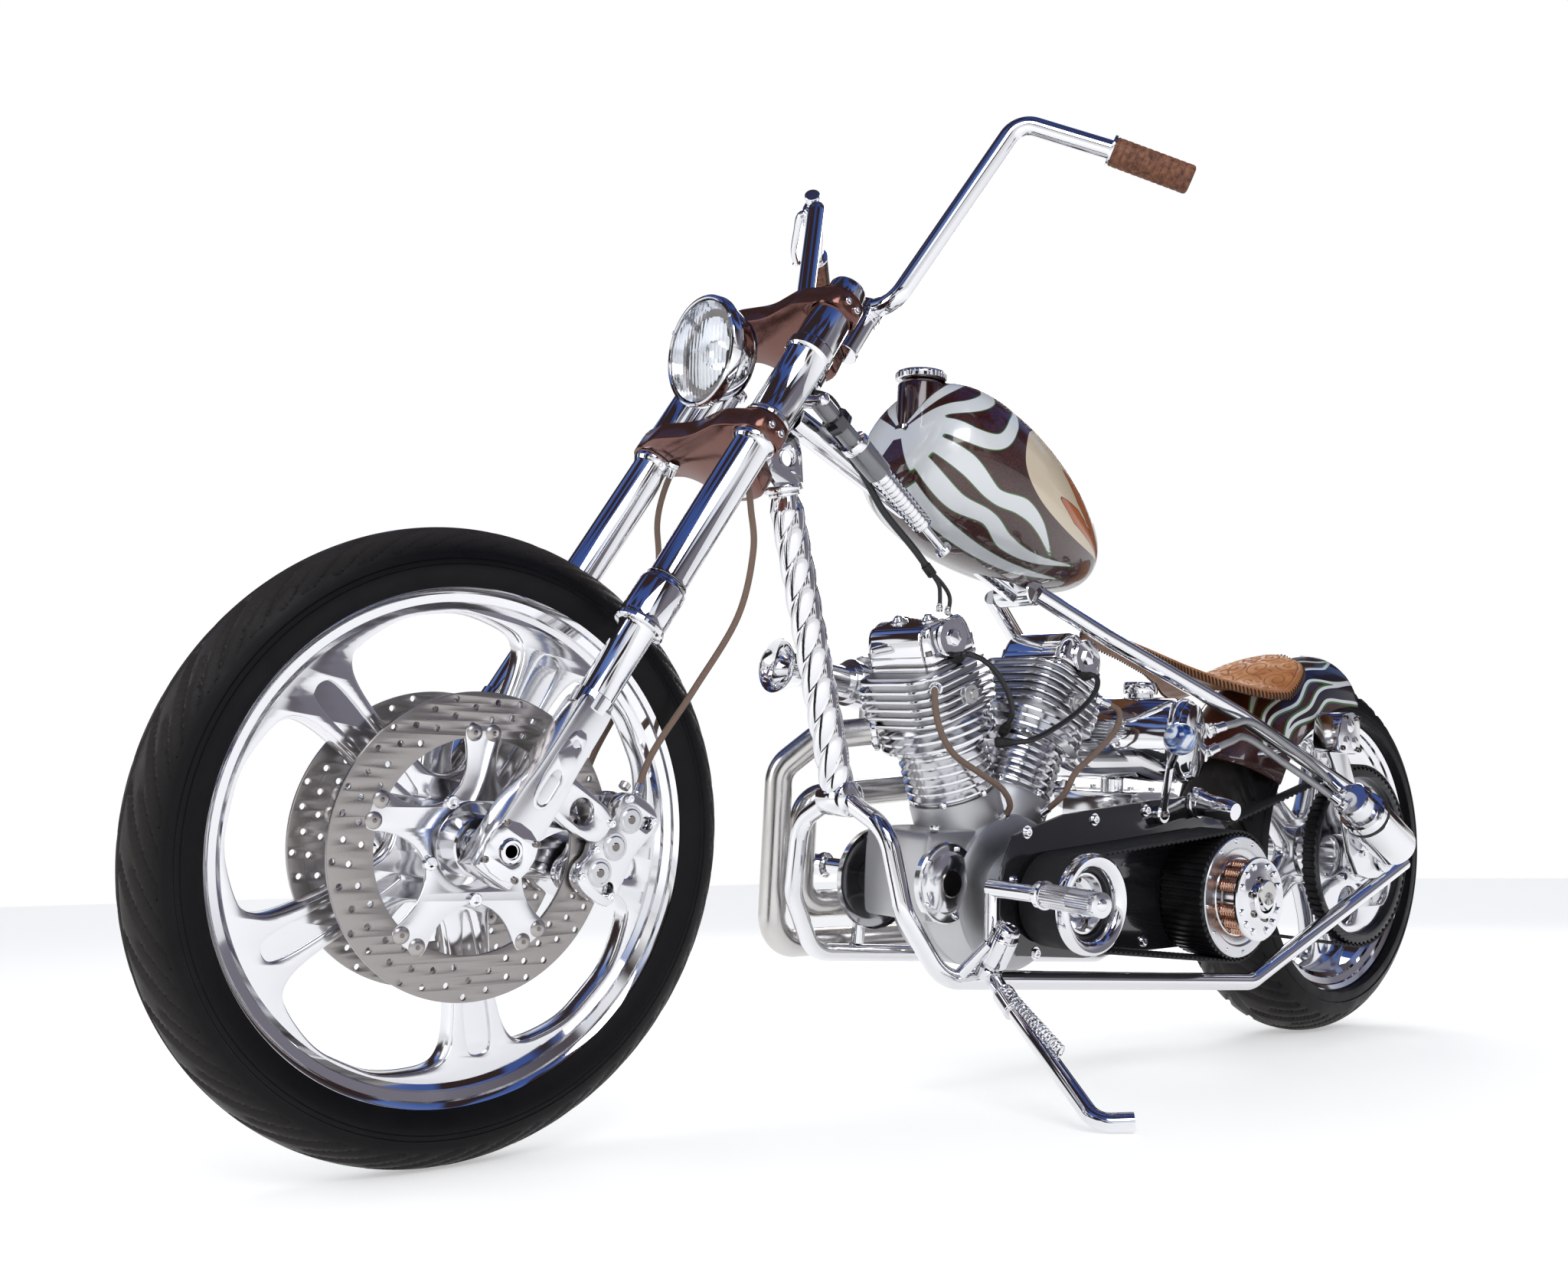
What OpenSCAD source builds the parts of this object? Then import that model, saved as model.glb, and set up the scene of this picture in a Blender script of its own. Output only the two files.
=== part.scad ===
// Chopper motorcycle, as separate named pieces.
// X runs forward, Y to the rider's left and Z up, in millimetres.
// The machine is drawn upright with its rear axle over the origin; place() leans
// it onto its side stand and moves the origin to the middle of the ground it covers.

/* [Stance] */
// Distance between the two axles
wheelbase = 1702; // [1550:1:1850]
// Lean onto the side stand, in degrees
lean = 5.6; // [4:0.1:7]
// Rake of the steering axis from the vertical, in degrees
rake = 32.5; // [30:0.5:35]
// Distance that the fork legs stand ahead of the steering axis
tree_offset = 60; // [54:1:66]

/* [Front wheel] */
// Radius of the front tyre
front_tyre_r = 347; // [335:1:360]
// Half the width of the front tyre, and the radius of its round section
front_tyre_half = 47; // [42:1:52]
// Radius of the lip of the front rim
front_lip_r = 281; // [270:1:286]
// Number of spokes in the front wheel
spoke_count = 5; // [4:1:6]
// Radius of each front brake disc
front_disc_r = 165; // [145:1:175]
// Distance of each front brake disc from the middle of the wheel
front_disc_y = 54; // [52:1:60]

/* [Rear wheel] */
// Radius of the rear tyre
rear_tyre_r = 323; // [310:1:335]
// Half the width of the rear tyre
rear_tyre_half = 88; // [80:1:92]
// Radius of the crown of the rear tyre
rear_crown_r = 80; // [76:1:84]
// Radius of the lip of the rear rim
rear_lip_r = 243; // [232:1:248]
// Radius of the belt pulley on the rear wheel
rear_pulley_r = 156; // [140:1:160]
// Width of the final belt
final_belt_w = 24; // [20:1:26]

/* [Fork] */
// Half the distance between the fork legs
leg_y = 107; // [104:1:114]
// Radius of the fork's upper tubes
leg_tube_r = 24; // [21:0.5:26]
// Radius of the fork's lower tubes
slider_r = 21.5; // [19:0.5:23]
// Length of the fork legs above the axle
leg_length = 838; // [800:1:880]
// Height of the lower tree along the legs
lower_tree_t = 590; // [570:1:620]
// Height of the upper tree along the legs
upper_tree_t = 800; // [780:1:820]
// Radius of the headlight
headlight_r = 72; // [62:1:80]
// Radius of the handlebar tube
bar_r = 13; // [11:0.5:15]

/* [Frame] */
// Radius of the frame tubes
tube_r = 13; // [12:0.5:15]
// Half the distance between the lower rails
rail_y = 130; // [124:1:140]
// Half the distance between the frame's rear ends
tail_y = 152; // [148:1:160]
// Side of the twisted square down tube
twist_side = 33; // [30:1:40]
// Turns made by the down tube
twist_turns = 2.5; // [1:0.5:4]

/* [Engine] */
// Distance of the crankshaft ahead of the rear axle
crank_x = 862; // [856:1:868]
// Height of the crankshaft
crank_z = 275; // [268:1:282]
// Angle between the two cylinders
vee = 45; // [43:1:47]
// Radius of the cylinders' fins
fin_r = 84; // [76:1:88]
// Number of fins on each cylinder
fin_count = 9; // [6:1:12]
// Distance of the gearbox shaft ahead of the rear axle
clutch_x = 512; // [506:1:518]
// Radius of the toothed clutch basket
clutch_r = 100; // [90:1:106]
// Width of the primary belt
primary_belt_w = 66; // [56:1:70]

/* [Body] */
// Length of the fuel tank
tank_length = 432; // [420:1:460]
// Half the width of the fuel tank
tank_half = 130; // [118:1:136]
// Half the width of the seat at its wide end
seat_half = 112; // [100:1:120]
// Inside radius of the rear fender
fender_r = 353; // [347:1:358]
// Radius of the round oil tank
oil_tank_r = 66; // [60:1:70]

/* [Hidden] */
$fn = 48;
gap = 0.3;            // fit between pieces that touch
run = 6;              // room left around what turns
thin = 5;             // sheet and disc thickness
rear_z = rear_tyre_r;
front_z = front_tyre_r;
pivot_z = rear_crown_r;
axle_r = 12;
axle_bore_r = 7;
origin_x = 863;       // middle of the leaned machine's box
origin_y = 92;

// ---- Shared shapes -------------------------------------------------------

function unit(v) = v / norm(v);
function flip(p) = [p.x, -p.y, p.z];
function flip_all(pts) = [for (p = pts) flip(p)];

// Leans what is drawn upright and moves it to the part's own origin
module place() {
    translate([-origin_x, -origin_y, pivot_z]) rotate([-lean, 0, 0])
        translate([0, 0, -pivot_z]) children();
}

// Puts what is drawn along the fork legs at the front axle, raked
module on_fork() {
    place() translate([wheelbase, 0, front_z]) rotate([0, -rake, 0]) children();
}

module both_sides() {
    children();
    mirror([0, 1, 0]) children();
}

// A round bar from a to b, of radius r at a and r2 at b
module rod(a, b, r, r2) {
    d = b - a;
    translate(a) rotate([0, acos(d.z / norm(d)), atan2(d.y, d.x)])
        cylinder(h = norm(d), r1 = r, r2 = is_undef(r2) ? r : r2);
}

// A run of points with each corner rounded by an arc of n steps
function rounded(p, bend, n = 5) = let (last = len(p) - 1) concat([p[0]],
    [for (i = [1 : 1 : last - 1])
        let (u = unit(p[i] - p[i - 1]), v = unit(p[i + 1] - p[i]), a = acos(u * v),
            e = cross(u, unit(cross(u, v))), c = p[i] - u * bend * tan(a / 2) - e * bend)
        for (k = [0 : n]) c + bend * (cos(a * k / n) * e + sin(a * k / n) * u)],
    [p[last]]);

// Direction of a run at each of its points
function heading(c, i) = unit(c[min(i + 1, len(c) - 1)] - c[max(i - 1, 0)]);

// Directions square to a run, carried from point to point without twisting
function carried(c, i = 0, e = undef) = i >= len(c) ? [] :
    let (t = heading(c, i), raw = is_undef(e) ? (abs(t.y) > 0.8 ? [1, 0, 0] : [0, 1, 0]) : e,
        side = unit(raw - t * (raw * t)))
    concat([side], carried(c, i + 1, side));

// A tube swept along a run of points, turned by turn degrees from end to end;
// radii lists the section's corner radii and repeats round it
module sweep(c, radii, sides, turn = 0) {
    last = len(c) - 1;
    e = carried(c);
    rings = [for (i = [0 : last])
        let (t = heading(c, i), e2 = cross(t, e[i]))
        for (k = [0 : sides - 1])
            let (a = 360 * k / sides + turn * i / last, r = radii[k % len(radii)])
            c[i] + r * (cos(a) * e[i] + sin(a) * e2)];
    polyhedron(rings, concat([[for (k = [0 : sides - 1]) k]],
        [for (i = [0 : last - 1], k = [0 : sides - 1])
            let (a = i * sides + k, b = i * sides + (k + 1) % sides)
            [a, a + sides, b + sides, b]],
        [[for (k = [sides - 1 : -1 : 0]) last * sides + k]]));
}

// A bent tube, and a hose that follows a smooth curve
module bent_tube(pts, r, bend, sides = 16) { sweep(rounded(pts, bend), [r], sides); }
module hose(pts, r, n = 4) { sweep(spline(pts, n), [r], 8); }

// A round bar that lies across the machine
module cross_bar(x, z, y1, y2, r) {
    translate([x, y1, z]) rotate([-90, 0, 0]) cylinder(h = y2 - y1, r = r);
}

// A ring that turns about Y: inner and outer radius between y1 and y2
module hoop(r1, r2, y1, y2) {
    translate([0, y1, 0]) rotate([-90, 0, 0]) difference() {
        cylinder(h = y2 - y1, r = r2);
        translate([0, 0, -1]) cylinder(h = y2 - y1 + 2, r = r1);
    }
}

// A solid turned about Y from a profile drawn as radius against y
module turned() { rotate([-90, 0, 0]) rotate_extrude() children(); }

// Points of a smooth curve through hand-chosen points, n to each span
function spline_at(a, b, c, d, t) = 0.5 * (2 * b + (c - a) * t
    + (2 * a - 5 * b + 4 * c - d) * t * t + (3 * b - a - 3 * c + d) * t * t * t);
function spline(p, n) = concat([for (i = [0 : len(p) - 2], k = [0 : n - 1])
    spline_at(p[max(i - 1, 0)], p[i], p[i + 1], p[min(i + 2, len(p) - 1)], k / n)],
    [p[len(p) - 1]]);

// ---- Frame ---------------------------------------------------------------

down_top = [1257, 0, 800];
down_foot = [1137, 0, 402];
rail_front = [1062, rail_y, 176];
rail_rear = [392, tail_y, 133];
tail_end = [-84, tail_y, 312];
stay_top = [800, 45, 712];
stay_low = [60, tail_y, 425];

// A point of the fork's middle plane: s ahead of the leg line, t up along it
function fork_point(s, t) = [wheelbase + s * cos(rake) - t * sin(rake), 0,
    front_z + s * sin(rake) + t * cos(rake)];
neck_top = fork_point(-tree_offset, upper_tree_t - 19);
neck_low = fork_point(-tree_offset, lower_tree_t + 19);
backbone_start = [1246, 0, 902];
backbone_end = [792, 0, 716];

// One lower rail, from the foot of the down tube to the axle plate
module cradle(s) {
    pts = [down_foot + [0, s * 22, -4], [1130, s * 88, 366], [1118, s * 112, 262],
        [rail_front.x, s * rail_front.y, rail_front.z],
        [rail_rear.x, s * rail_rear.y, rail_rear.z], [tail_end.x, s * tail_end.y, tail_end.z]];
    place() bent_tube(pts, tube_r, 60);
}

// Both lower rails; the left one carries the socket in which the side stand turns
module frame_cradles() {
    color("silver") {
        cradle(1);
        cradle(-1);
        place() difference() {
            union() {
                rod(stand_pivot + 13 * stand_axis, stand_pivot + 58 * stand_axis, 19);
                rod([1038, 131, 175], stand_pivot + [16, 14, 38], 8);
            }
            rod(stand_pivot, stand_pivot + 70 * stand_axis, 13 + gap);
        }
    }
}

// One upper stay, from under the tank down past the seat to the axle plate
module stay(s) {
    pts = [[stay_top.x, s * stay_top.y, stay_top.z], [690, s * 88, 655], [398, s * 128, 553],
        [stay_low.x, s * stay_low.y, stay_low.z]];
    place() bent_tube(pts, tube_r, 90);
}

module frame_stays() {
    color("silver") {
        stay(1);
        stay(-1);
    }
}

module frame_backbone() {
    color("silver") place() difference() {
        union() {
            rod(backbone_start, backbone_end, 19);
            translate(backbone_end) rotate([90, 0, 0]) cylinder(h = 70, r = 20, center = true);
        }
        rod(neck_low, neck_top, 28);
    }
}

// The head tube, bored for the stem, with its gusset plate
module steering_head() {
    k = unit(neck_top - neck_low);
    color("silver") place() difference() {
        union() {
            rod(neck_low, neck_top, 28);
            rod(neck_low, neck_low + k * 16, 33);
            rod(neck_top - k * 16, neck_top, 33);
            translate([0, 5, 0]) rotate([90, 0, 0]) linear_extrude(10)
                polygon([[1302, 835], [1262, 905], [1236, 880], [1226, 800], [1262, 800]]);
        }
        rod(neck_low - k * 5, neck_top + k * 5, 18);
    }
}

// The square bar, wrung round and round, that runs down in front of the engine
module twisted_down_tube() {
    steps = 60;
    run_of = [for (i = [0 : steps]) down_top + (down_foot - down_top) * i / steps];
    color("silver") place() {
        sweep(run_of, [twist_side * 0.72, twist_side * 0.5], 8, 360 * twist_turns);
        translate(down_foot) rotate([90, 0, 0]) cylinder(h = 50, r = 24, center = true);
    }
}

// The plates that carry the rear axle
module axle_plates() {
    color("silver") place() both_sides() difference() {
        translate([0, tail_y + 6, 0]) rotate([90, 0, 0]) linear_extrude(12)
            polygon([[-90, 330], [-70, 300], [30, 285], [95, 300], [130, 432],
                [60, 452], [-40, 400]]);
        cross_bar(0, rear_z, tail_y - 20, tail_y + 20, axle_r + gap);
    }
}

// ---- Engine --------------------------------------------------------------

case_half = 72;
final_y = rear_tyre_half + run + 1;
plate_y = final_y + final_belt_w + 11;
belt_y = plate_y + 8;
base_d = 150;         // crank to the foot of each cylinder
barrel_d = 228;       // crank to the first head fin
head_d = 345;         // crank to the rocker box
top_d = 425;

// Draws along a cylinder: s is 1 for the front one and -1 for the rear
module on_cylinder(s) {
    place() translate([crank_x, 0, crank_z]) rotate([0, s * vee / 2, 0]) children();
}

module engine_case() {
    color("silver") place() {
        cross_bar(crank_x, crank_z, -case_half, case_half, 112);
        translate([crank_x - 150, -62, crank_z - 40]) cube([320, 124, 130]);
        cross_bar(crank_x + 130, crank_z + 10, -85, -62, 90);
        cross_bar(crank_x, crank_z, case_half - 1, plate_y - gap - 8, 62);
        cross_bar(crank_x, crank_z, case_half - 1, belt_y + primary_belt_w - 4, 12 - gap);
        for (s = [-1, 1]) translate([crank_x, 0, crank_z]) rotate([0, s * vee / 2, 0])
            translate([0, 0, 60]) cylinder(h = base_d - 60 - gap, r = 62);
    }
}

module cylinder_body() {
    cylinder(h = barrel_d - base_d, r = 58);
    translate([0, 0, barrel_d - base_d]) cylinder(h = head_d - barrel_d, r = fin_r - 16);
    pitch = (head_d - barrel_d) / fin_count;
    for (i = [0 : fin_count - 1])
        translate([0, 0, barrel_d - base_d + i * pitch]) cylinder(h = pitch * 0.42, r = fin_r);
    for (i = [0 : 3])
        translate([0, 0, 8 + i * 12]) cylinder(h = 5, r = 64);
}

module cylinders() {
    color("silver") for (s = [-1, 1]) on_cylinder(s) translate([0, 0, base_d]) cylinder_body();
}

module rocker_box() {
    translate([-60, -66, 0]) cube([104, 132, 34]);
    translate([-8, -62, 34]) rotate([-90, 0, 0]) cylinder(h = 124, r = 33);
}
module rocker_boxes() {
    color("silver") for (s = [-1, 1]) on_cylinder(s) translate([0, 0, head_d + gap]) rocker_box();
}

// Carburettor on the right, its trumpet facing forward
module carburettor() {
    color("silver") place() {
        bent_tube([[864, -10, 540], [866, -146, 552], [1101, -146, 580]], 23, 36, 24);
        rod([822, -18, 540], [914, -18, 541], 17);
        rod([1100, -146, 580], [1139, -147, 584], 23, 38);
    }
}

// Routes of the two pipes, from their heads round the front and back along the side
front_pipe = [[1006, -48, 500], [1072, -120, 486], [1110, -165, 436], [1110, -167, 184],
    [1000, -168, 184], [240, -194, 178]];
rear_pipe = [[742, -50, 452], [736, -116, 430], [1000, -146, 402], [1060, -165, 392],
    [1060, -167, 240], [960, -168, 240], [240, -188, 236]];
pipe_r = 20;

module exhaust_pipes() {
    color("silver") place() for (p = [[front_pipe, 44], [rear_pipe, 34]]) difference() {
        bent_tube(p[0], pipe_r, p[1]);
        translate(p[0][len(p[0]) - 1] - [1, 0, 0]) rotate([0, 90, 0])
            cylinder(h = 50, r = pipe_r - 3);
    }
}

// ---- Primary drive and gearbox -------------------------------------------

// The outline that a belt makes round the two pulleys
module belt_line(r1, r2, x1, x2, z1, z2) {
    hull() {
        translate([x1, z1]) circle(r1);
        translate([x2, z2]) circle(r2);
    }
}

module motor_plate() {
    color("black") place() difference() {
        translate([0, plate_y, 0]) rotate([90, 0, 0]) linear_extrude(8)
            polygon([[crank_x + 94, crank_z + 30], [crank_x + 60, crank_z + 105],
                [clutch_x + 20, crank_z + 148], [clutch_x - 30, crank_z + 140],
                [clutch_x - 110, crank_z + 70], [clutch_x - 112, crank_z - 80],
                [crank_x + 40, crank_z - 90], [crank_x + 94, crank_z - 40]]);
        cross_bar(crank_x, crank_z, plate_y - 20, plate_y + 10, 12);
        cross_bar(clutch_x, crank_z, plate_y - 20, plate_y + 10, 20);
    }
}

module front_pulley() {
    color("silver") place() translate([crank_x, 0, crank_z]) {
        hoop(12, 58, plate_y + 3, belt_y + primary_belt_w);
        hoop(49, 69, belt_y + primary_belt_w + gap, belt_y + primary_belt_w + 16);
    }
}

module clutch() {
    face = belt_y + primary_belt_w;
    color("silver") place() translate([clutch_x, 0, crank_z]) {
        hoop(20, clutch_r - 6, plate_y + 3, face);
        hoop(60, clutch_r - 10, face - 1, face + 6);
        hoop(20, 46, face - 1, face + 50);
        hoop(20, 62, face + 34, face + 40);
    }
}

module primary_belt() {
    color("#151515") place() translate([0, belt_y + primary_belt_w, 0]) rotate([90, 0, 0])
        linear_extrude(primary_belt_w) difference() {
            belt_line(clutch_r, 66, clutch_x, crank_x, crank_z, crank_z);
            belt_line(clutch_r - 5.6, 60, clutch_x, crank_x, crank_z, crank_z);
        }
}

module gearbox() {
    color("silver") place() {
        translate([clutch_x - 110, -95, crank_z - 70]) cube([220, 180, 150]);
        cross_bar(clutch_x, crank_z, 80, plate_y - 8.3, 40);
        cross_bar(clutch_x, crank_z, 80, belt_y + primary_belt_w + 54, 20 - gap);
        cross_bar(clutch_x, crank_z + 10, final_y, final_y + final_belt_w, 58);
        translate([clutch_x - 60, -80, crank_z + 79]) cube([130, 140, 71]);
    }
}

module final_belt() {
    color("#151515") place() translate([0, final_y + final_belt_w, 0]) rotate([90, 0, 0])
        linear_extrude(final_belt_w) difference() {
            belt_line(rear_pulley_r + 6, 64.4, 0, clutch_x, rear_z, crank_z + 10);
            belt_line(rear_pulley_r + 0.4, 58.4, 0, clutch_x, rear_z, crank_z + 10);
        }
}

// ---- Oil, pegs and controls ----------------------------------------------

// Two braided lines from the oil tank to the filter's head
module oil_lines() {
    color("#8a8a8a") place() {
        hose([[468, 118, 524], [436, 140, 536], [398, 151, 541], [300, 158, 505],
            [236, 168, 474], [204, 200, 432]], 6);
        hose([[468, 108, 486], [430, 132, 508], [392, 138, 516], [300, 147, 480],
            [236, 168, 446], [200, 200, 412]], 6);
    }
}

// The throttle cable, from the neck down beside the tank, and the thin pair it splits into
module throttle_cable() {
    color("#151515") place() {
        hose([[1232, 19, 938], [1204, 23, 934], [1176, 24, 905], [1157, 25.5, 862],
            [1128, 27, 824], [1100, 28, 793], [1051, 36, 750], [1018, 36, 722]], 5);
        hose([[1020, 36, 724], [1000, 36, 706], [992, 32, 690], [990, 30, 668]], 3);
        hose([[1021, 35, 725], [984, 28, 708], [964, 24, 690], [966, 22, 664]], 3);
    }
}

// A lead from each cylinder's spark plug down into the valley between them
module spark_leads() {
    color("#151515") place() {
        hose([[986, 62, 600], [996, 92, 606], [976, 104, 599], [947, 104, 582],
            [917, 100, 554], [903, 94, 527], [886, 62, 502]], 4);
        hose([[722, 62, 592], [722, 94, 594], [731, 104, 574], [760, 104, 546],
            [814, 104, 516], [872, 98, 492], [900, 62, 488]], 4);
    }
}

// Two brown oil hoses down the side of the cylinders to the crankcase
module engine_hoses() {
    color("#5a4538") place() {
        hose([[1034, 72, 556], [1056, 92, 548], [1052, 98, 506], [1020, 96, 469],
            [962, 94, 443], [915, 92, 422], [890, 84, 398], [880, 56, 376]], 4.5);
        hose([[692, 74, 560], [672, 100, 545], [686, 106, 516], [733, 110, 482],
            [778, 108, 450], [790, 96, 416], [796, 56, 384]], 4.5);
    }
}

module oil_tank() {
    color("silver") place() {
        translate([566, 10, 506]) rotate([-90, 0, 18])
            cylinder(h = 270, r = oil_tank_r, center = true);
        translate([556, 0, crank_z + 150 + gap]) cylinder(h = 40, r = 18);
    }
}

module oil_filter() {
    color("silver") place() {
        rod([198, 207, 425], [160, 207, 405], 30);
        rod([161, 207, 405.5], [47, 207, 345], 38);
        rod([180, 200, 420], [176, 146, 464], 9);
    }
}

module shift_lever() {
    color("silver") place() {
        cross_bar(610, 392, plate_y + gap, plate_y + 12, 14);
        bent_tube([[610, plate_y + 8, 396], [640, plate_y + 42, 468], [702, 232, 502]], 6, 20);
        translate([705, 234, 504]) sphere(23);
    }
}

module foot_pegs() {
    color("silver") place() both_sides() {
        rod([972, 133, 184], [970, 128, 298], 10);
        rod([970, 124, 291], [968, 214, 291], 12);
        rod([968, 213, 291], [991, 330, 291], 16);
    }
}

module passenger_pegs() {
    color("silver") place() {
        cross_bar(517, 411, plate_y + gap, plate_y + 8, 24);
        rod([517, plate_y + 7, 411], [519, plate_y + 74, 401], 21, 13);
        cross_bar(517, 411, -plate_y - 8, -plate_y, 24);
        rod([517, -plate_y - 7, 411], [519, -plate_y - 74, 401], 21, 13);
        cross_bar(517, 411, -plate_y, -80 - gap, 11);
    }
}

// Rows of the stepped strut beside the neck: from, to, radius
strut_rows = [[1, 80, 13], [80, 92, 20], [92, 143, 18], [143, 246, 15], [246, 292, 6],
    [292, 300, 12]];

module neck_strut() {
    a = [1250, 50, 922];
    d = unit([1004, 50, 750] - a);
    color("silver") place() {
        for (r = strut_rows) rod(a + d * (r[0] - 1), a + d * r[1], r[2]);
        rod(a + [-6, 0, -4], [1262, 27, 920], 9);
    }
}

// ---- Tank, seat and fender -----------------------------------------------

tank_tilt = 21;
tank_mid = [850, 0, 843];
tank_height = 122;
tank_sides = 28;
tank_rings = 20;

// How full the tank is, from 0 at its nose (t = 0) to 1 and back at its tail (t = 1)
function tank_full(t) = pow(sin(180 * pow(t, 0.59)), 0.43);

module fuel_tank() {
    pts = [for (i = [0 : tank_rings], k = [0 : tank_sides - 1])
        let (t = 0.004 + 0.992 * (1 - cos(180 * i / tank_rings)) / 2, a = 360 * k / tank_sides)
        [(0.5 - t) * tank_length, tank_full(t) * tank_half * cos(a),
            tank_full(t) * tank_height * sin(a)]];
    color("#3a1210") place() difference() {
        translate(tank_mid) rotate([0, -tank_tilt, 0])
            polyhedron(pts, concat([[for (k = [tank_sides - 1 : -1 : 0]) k]],
                [for (i = [0 : tank_rings - 1], k = [0 : tank_sides - 1])
                    let (a = i * tank_sides + k, b = i * tank_sides + (k + 1) % tank_sides)
                    [a, b, b + tank_sides, a + tank_sides]],
                [[for (k = [0 : tank_sides - 1]) tank_rings * tank_sides + k]]));
        rod(backbone_start, backbone_end, 19 + gap);
        translate(backbone_end) rotate([90, 0, 0]) cylinder(h = 71, r = 20 + gap, center = true);
        translate(filler_low) cylinder(h = 130, r = 33 + gap);
        translate(filler_low + [0, 0, 70 - gap]) cylinder(h = 60, r = 36 + gap);
    }
}

filler_low = [1014, 0, 930];

module filler_cap() {
    color("silver") place() translate(filler_low) {
        cylinder(h = 71, r = 33);
        translate([0, 0, 70]) cylinder(h = 12, r = 36);
    }
}

// Rows of the seat from nose to tail: x, half width, height of its top, thickness
seat_rows = [[626, 10, 679, 10], [618, 22, 678, 14], [590, 29, 674, 16], [500, 33, 657, 17],
    [420, 42, 640, 17], [360, 62, 627, 16], [312, 86, 619, 15], [268, 104, 616, 15],
    [222, 112, 620, 15], [198, 111, 636, 15], [176, 106, 651, 15], [156, 97, 659, 13.5],
    [138, 84, 667.5, 13], [120, 62, 672.5, 12], [108, 34, 675.5, 11], [102, 18, 677, 10.5]];
module seat() {
    n = 8;
    rings = [for (r = seat_rows) let (w = r[1] / 112 * seat_half)
        concat([for (k = [0 : n]) let (v = -1 + 2 * k / n)
            [r[0], w * v, r[2] - 18 * v * v * w / 112 - (abs(v) == 1 ? r[3] / 3 : 0)]],
        [for (k = [n : -1 : 0]) let (v = -1 + 2 * k / n)
            [r[0], 0.97 * w * v, r[2] - r[3] - 18 * v * v * w / 112
                + (abs(v) == 1 ? r[3] / 4 : 0)]])];
    m = 2 * n + 2;
    last = len(seat_rows) - 1;
    color("#b4693a") place() polyhedron([for (r = rings, p = r) p],
        concat([[for (k = [m - 1 : -1 : 0]) k]],
            [for (i = [0 : last - 1], k = [0 : m - 1])
                let (a = i * m + k, b = i * m + (k + 1) % m) [a, b, b + m, a + m]],
            [[for (k = [0 : m - 1]) last * m + k]]));
}

module rear_fender() {
    middle = rear_tyre_r - rear_crown_r - 2;
    color("#3a1210") place() {
        translate([0, 0, rear_z]) rotate([90, 0, 0]) rotate([0, 0, 27])
            rotate_extrude(angle = 66) difference() {
                intersection() {
                    translate([middle, 0]) scale([1, 0.9]) circle(fender_r - middle + thin);
                    translate([rear_tyre_r - 60, -150]) square([200, 300]);
                }
                translate([middle, 0]) scale([1, 0.9]) circle(fender_r - middle);
            }
        both_sides() rod([262, 80, 492], [268, 137, 504], 8);
    }
}

module rear_caliper() {
    color("silver") place() {
        translate([82, 108, 502]) cube([64, 52, 68]);
        translate([0, 136, 0]) rotate([90, 0, 0]) linear_extrude(10)
            polygon([[6, 362], [40, 362], [138, 500], [138, 530], [84, 530], [80, 500]]);
        cross_bar(22, 380, 135, tail_y - 6 - gap, 10);
    }
}

module rear_axle() {
    color("silver") place() translate([0, 0, rear_z])
        hoop(axle_bore_r, axle_r, -tail_y - 24, tail_y + 24);
}

// ---- Fork ----------------------------------------------------------------

// Rows of a fork leg from the axle up: from, to, radius
leg_rows = [[180, 290, slider_r], [290, 297, 31], [297, 353, 29],
    [353, lower_tree_t - 20, leg_tube_r], [lower_tree_t - 20, lower_tree_t + 20, 30],
    [lower_tree_t + 20, 716, 27], [716, 730, 31], [730, upper_tree_t + 14, 28],
    [upper_tree_t + 14, leg_length, 25]];
carrier_half = 26;

module fork_leg(s) {
    color("silver") on_fork() translate([0, s * leg_y, 0]) difference() {
        union() {
            for (r = leg_rows) translate([0, 0, r[0]]) cylinder(h = r[1] - r[0], r = r[2]);
            translate([-carrier_half, -22, -34]) cube([2 * carrier_half, 44, 228]);
        }
        translate([0, -40, 0]) rotate([-90, 0, 0]) cylinder(h = 80, r = axle_r + gap);
        translate([0, s * 22, 60]) rotate([-90, 0, 0]) cylinder(h = 12, r = 9, center = true);
    }
}
module fork_legs() {
    fork_leg(1);
    fork_leg(-1);
}

// The two plates that join the legs, with the stem between them
module triple_trees() {
    color("#7a6a66") on_fork() difference() {
        union() {
            for (t = [lower_tree_t - 14, upper_tree_t - 14])
                translate([0, 0, t]) linear_extrude(28) polygon([[-tree_offset - 34, -36],
                    [-tree_offset - 34, 36], [-10, 82], [32, 72], [32, -72], [-10, -82]]);
            translate([-tree_offset, 0, lower_tree_t - 10])
                cylinder(h = upper_tree_t - lower_tree_t + 20, r = 18 - gap);
        }
        for (s = [-1, 1]) translate([0, s * leg_y, 500]) cylinder(h = 400, r = 30.5);
    }
}

module front_axle() {
    color("silver") on_fork()
        hoop(axle_bore_r, axle_r, -leg_y - 26, leg_y + 26);
}

module headlight() {
    color("silver") {
        place() translate([1405, 0, 962]) rotate([0, -90, 0]) difference() {
            union() {
                cylinder(h = 16, r = headlight_r);
                translate([0, 0, 14]) cylinder(h = 50, r1 = headlight_r - 4, r2 = 46);
            }
            translate([0, 0, -1]) cylinder(h = 11, r = headlight_r - 6);
        }
        on_fork() translate([5, 0, lower_tree_t + 14 + gap]) cylinder(h = 72, r = 9);
    }
}

module headlight_lens() {
    color("white") place() translate([1405, 0, 962]) rotate([0, -90, 0]) {
        translate([0, 0, 4]) cylinder(h = 6 - gap, r = headlight_r - 6 - gap);
        translate([0, 0, -6]) cylinder(h = 10.1, r1 = headlight_r - 24, r2 = headlight_r - 6 - gap);
    }
}

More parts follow.
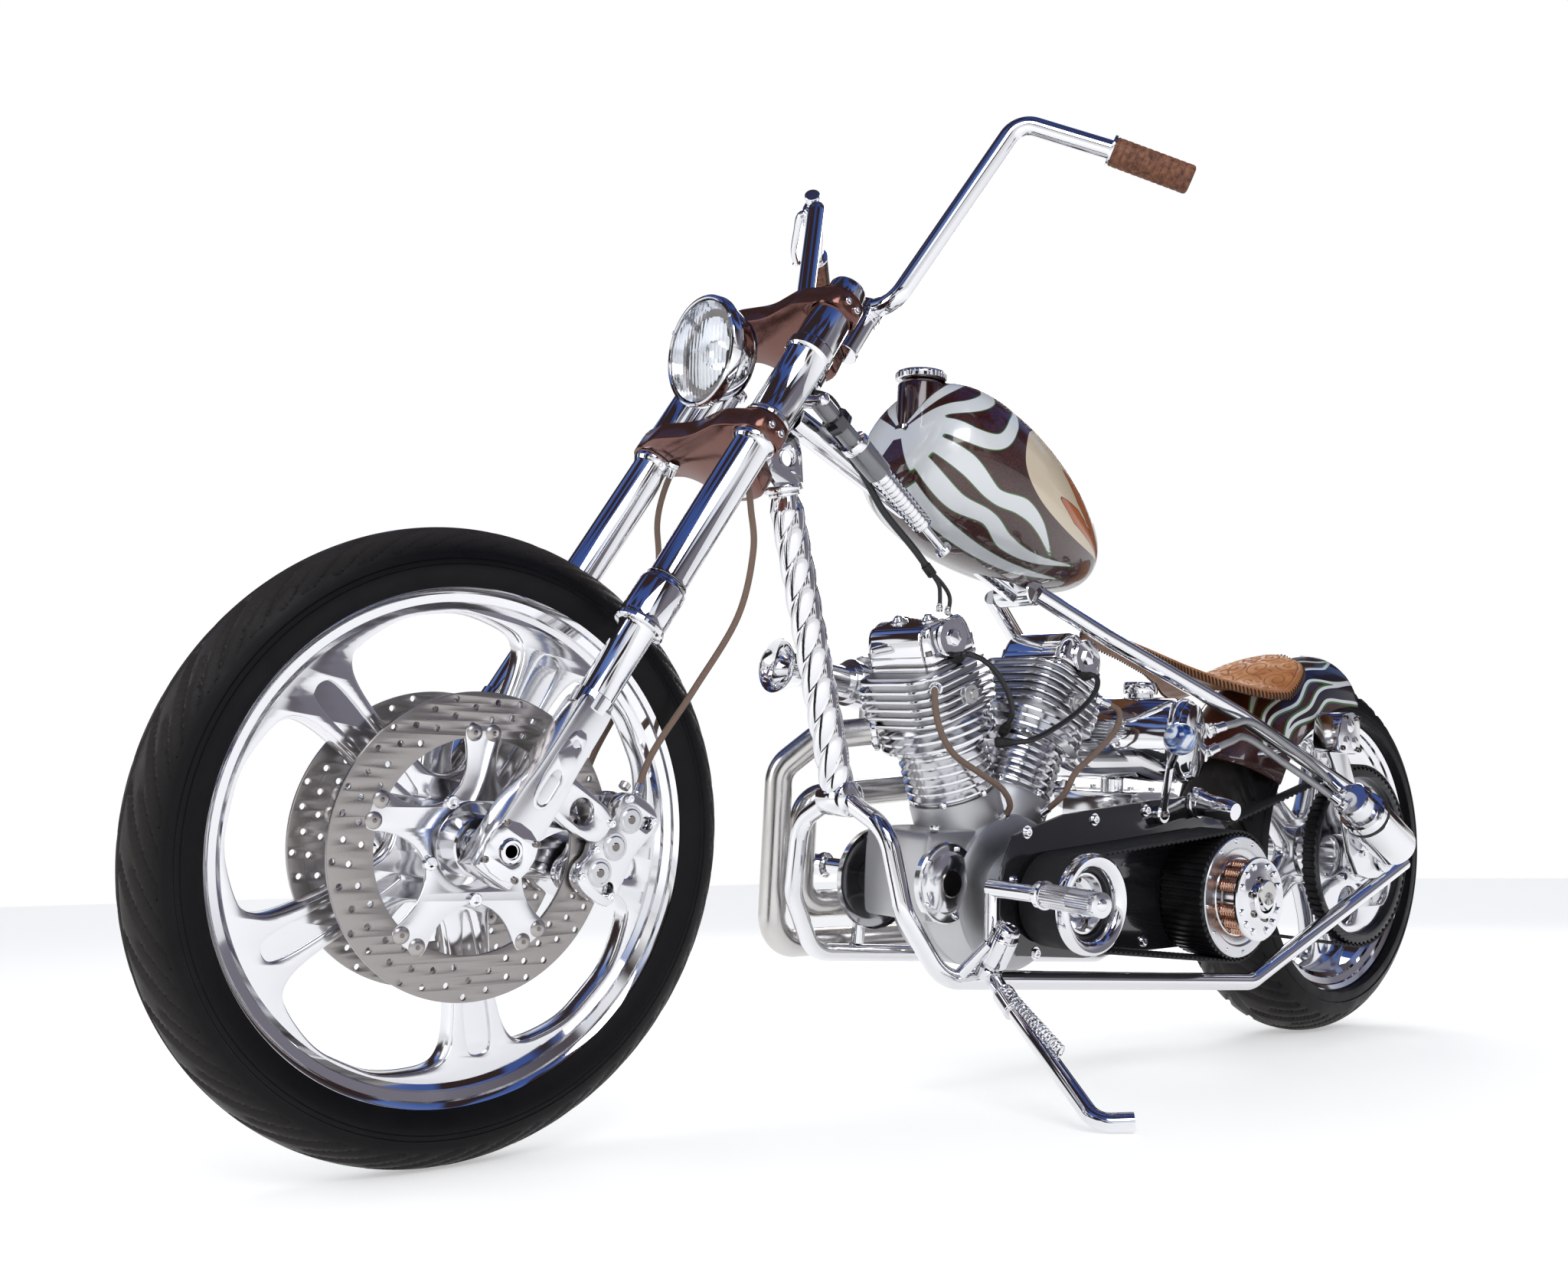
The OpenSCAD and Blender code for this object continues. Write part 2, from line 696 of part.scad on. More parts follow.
bar_line = [[1156, 46, 1064], [1162, 96, 1060], [1052, 206, 1308], [975, 297, 1266],
    [902, 367, 1228]];
module handlebar() {
    half = [for (i = [4 : -1 : 0]) bar_line[i]];
    color("silver") {
        place() bent_tube(concat(half, [for (i = [0 : 4]) flip(bar_line[i])]), bar_r, 30);
        on_fork() both_sides() translate([-76, 42, upper_tree_t + 14 + gap])
            cylinder(h = 86, r = 17);
    }
}

module grips() {
    d = unit(bar_line[4] - bar_line[3]);
    color("#6b3520") place() both_sides() difference() {
        rod(bar_line[3] + 2 * d, bar_line[4] + 5 * d, bar_r + 6);
        rod(bar_line[3] - d, bar_line[4] + 0.2 * d, bar_r + gap);
    }
}

module brake_lever() {
    color("silver") place() {
        rod([1036, -236, 1316], [1008, -266, 1302], 16);
        rod([1040, -262, 1308], [985, -330, 1262], 6);
    }
}

module front_calipers() {
    color("silver") on_fork() both_sides() difference() {
        union() {
            translate([-168, leg_y - 84, 20]) cube([62, 62, 130]);
            translate([-110, leg_y - 32, 70]) cube([110 - carrier_half - gap, 10, 46]);
        }
        hoop(60, front_disc_r + run, front_disc_y - 9, front_disc_y + 9);
    }
}

hose_line = [[1384, 72, 829], [1388, 90, 790], [1388, 100, 752], [1382, 101, 700],
    [1394, 92, 620], [1438, 72, 531], [1487, 62, 452], [1507, 62, 399]];
module brake_hoses() {
    color("#6b5a4a") place() {
        hose(hose_line, 4);
        hose(flip_all(hose_line), 4);
    }
}

// ---- Wheels --------------------------------------------------------------

module at_front_wheel() { place() translate([wheelbase, 0, front_z]) children(); }
module at_rear_wheel() { place() translate([0, 0, rear_z]) children(); }

// The spokes' web: a disc with a window between each pair of spokes, whose rows
// give a share of the disc's radius and the spoke's width there
module web(r, rows) {
    half = 180 / spoke_count;
    pts = [for (q = rows) let (a = half - asin(q[1] / 2 / (q[0] * r))) q[0] * r * [cos(a), sin(a)]];
    rotate([90, 0, 0]) linear_extrude(38, center = true) difference() {
        circle(r);
        for (i = [0 : spoke_count - 1]) rotate(i * 2 * half)
            offset(14, $fn = 24) offset(delta = -14)
                polygon(concat(pts, [[0.985 * r, 0]], [for (k = [len(pts) - 1 : -1 : 0])
                    [pts[k].x, -pts[k].y]]));
    }
}

front_bed_r = front_lip_r - 8;
front_rim_inner_r = front_lip_r - 25;
front_lip_y = 36;
spoke_rows = [[0.3, 60], [0.42, 54], [0.6, 50], [0.8, 62], [0.9, 84], [0.955, 124]];
web_turn = -8;

module front_tyre() {
    color("#161616") at_front_wheel() turned() difference() {
        translate([front_tyre_r - front_tyre_half, 0]) circle(front_tyre_half);
        translate([0, -100]) square([front_bed_r + gap, 200]);
        for (s = [-1, 1]) translate([0, s > 0 ? front_lip_y - 5.3 : -100])
            square([front_lip_r + gap, 105.3 - front_lip_y]);
    }
}

module front_rim() {
    color("silver") at_front_wheel() turned() difference() {
        translate([front_rim_inner_r, -front_lip_y])
            square([front_lip_r - front_rim_inner_r, 2 * front_lip_y]);
        translate([front_bed_r, -front_lip_y + 5]) square([20, 2 * front_lip_y - 10]);
    }
}

module front_spokes() {
    color("silver") at_front_wheel() difference() {
        union() {
            hoop(axle_r, 46, -70, 70);
            rotate([0, web_turn, 0]) web(front_rim_inner_r, spoke_rows);
        }
        cross_bar(0, 0, -80, 80, axle_r + gap);
    }
}

module front_discs() {
    color("silver") at_front_wheel() for (s = [-1, 1])
        translate([0, s * front_disc_y, 0]) rotate([90, 0, 0])
            linear_extrude(thin, center = true) {
                difference() {
                    circle(front_disc_r);
                    circle(116);
                }
                difference() {
                    union() {
                        circle(72);
                        for (i = [0 : 4]) rotate(i * 72 + 18) polygon([[50, -34], [84, -19],
                            [122, -24], [122, 24], [84, 19], [50, 34]]);
                    }
                    circle(46 + gap);
                }
            }
}

rear_bed_r = rear_lip_r - 8;
rear_rim_inner_r = rear_lip_r - 29;
rear_lip_y = 71;

module rear_tyre() {
    color("#161616") at_rear_wheel() turned() difference() {
        intersection() {
            translate([rear_tyre_r - rear_crown_r, 0]) scale(1) circle(rear_tyre_half);
            union() {
                translate([rear_tyre_r - rear_crown_r, 0]) circle(rear_crown_r);
                translate([0, -rear_tyre_half])
                    square([rear_tyre_r - rear_crown_r + 30, 2 * rear_tyre_half]);
            }
        }
        translate([0, -150]) square([rear_bed_r + gap, 300]);
        for (s = [-1, 1]) translate([0, s > 0 ? rear_lip_y - 5.3 : -150])
            square([rear_lip_r + gap, 155.3 - rear_lip_y]);
    }
}

module rear_rim() {
    color("silver") at_rear_wheel() turned() difference() {
        translate([rear_rim_inner_r, -rear_lip_y])
            square([rear_lip_r - rear_rim_inner_r, 2 * rear_lip_y]);
        translate([rear_bed_r, -rear_lip_y + 5]) square([20, 2 * rear_lip_y - 10]);
    }
}

module rear_spokes() {
    color("silver") at_rear_wheel() difference() {
        union() {
            hoop(axle_r, 50, -90, final_y - 4.3);
            web(rear_rim_inner_r, spoke_rows);
        }
        cross_bar(0, 0, -100, 100, axle_r + gap);
    }
}

module rear_pulley() {
    color("silver") at_rear_wheel() {
        translate([0, final_y + 16, 0]) rotate([90, 0, 0]) linear_extrude(12) difference() {
            circle(rear_pulley_r - 10);
            circle(axle_r + gap);
            for (i = [0 : 4]) rotate(i * 72) translate([92, 0]) circle(34);
        }
        hoop(rear_pulley_r - 16, rear_pulley_r, final_y, final_y + final_belt_w);
        hoop(axle_r + gap, 46, final_y - 4, final_y + final_belt_w);
    }
}

// ---- Side stand ----------------------------------------------------------

stand_pivot = [1002, 156, 186];
stand_axis = [0, sin(28), cos(28)];
stand_knee = [1055, 379, 49];
stand_toe = [1025, 411, 54];

module side_stand() {
    root = stand_pivot + 2 * stand_axis;
    color("silver") place() {
        rod(stand_pivot - 6 * stand_axis, stand_pivot + 66 * stand_axis, 13);
        rod(stand_pivot - 8 * stand_axis, stand_pivot + 8 * stand_axis, 17);
        rod(stand_pivot + 63 * stand_axis, stand_pivot + 70 * stand_axis, 17);
        bent_tube([root, root + [10, 34, -24], stand_knee, stand_toe], 11, 30);
        rod(root + [9, 32, -22], root + [16, 62, -42], 15);
    }
}

// ---- Pieces --------------------------------------------------------------

frame_cradles();
frame_backbone();
frame_stays();
steering_head();
twisted_down_tube();
axle_plates();
engine_case();
cylinders();
rocker_boxes();
carburettor();
exhaust_pipes();
motor_plate();
front_pulley();
clutch();
primary_belt();
gearbox();
final_belt();
oil_tank();
oil_filter();
oil_lines();
throttle_cable();
spark_leads();
engine_hoses();
shift_lever();
foot_pegs();
passenger_pegs();
neck_strut();
fuel_tank();
filler_cap();
seat();
rear_fender();
rear_caliper();
rear_axle();
triple_trees();
fork_legs();
front_axle();
headlight();
headlight_lens();
handlebar();
grips();
brake_lever();
front_calipers();
brake_hoses();
front_tyre();
front_rim();
front_spokes();
front_discs();
rear_tyre();
rear_rim();
rear_spokes();
rear_pulley();
side_stand();
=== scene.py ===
# %% [markdown]
# # Chopper motorcycle: finishes and fine detail
# A custom chopper is mostly polished metal: chrome tubes, cast and machined
# alloy, a lacquered tank and a little leather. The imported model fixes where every
# part is and how it moves. This notebook gives each part its surface, and swaps
# the plain shapes for finer ones where threads, fins, teeth and laces show.

# %% Load the fixed model
import bpy, bmesh, math
import numpy as np
from mathutils import Matrix, Vector


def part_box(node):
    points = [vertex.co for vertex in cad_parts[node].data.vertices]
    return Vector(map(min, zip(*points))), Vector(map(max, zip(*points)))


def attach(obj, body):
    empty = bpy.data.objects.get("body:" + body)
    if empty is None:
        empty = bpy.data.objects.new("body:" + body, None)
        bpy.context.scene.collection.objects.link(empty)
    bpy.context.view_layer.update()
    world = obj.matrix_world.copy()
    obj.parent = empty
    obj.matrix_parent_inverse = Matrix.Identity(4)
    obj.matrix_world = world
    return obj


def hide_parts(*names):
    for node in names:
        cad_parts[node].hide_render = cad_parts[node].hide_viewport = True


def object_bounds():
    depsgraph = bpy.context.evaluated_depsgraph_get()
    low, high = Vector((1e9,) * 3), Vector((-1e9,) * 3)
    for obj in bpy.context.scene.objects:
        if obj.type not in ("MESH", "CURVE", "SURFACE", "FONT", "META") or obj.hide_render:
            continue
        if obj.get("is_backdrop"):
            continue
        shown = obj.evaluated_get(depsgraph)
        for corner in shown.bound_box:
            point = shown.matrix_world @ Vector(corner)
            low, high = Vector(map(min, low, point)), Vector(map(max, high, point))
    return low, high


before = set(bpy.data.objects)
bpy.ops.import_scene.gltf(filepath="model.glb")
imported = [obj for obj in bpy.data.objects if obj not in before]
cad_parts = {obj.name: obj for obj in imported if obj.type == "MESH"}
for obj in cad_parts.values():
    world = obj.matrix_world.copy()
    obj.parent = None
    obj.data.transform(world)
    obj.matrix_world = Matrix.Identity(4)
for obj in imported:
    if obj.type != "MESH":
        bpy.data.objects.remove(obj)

cad_box = [list(corner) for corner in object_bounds()]
print("model loaded:", len(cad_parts), "parts, box", cad_box)

# %% [markdown]
# ## Where things are
# The machine is easier to think about upright and in millimetres, with X forward,
# Y to the rider's left, Z up and the rear axle over the origin. One matrix leans
# it onto its stand and turns millimetres into metres. The fork, the wheels and
# the cylinders each get a matrix of their own, so a piece is drawn where it is
# simplest and lands where it belongs.

# %% Matrices for the upright machine, the fork, the wheels and the cylinders
def shift(x, y, z):
    return Matrix.Translation((x, y, z))
def turn(degrees, axis):
    return Matrix.Rotation(math.radians(degrees), 4, axis)

MM = Matrix.Scale(0.001, 4)
LEAN, RAKE = 5.6, 32.5
BIKE = MM @ shift(-863, -92, 80) @ turn(-LEAN, "X") @ shift(0, 0, -80)
FORK = BIKE @ shift(1702, 0, 347) @ turn(-RAKE, "Y")
FRONT = BIKE @ shift(1702, 0, 347)
REAR = BIKE @ shift(0, 0, 323)
CRANK = (862, 275)
def cylinder_frame(side):
    return BIKE @ shift(CRANK[0], 0, CRANK[1]) @ turn(side * 22.5, "Y")
low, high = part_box("front_tyre")
print("front axle", FRONT.translation[:], "middle of its tyre", ((low + high) / 2)[:])

# %% [markdown]
# ## Camera
# The machine is seen from low on its left front, by a lens a little wider than
# normal. The camera is set by its turn, its tilt and a slight roll, which is
# easier to read than a matrix.

# %% Three-quarter camera
def aim_camera(place, yaw, pitch, roll, lens, shift_y):
    yaw, pitch, roll = (math.radians(a) for a in (yaw, pitch, roll))
    look = Vector((-math.sin(yaw) * math.cos(pitch), -math.cos(yaw) * math.cos(pitch), math.sin(pitch)))
    right = look.cross(Vector((0, 0, 1))).normalized()
    up = right.cross(look)
    right, up = right * math.cos(roll) + up * math.sin(roll), up * math.cos(roll) - right * math.sin(roll)
    data = bpy.data.cameras.new("camera")
    data.sensor_width, data.lens, data.shift_y = 36, lens, shift_y
    data.clip_start, data.clip_end = 0.05, 60
    made = bpy.data.objects.new("camera", data)
    made.matrix_world = Matrix.Translation(place) @ Matrix((right, up, -look)).transposed().to_4x4()
    bpy.context.scene.collection.objects.link(made)
    return made

camera = aim_camera((1.5739, 1.4047, 0.3201), 39.5, 9.2, -0.97, 33.09, -0.0082)
bpy.context.scene.camera = camera
bpy.context.scene.view_settings.view_transform = "Standard"
print("camera at", camera.location[:])

# %% [markdown]
# ## Surroundings and lamps
# Polished metal is only as good as what it mirrors. Around the machine the
# studio is white, and from well above head height it fades to a deep sky blue,
# which gives chrome its dark and light bands. Only glossy rays see these bands:
# the camera sees plain white, and matt surfaces get one even pale light. The
# lamps are broad and soft.

# %% World
def wire(tree, *pairs):
    for source, target in pairs:
        tree.links.new(source, target)

world = bpy.data.worlds.new("studio")
bpy.context.scene.world = world
world.use_nodes = True
tree = world.node_tree
tree.nodes.clear()
new = tree.nodes.new
coords, split, ramp, path = (new("ShaderNode" + kind) for kind in
                             ("TexCoord", "SeparateXYZ", "ValToRGB", "LightPath"))
height = new("ShaderNodeMapRange")
height.inputs["From Min"].default_value = -1
stops = ramp.color_ramp.elements
stops[0].position, stops[0].color = 0.0, (0.55, 0.55, 0.56, 1)
stops[1].position, stops[1].color = 1.0, (0.03, 0.06, 0.20, 1)
for position, colour in ((0.49, (0.75, 0.75, 0.76)), (0.51, (1, 1, 1)), (0.64, (0.90, 0.94, 1.0)),
                         (0.74, (0.17, 0.27, 0.58)), (0.86, (0.06, 0.11, 0.34))):
    stops.new(position).color = (*colour, 1)
sky, plain, white, metal_or_not, shown = (new("ShaderNode" + kind) for kind in ("Background", "Background",
        "Background", "MixShader", "MixShader"))
plain.inputs["Color"].default_value = (0.93, 0.96, 1, 1)
plain.inputs["Strength"].default_value = 0.62
seen = new("ShaderNodeMath")
seen.operation = "MAXIMUM"
wire(tree, (path.outputs["Is Camera Ray"], seen.inputs[0]), (path.outputs["Is Transmission Ray"],
        seen.inputs[1]))
print("sky ready with", len(stops), "stops")

# %% Dark cards above the horizon, so that polished metal gets black edges too
cards, above, darken = new("ShaderNodeTexNoise"), new("ShaderNodeMapRange"), new("ShaderNodeMix")
cards.inputs["Scale"].default_value, cards.inputs["Detail"].default_value = 2.6, 1.5
card_edge, card_amount = new("ShaderNodeMapRange"), new("ShaderNodeMath")
card_edge.inputs["From Min"].default_value, card_edge.inputs["From Max"].default_value = 0.45, 0.50
above.inputs["From Min"].default_value, above.inputs["From Max"].default_value = 0.03, 0.09
card_amount.operation, darken.data_type = "MULTIPLY", "RGBA"
darken.inputs["B"].default_value = (0.035, 0.022, 0.022, 1)
wire(tree, (coords.outputs["Generated"], cards.inputs["Vector"]), (cards.outputs["Fac"],
        card_edge.inputs["Value"]), (split.outputs["Z"], above.inputs["Value"]), (card_edge.outputs[0],
        card_amount.inputs[0]), (above.outputs[0], card_amount.inputs[1]), (card_amount.outputs[0],
        darken.inputs["Factor"]), (ramp.outputs[0], darken.inputs["A"]))
print("dark cards ready")

# %% A large grey card behind and to the left, for the flat sides of the wheels
towards, grey_edge, greyed = new("ShaderNodeVectorMath"), new("ShaderNodeMapRange"), new("ShaderNodeMix")
towards.operation, greyed.data_type = "DOT_PRODUCT", "RGBA"
towards.inputs[1].default_value = (-0.66, 0.75, 0.06)
grey_edge.inputs["From Min"].default_value, grey_edge.inputs["From Max"].default_value = 0.80, 0.97
greyed.inputs["B"].default_value = (0.20, 0.19, 0.23, 1)
wire(tree, (coords.outputs["Generated"], towards.inputs[0]), (towards.outputs["Value"],
        grey_edge.inputs["Value"]), (grey_edge.outputs[0], greyed.inputs["Factor"]),
     (darken.outputs["Result"], greyed.inputs["A"]))

# %% Which rays see what
out = new("ShaderNodeOutputWorld")
wire(tree, (coords.outputs["Generated"], split.inputs[0]), (split.outputs["Z"], height.inputs["Value"]),
     (height.outputs[0], ramp.inputs[0]), (greyed.outputs["Result"], sky.inputs[0]),
     (path.outputs["Is Glossy Ray"], metal_or_not.inputs[0]), (plain.outputs[0], metal_or_not.inputs[1]),
     (sky.outputs[0], metal_or_not.inputs[2]), (seen.outputs[0], shown.inputs[0]),
     (metal_or_not.outputs[0], shown.inputs[1]), (white.outputs[0], shown.inputs[2]),
     (shown.outputs[0], out.inputs[0]))
white.inputs["Color"].default_value = (1, 1, 1, 1)
print("world made of", len(tree.nodes), "nodes")

# %% Lamps
def soft_lamp(name, place, target, size, power, colour=(1, 1, 1)):
    data = bpy.data.lights.new(name, "AREA")
    data.shape, data.size, data.size_y = "RECTANGLE", size[0], size[1]
    data.energy, data.color = power, colour
    lamp = bpy.data.objects.new(name, data)
    lamp.location = place
    lamp.rotation_euler = (Vector(target) - Vector(place)).to_track_quat("-Z", "Y").to_euler()
    bpy.context.scene.collection.objects.link(lamp)

soft_lamp("key", (2.2, 3.2, 2.9), (0, 0, 0.6), (2.4, 1.6), 62)
soft_lamp("fill", (3.6, -1.6, 1.6), (0.4, 0, 0.5), (1.6, 2.0), 26)
soft_lamp("back", (-2.8, -2.0, 2.4), (-0.3, 0, 0.5), (1.8, 1.4), 34)
print("lamps:", len(bpy.data.lights))

# %% Pale floor
def pale_floor():
    mesh = bpy.data.meshes.new("floor")
    mesh.from_pydata([(-14, -14, 0), (14, -14, 0), (14, 14, 0), (-14, 14, 0)], [], [(0, 1, 2, 3)])
    floor = bpy.data.objects.new("floor", mesh)
    bpy.context.scene.collection.objects.link(floor)
    paint = bpy.data.materials.new("pale floor")
    paint.use_nodes = True
    tree = paint.node_tree
    body = tree.nodes["Principled BSDF"]
    body.inputs["Base Color"].default_value = (0.9, 0.9, 0.9, 1)
    body.inputs["Roughness"].default_value = 0.6
    body.inputs["Specular IOR Level"].default_value = 0.2
    seen, lift, both = (tree.nodes.new("ShaderNode" + kind) for kind in ("LightPath", "Emission",
            "AddShader"))
    direct = tree.nodes.new("ShaderNodeMath")
    direct.operation = "MAXIMUM"
    scaled = tree.nodes.new("ShaderNodeMath")
    scaled.operation, scaled.inputs[1].default_value = "MULTIPLY", 0.40
    wire(tree, (seen.outputs["Is Camera Ray"], direct.inputs[0]), (seen.outputs["Is Glossy Ray"],
            direct.inputs[1]), (direct.outputs[0], scaled.inputs[0]), (scaled.outputs[0],
            lift.inputs["Strength"]), (body.outputs[0], both.inputs[0]), (lift.outputs[0], both.inputs[1]),
         (both.outputs[0], tree.nodes["Material Output"].inputs["Surface"]))
    mesh.materials.append(paint)
    floor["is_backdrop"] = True
    return floor
floor = pale_floor()
print("floor", floor.dimensions[:])

# %% [markdown]
# ## How a piece is made
# Almost everything here is turned on a lathe, bent from tube, cut from plate or
# lofted through sections. One small class collects such parts of a piece, each
# with its finish, and makes a single object of them: it merges touching points,
# shades round surfaces smoothly and marks sharp edges. Small chamfers are drawn
# into the shapes themselves, because a bevel modifier would also round the
# grooves and threads.

# %% A piece, and how it is finished
class Piece:
    def __init__(self, name, body, where, slot):
        self.name, self.body, self.where, self.slot = name, body, where, slot
        self.verts, self.faces, self.finish_of, self.finishes = [], [], [], []

    def add(self, part, finish, where=Matrix.Identity(4)):
        verts, faces = part
        if finish not in self.finishes:
            self.finishes.append(finish)
        start, index = len(self.verts), self.finishes.index(finish)
        moved = np.c_[np.asarray(verts, float).reshape(-1, 3), np.ones(len(verts))] @ np.array(where).T
        self.verts.extend(moved[:, :3].tolist())
        self.faces.extend([[start + i for i in face] for face in faces])
        self.finish_of.extend([index] * len(faces))
        return self

    def make(self, replaces=(), sharp=38, merge=True):
        mesh = bpy.data.meshes.new(self.name)
        mesh.from_pydata(self.verts, [], self.faces)
        mesh.polygons.foreach_set("material_index", self.finish_of)
        for finish in self.finishes:
            mesh.materials.append(finish)
        mesh.transform(self.where)
        tidy = bmesh.new()
        tidy.from_mesh(mesh)
        if merge:
            bmesh.ops.remove_doubles(tidy, verts=tidy.verts, dist=2e-6)
        bmesh.ops.recalc_face_normals(tidy, faces=tidy.faces)
        tidy.to_mesh(mesh)
        tidy.free()
        made = bpy.data.objects.new(self.name, mesh)
        bpy.context.scene.collection.objects.link(made)
        made.data.polygons.foreach_set("use_smooth", [True] * len(made.data.polygons))
        made.data.set_sharp_from_angle(angle=math.radians(sharp))
        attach(made, self.body)
        if replaces:
            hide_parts(*replaces)
        return made

# %% Rings joined into a skin: the base of tubes, lathe work and lofts
def skin(rings, capped=True, closed=False):
    count, verts, faces = len(rings[0]), [tuple(p) for ring in rings for p in ring], []
    rows = len(rings) if closed else len(rings) - 1
    for i in range(rows):
        a, b = i * count, (i + 1) % len(rings) * count
        faces += [(a + k, a + (k + 1) % count, b + (k + 1) % count, b + k) for k in range(count)]
    if capped and not closed:
        faces += [tuple(range(count))[::-1], tuple(range((len(rings) - 1) * count, len(rings) * count))]
    return verts, faces

def carried(points):
    """Two directions square to a run of points, carried along it without twisting."""
    points = np.asarray(points, float)
    ahead = np.gradient(points, axis=0)
    ahead /= np.linalg.norm(ahead, axis=1)[:, None]
    side = np.array((0, 1, 0) if abs(ahead[0][1]) < 0.8 else (1, 0, 0), float)
    pairs = []
    for t in ahead:
        side = side - t * (side @ t)
        side /= np.linalg.norm(side)
        pairs.append((side, np.cross(t, side)))
    return points, pairs

def tube(points, radius, sides=24, twist=0, section=None, capped=True):
    """A tube along points. radius is one number or one for each point."""
    points, pairs = carried(points)
    radius = np.full(len(points), radius) if np.isscalar(radius) else np.asarray(radius)
    rings = []
    for i, (p, (a, b)) in enumerate(zip(points, pairs)):
        angles = 2 * np.pi * np.arange(sides) / sides
        shape = 1 if section is None else section(angles)
        turned_by = angles + math.radians(twist) * i / (len(points) - 1)
        rings.append(p + (radius[i] * shape * np.cos(turned_by))[:, None] * a
                     + (radius[i] * shape * np.sin(turned_by))[:, None] * b)
    return skin(rings, capped)

def arc_run(points, bend, steps=12):
    """Straight runs joined by arcs, as a tube bender makes them."""
    points = [Vector(p) for p in points]
    run = [points[0]]
    for before, corner, after in zip(points, points[1:], points[2:]):
        u, v = (corner - before).normalized(), (after - corner).normalized()
        angle = u.angle(v)
        if angle < 0.02:
            run.append(corner)
            continue
        out = u.cross(u.cross(v).normalized())
        centre = corner - u * bend * math.tan(angle / 2) - out * bend
        run += [centre + bend * (math.cos(angle * k / steps) * out + math.sin(angle * k / steps) * u)
                for k in range(steps + 1)]
    return [tuple(p) for p in run + [points[-1]]]

def smooth_run(points, steps=10):
    """A smooth curve through given points."""
    p = np.asarray(points, float)
    p = np.vstack((p[:1], p, p[-1:]))
    run = [0.5 * (2 * p[i + 1] + (p[i + 2] - p[i]) * t
                  + (2 * p[i] - 5 * p[i + 1] + 4 * p[i + 2] - p[i + 3]) * t * t
                  + (3 * p[i + 1] - p[i] - 3 * p[i + 2] + p[i + 3]) * t ** 3)
           for i in range(len(p) - 3) for t in np.arange(steps) / steps]
    return run + [p[-1]]

def straight(a, b, count=2):
    return [tuple(np.array(a) + (np.array(b) - np.array(a)) * i / (count - 1)) for i in range(count)]

# %% Lathe work, plates and fasteners
def turned(profile, steps=72, closed=False):
    """Lathe work about Y: profile rows are (radius, y)."""
    angles = 2 * np.pi * np.arange(steps) / steps
    rings = [np.c_[r * np.cos(angles), np.full(steps, y), r * np.sin(angles)] for r, y in profile]
    return skin(rings, capped=False, closed=closed)

def along(a, b):
    """Places lathe work so that its Y axis runs from a to b."""
    a, b = Vector(a), Vector(b)
    return Matrix.Translation(a) @ (b - a).to_track_quat("Y", "Z").to_matrix().to_4x4()

def stepped(a, b, rows, steps=48):
    """A stepped round bar from a to b: rows are (distance, radius), with small chamfers."""
    profile = [(0.001, rows[0][0])]
    for (y1, r), (y2, _) in zip(rows, rows[1:]):
        edge = min(0.8, r * 0.2, abs(y2 - y1) * 0.3)
        profile += [(r - edge, y1), (r, y1 + edge), (r, y2 - edge), (r - edge, y2)]
    profile.append((0.001, rows[-1][0]))
    verts, faces = turned(profile, steps)
    return [tuple(along(a, b) @ Vector(v)) for v in verts], faces

def cut(outline, y1, y2, holes=(), bevel=1.0):
    """A plate in the XZ plane from y1 to y2, cut to an outline with holes, its edges eased."""
    flat = bpy.data.curves.new("plate", "CURVE")
    flat.dimensions, flat.fill_mode = "2D", "BOTH"
    for points in (outline, *holes):
        spline = flat.splines.new("POLY")
        spline.points.add(len(points) - 1)
        spline.points.foreach_set("co", np.c_[np.asarray(points, float), np.zeros(len(points)),
                np.ones(len(points))].ravel())
        spline.use_cyclic_u = True
    half = abs(y2 - y1) / 2
    bevel = min(bevel, half * 0.9)
    flat.extrude, flat.bevel_depth, flat.bevel_resolution, flat.offset = half - bevel, bevel, 1, -bevel
    holder = bpy.data.objects.new("plate", flat)
    bpy.context.scene.collection.objects.link(holder)
    bpy.context.view_layer.update()
    mesh = bpy.data.meshes.new_from_object(holder.evaluated_get(bpy.context.evaluated_depsgraph_get()))
    co = np.array([v.co for v in mesh.vertices])
    verts = np.c_[co[:, 0], (y1 + y2) / 2 - co[:, 2], co[:, 1]]
    faces = [tuple(f.vertices) for f in mesh.polygons]
    bpy.data.objects.remove(holder)
    bpy.data.curves.remove(flat)
    bpy.data.meshes.remove(mesh)
    return verts, faces

def facing(side):
    """Turns lathe work and bolts to face left (1) or right (-1)."""
    return turn(180, "X") if side < 0 else Matrix.Identity(4)

def circle(r, x=0, z=0, count=48):
    a = 2 * np.pi * np.arange(count) / count
    return np.c_[x + r * np.cos(a), z + r * np.sin(a)]

def eased(points, rounds=3):
    """Cuts the corners of a closed outline until it is smooth."""
    p = np.asarray(points, float)
    for _ in range(rounds):
        after = np.roll(p, -1, 0)
        p = np.stack((0.75 * p + 0.25 * after, 0.25 * p + 0.75 * after), 1).reshape(-1, 2)
    return p

def spun(points, degrees):
    c, s = math.cos(math.radians(degrees)), math.sin(math.radians(degrees))
    return np.asarray(points) @ np.array(((c, s), (-s, c)))

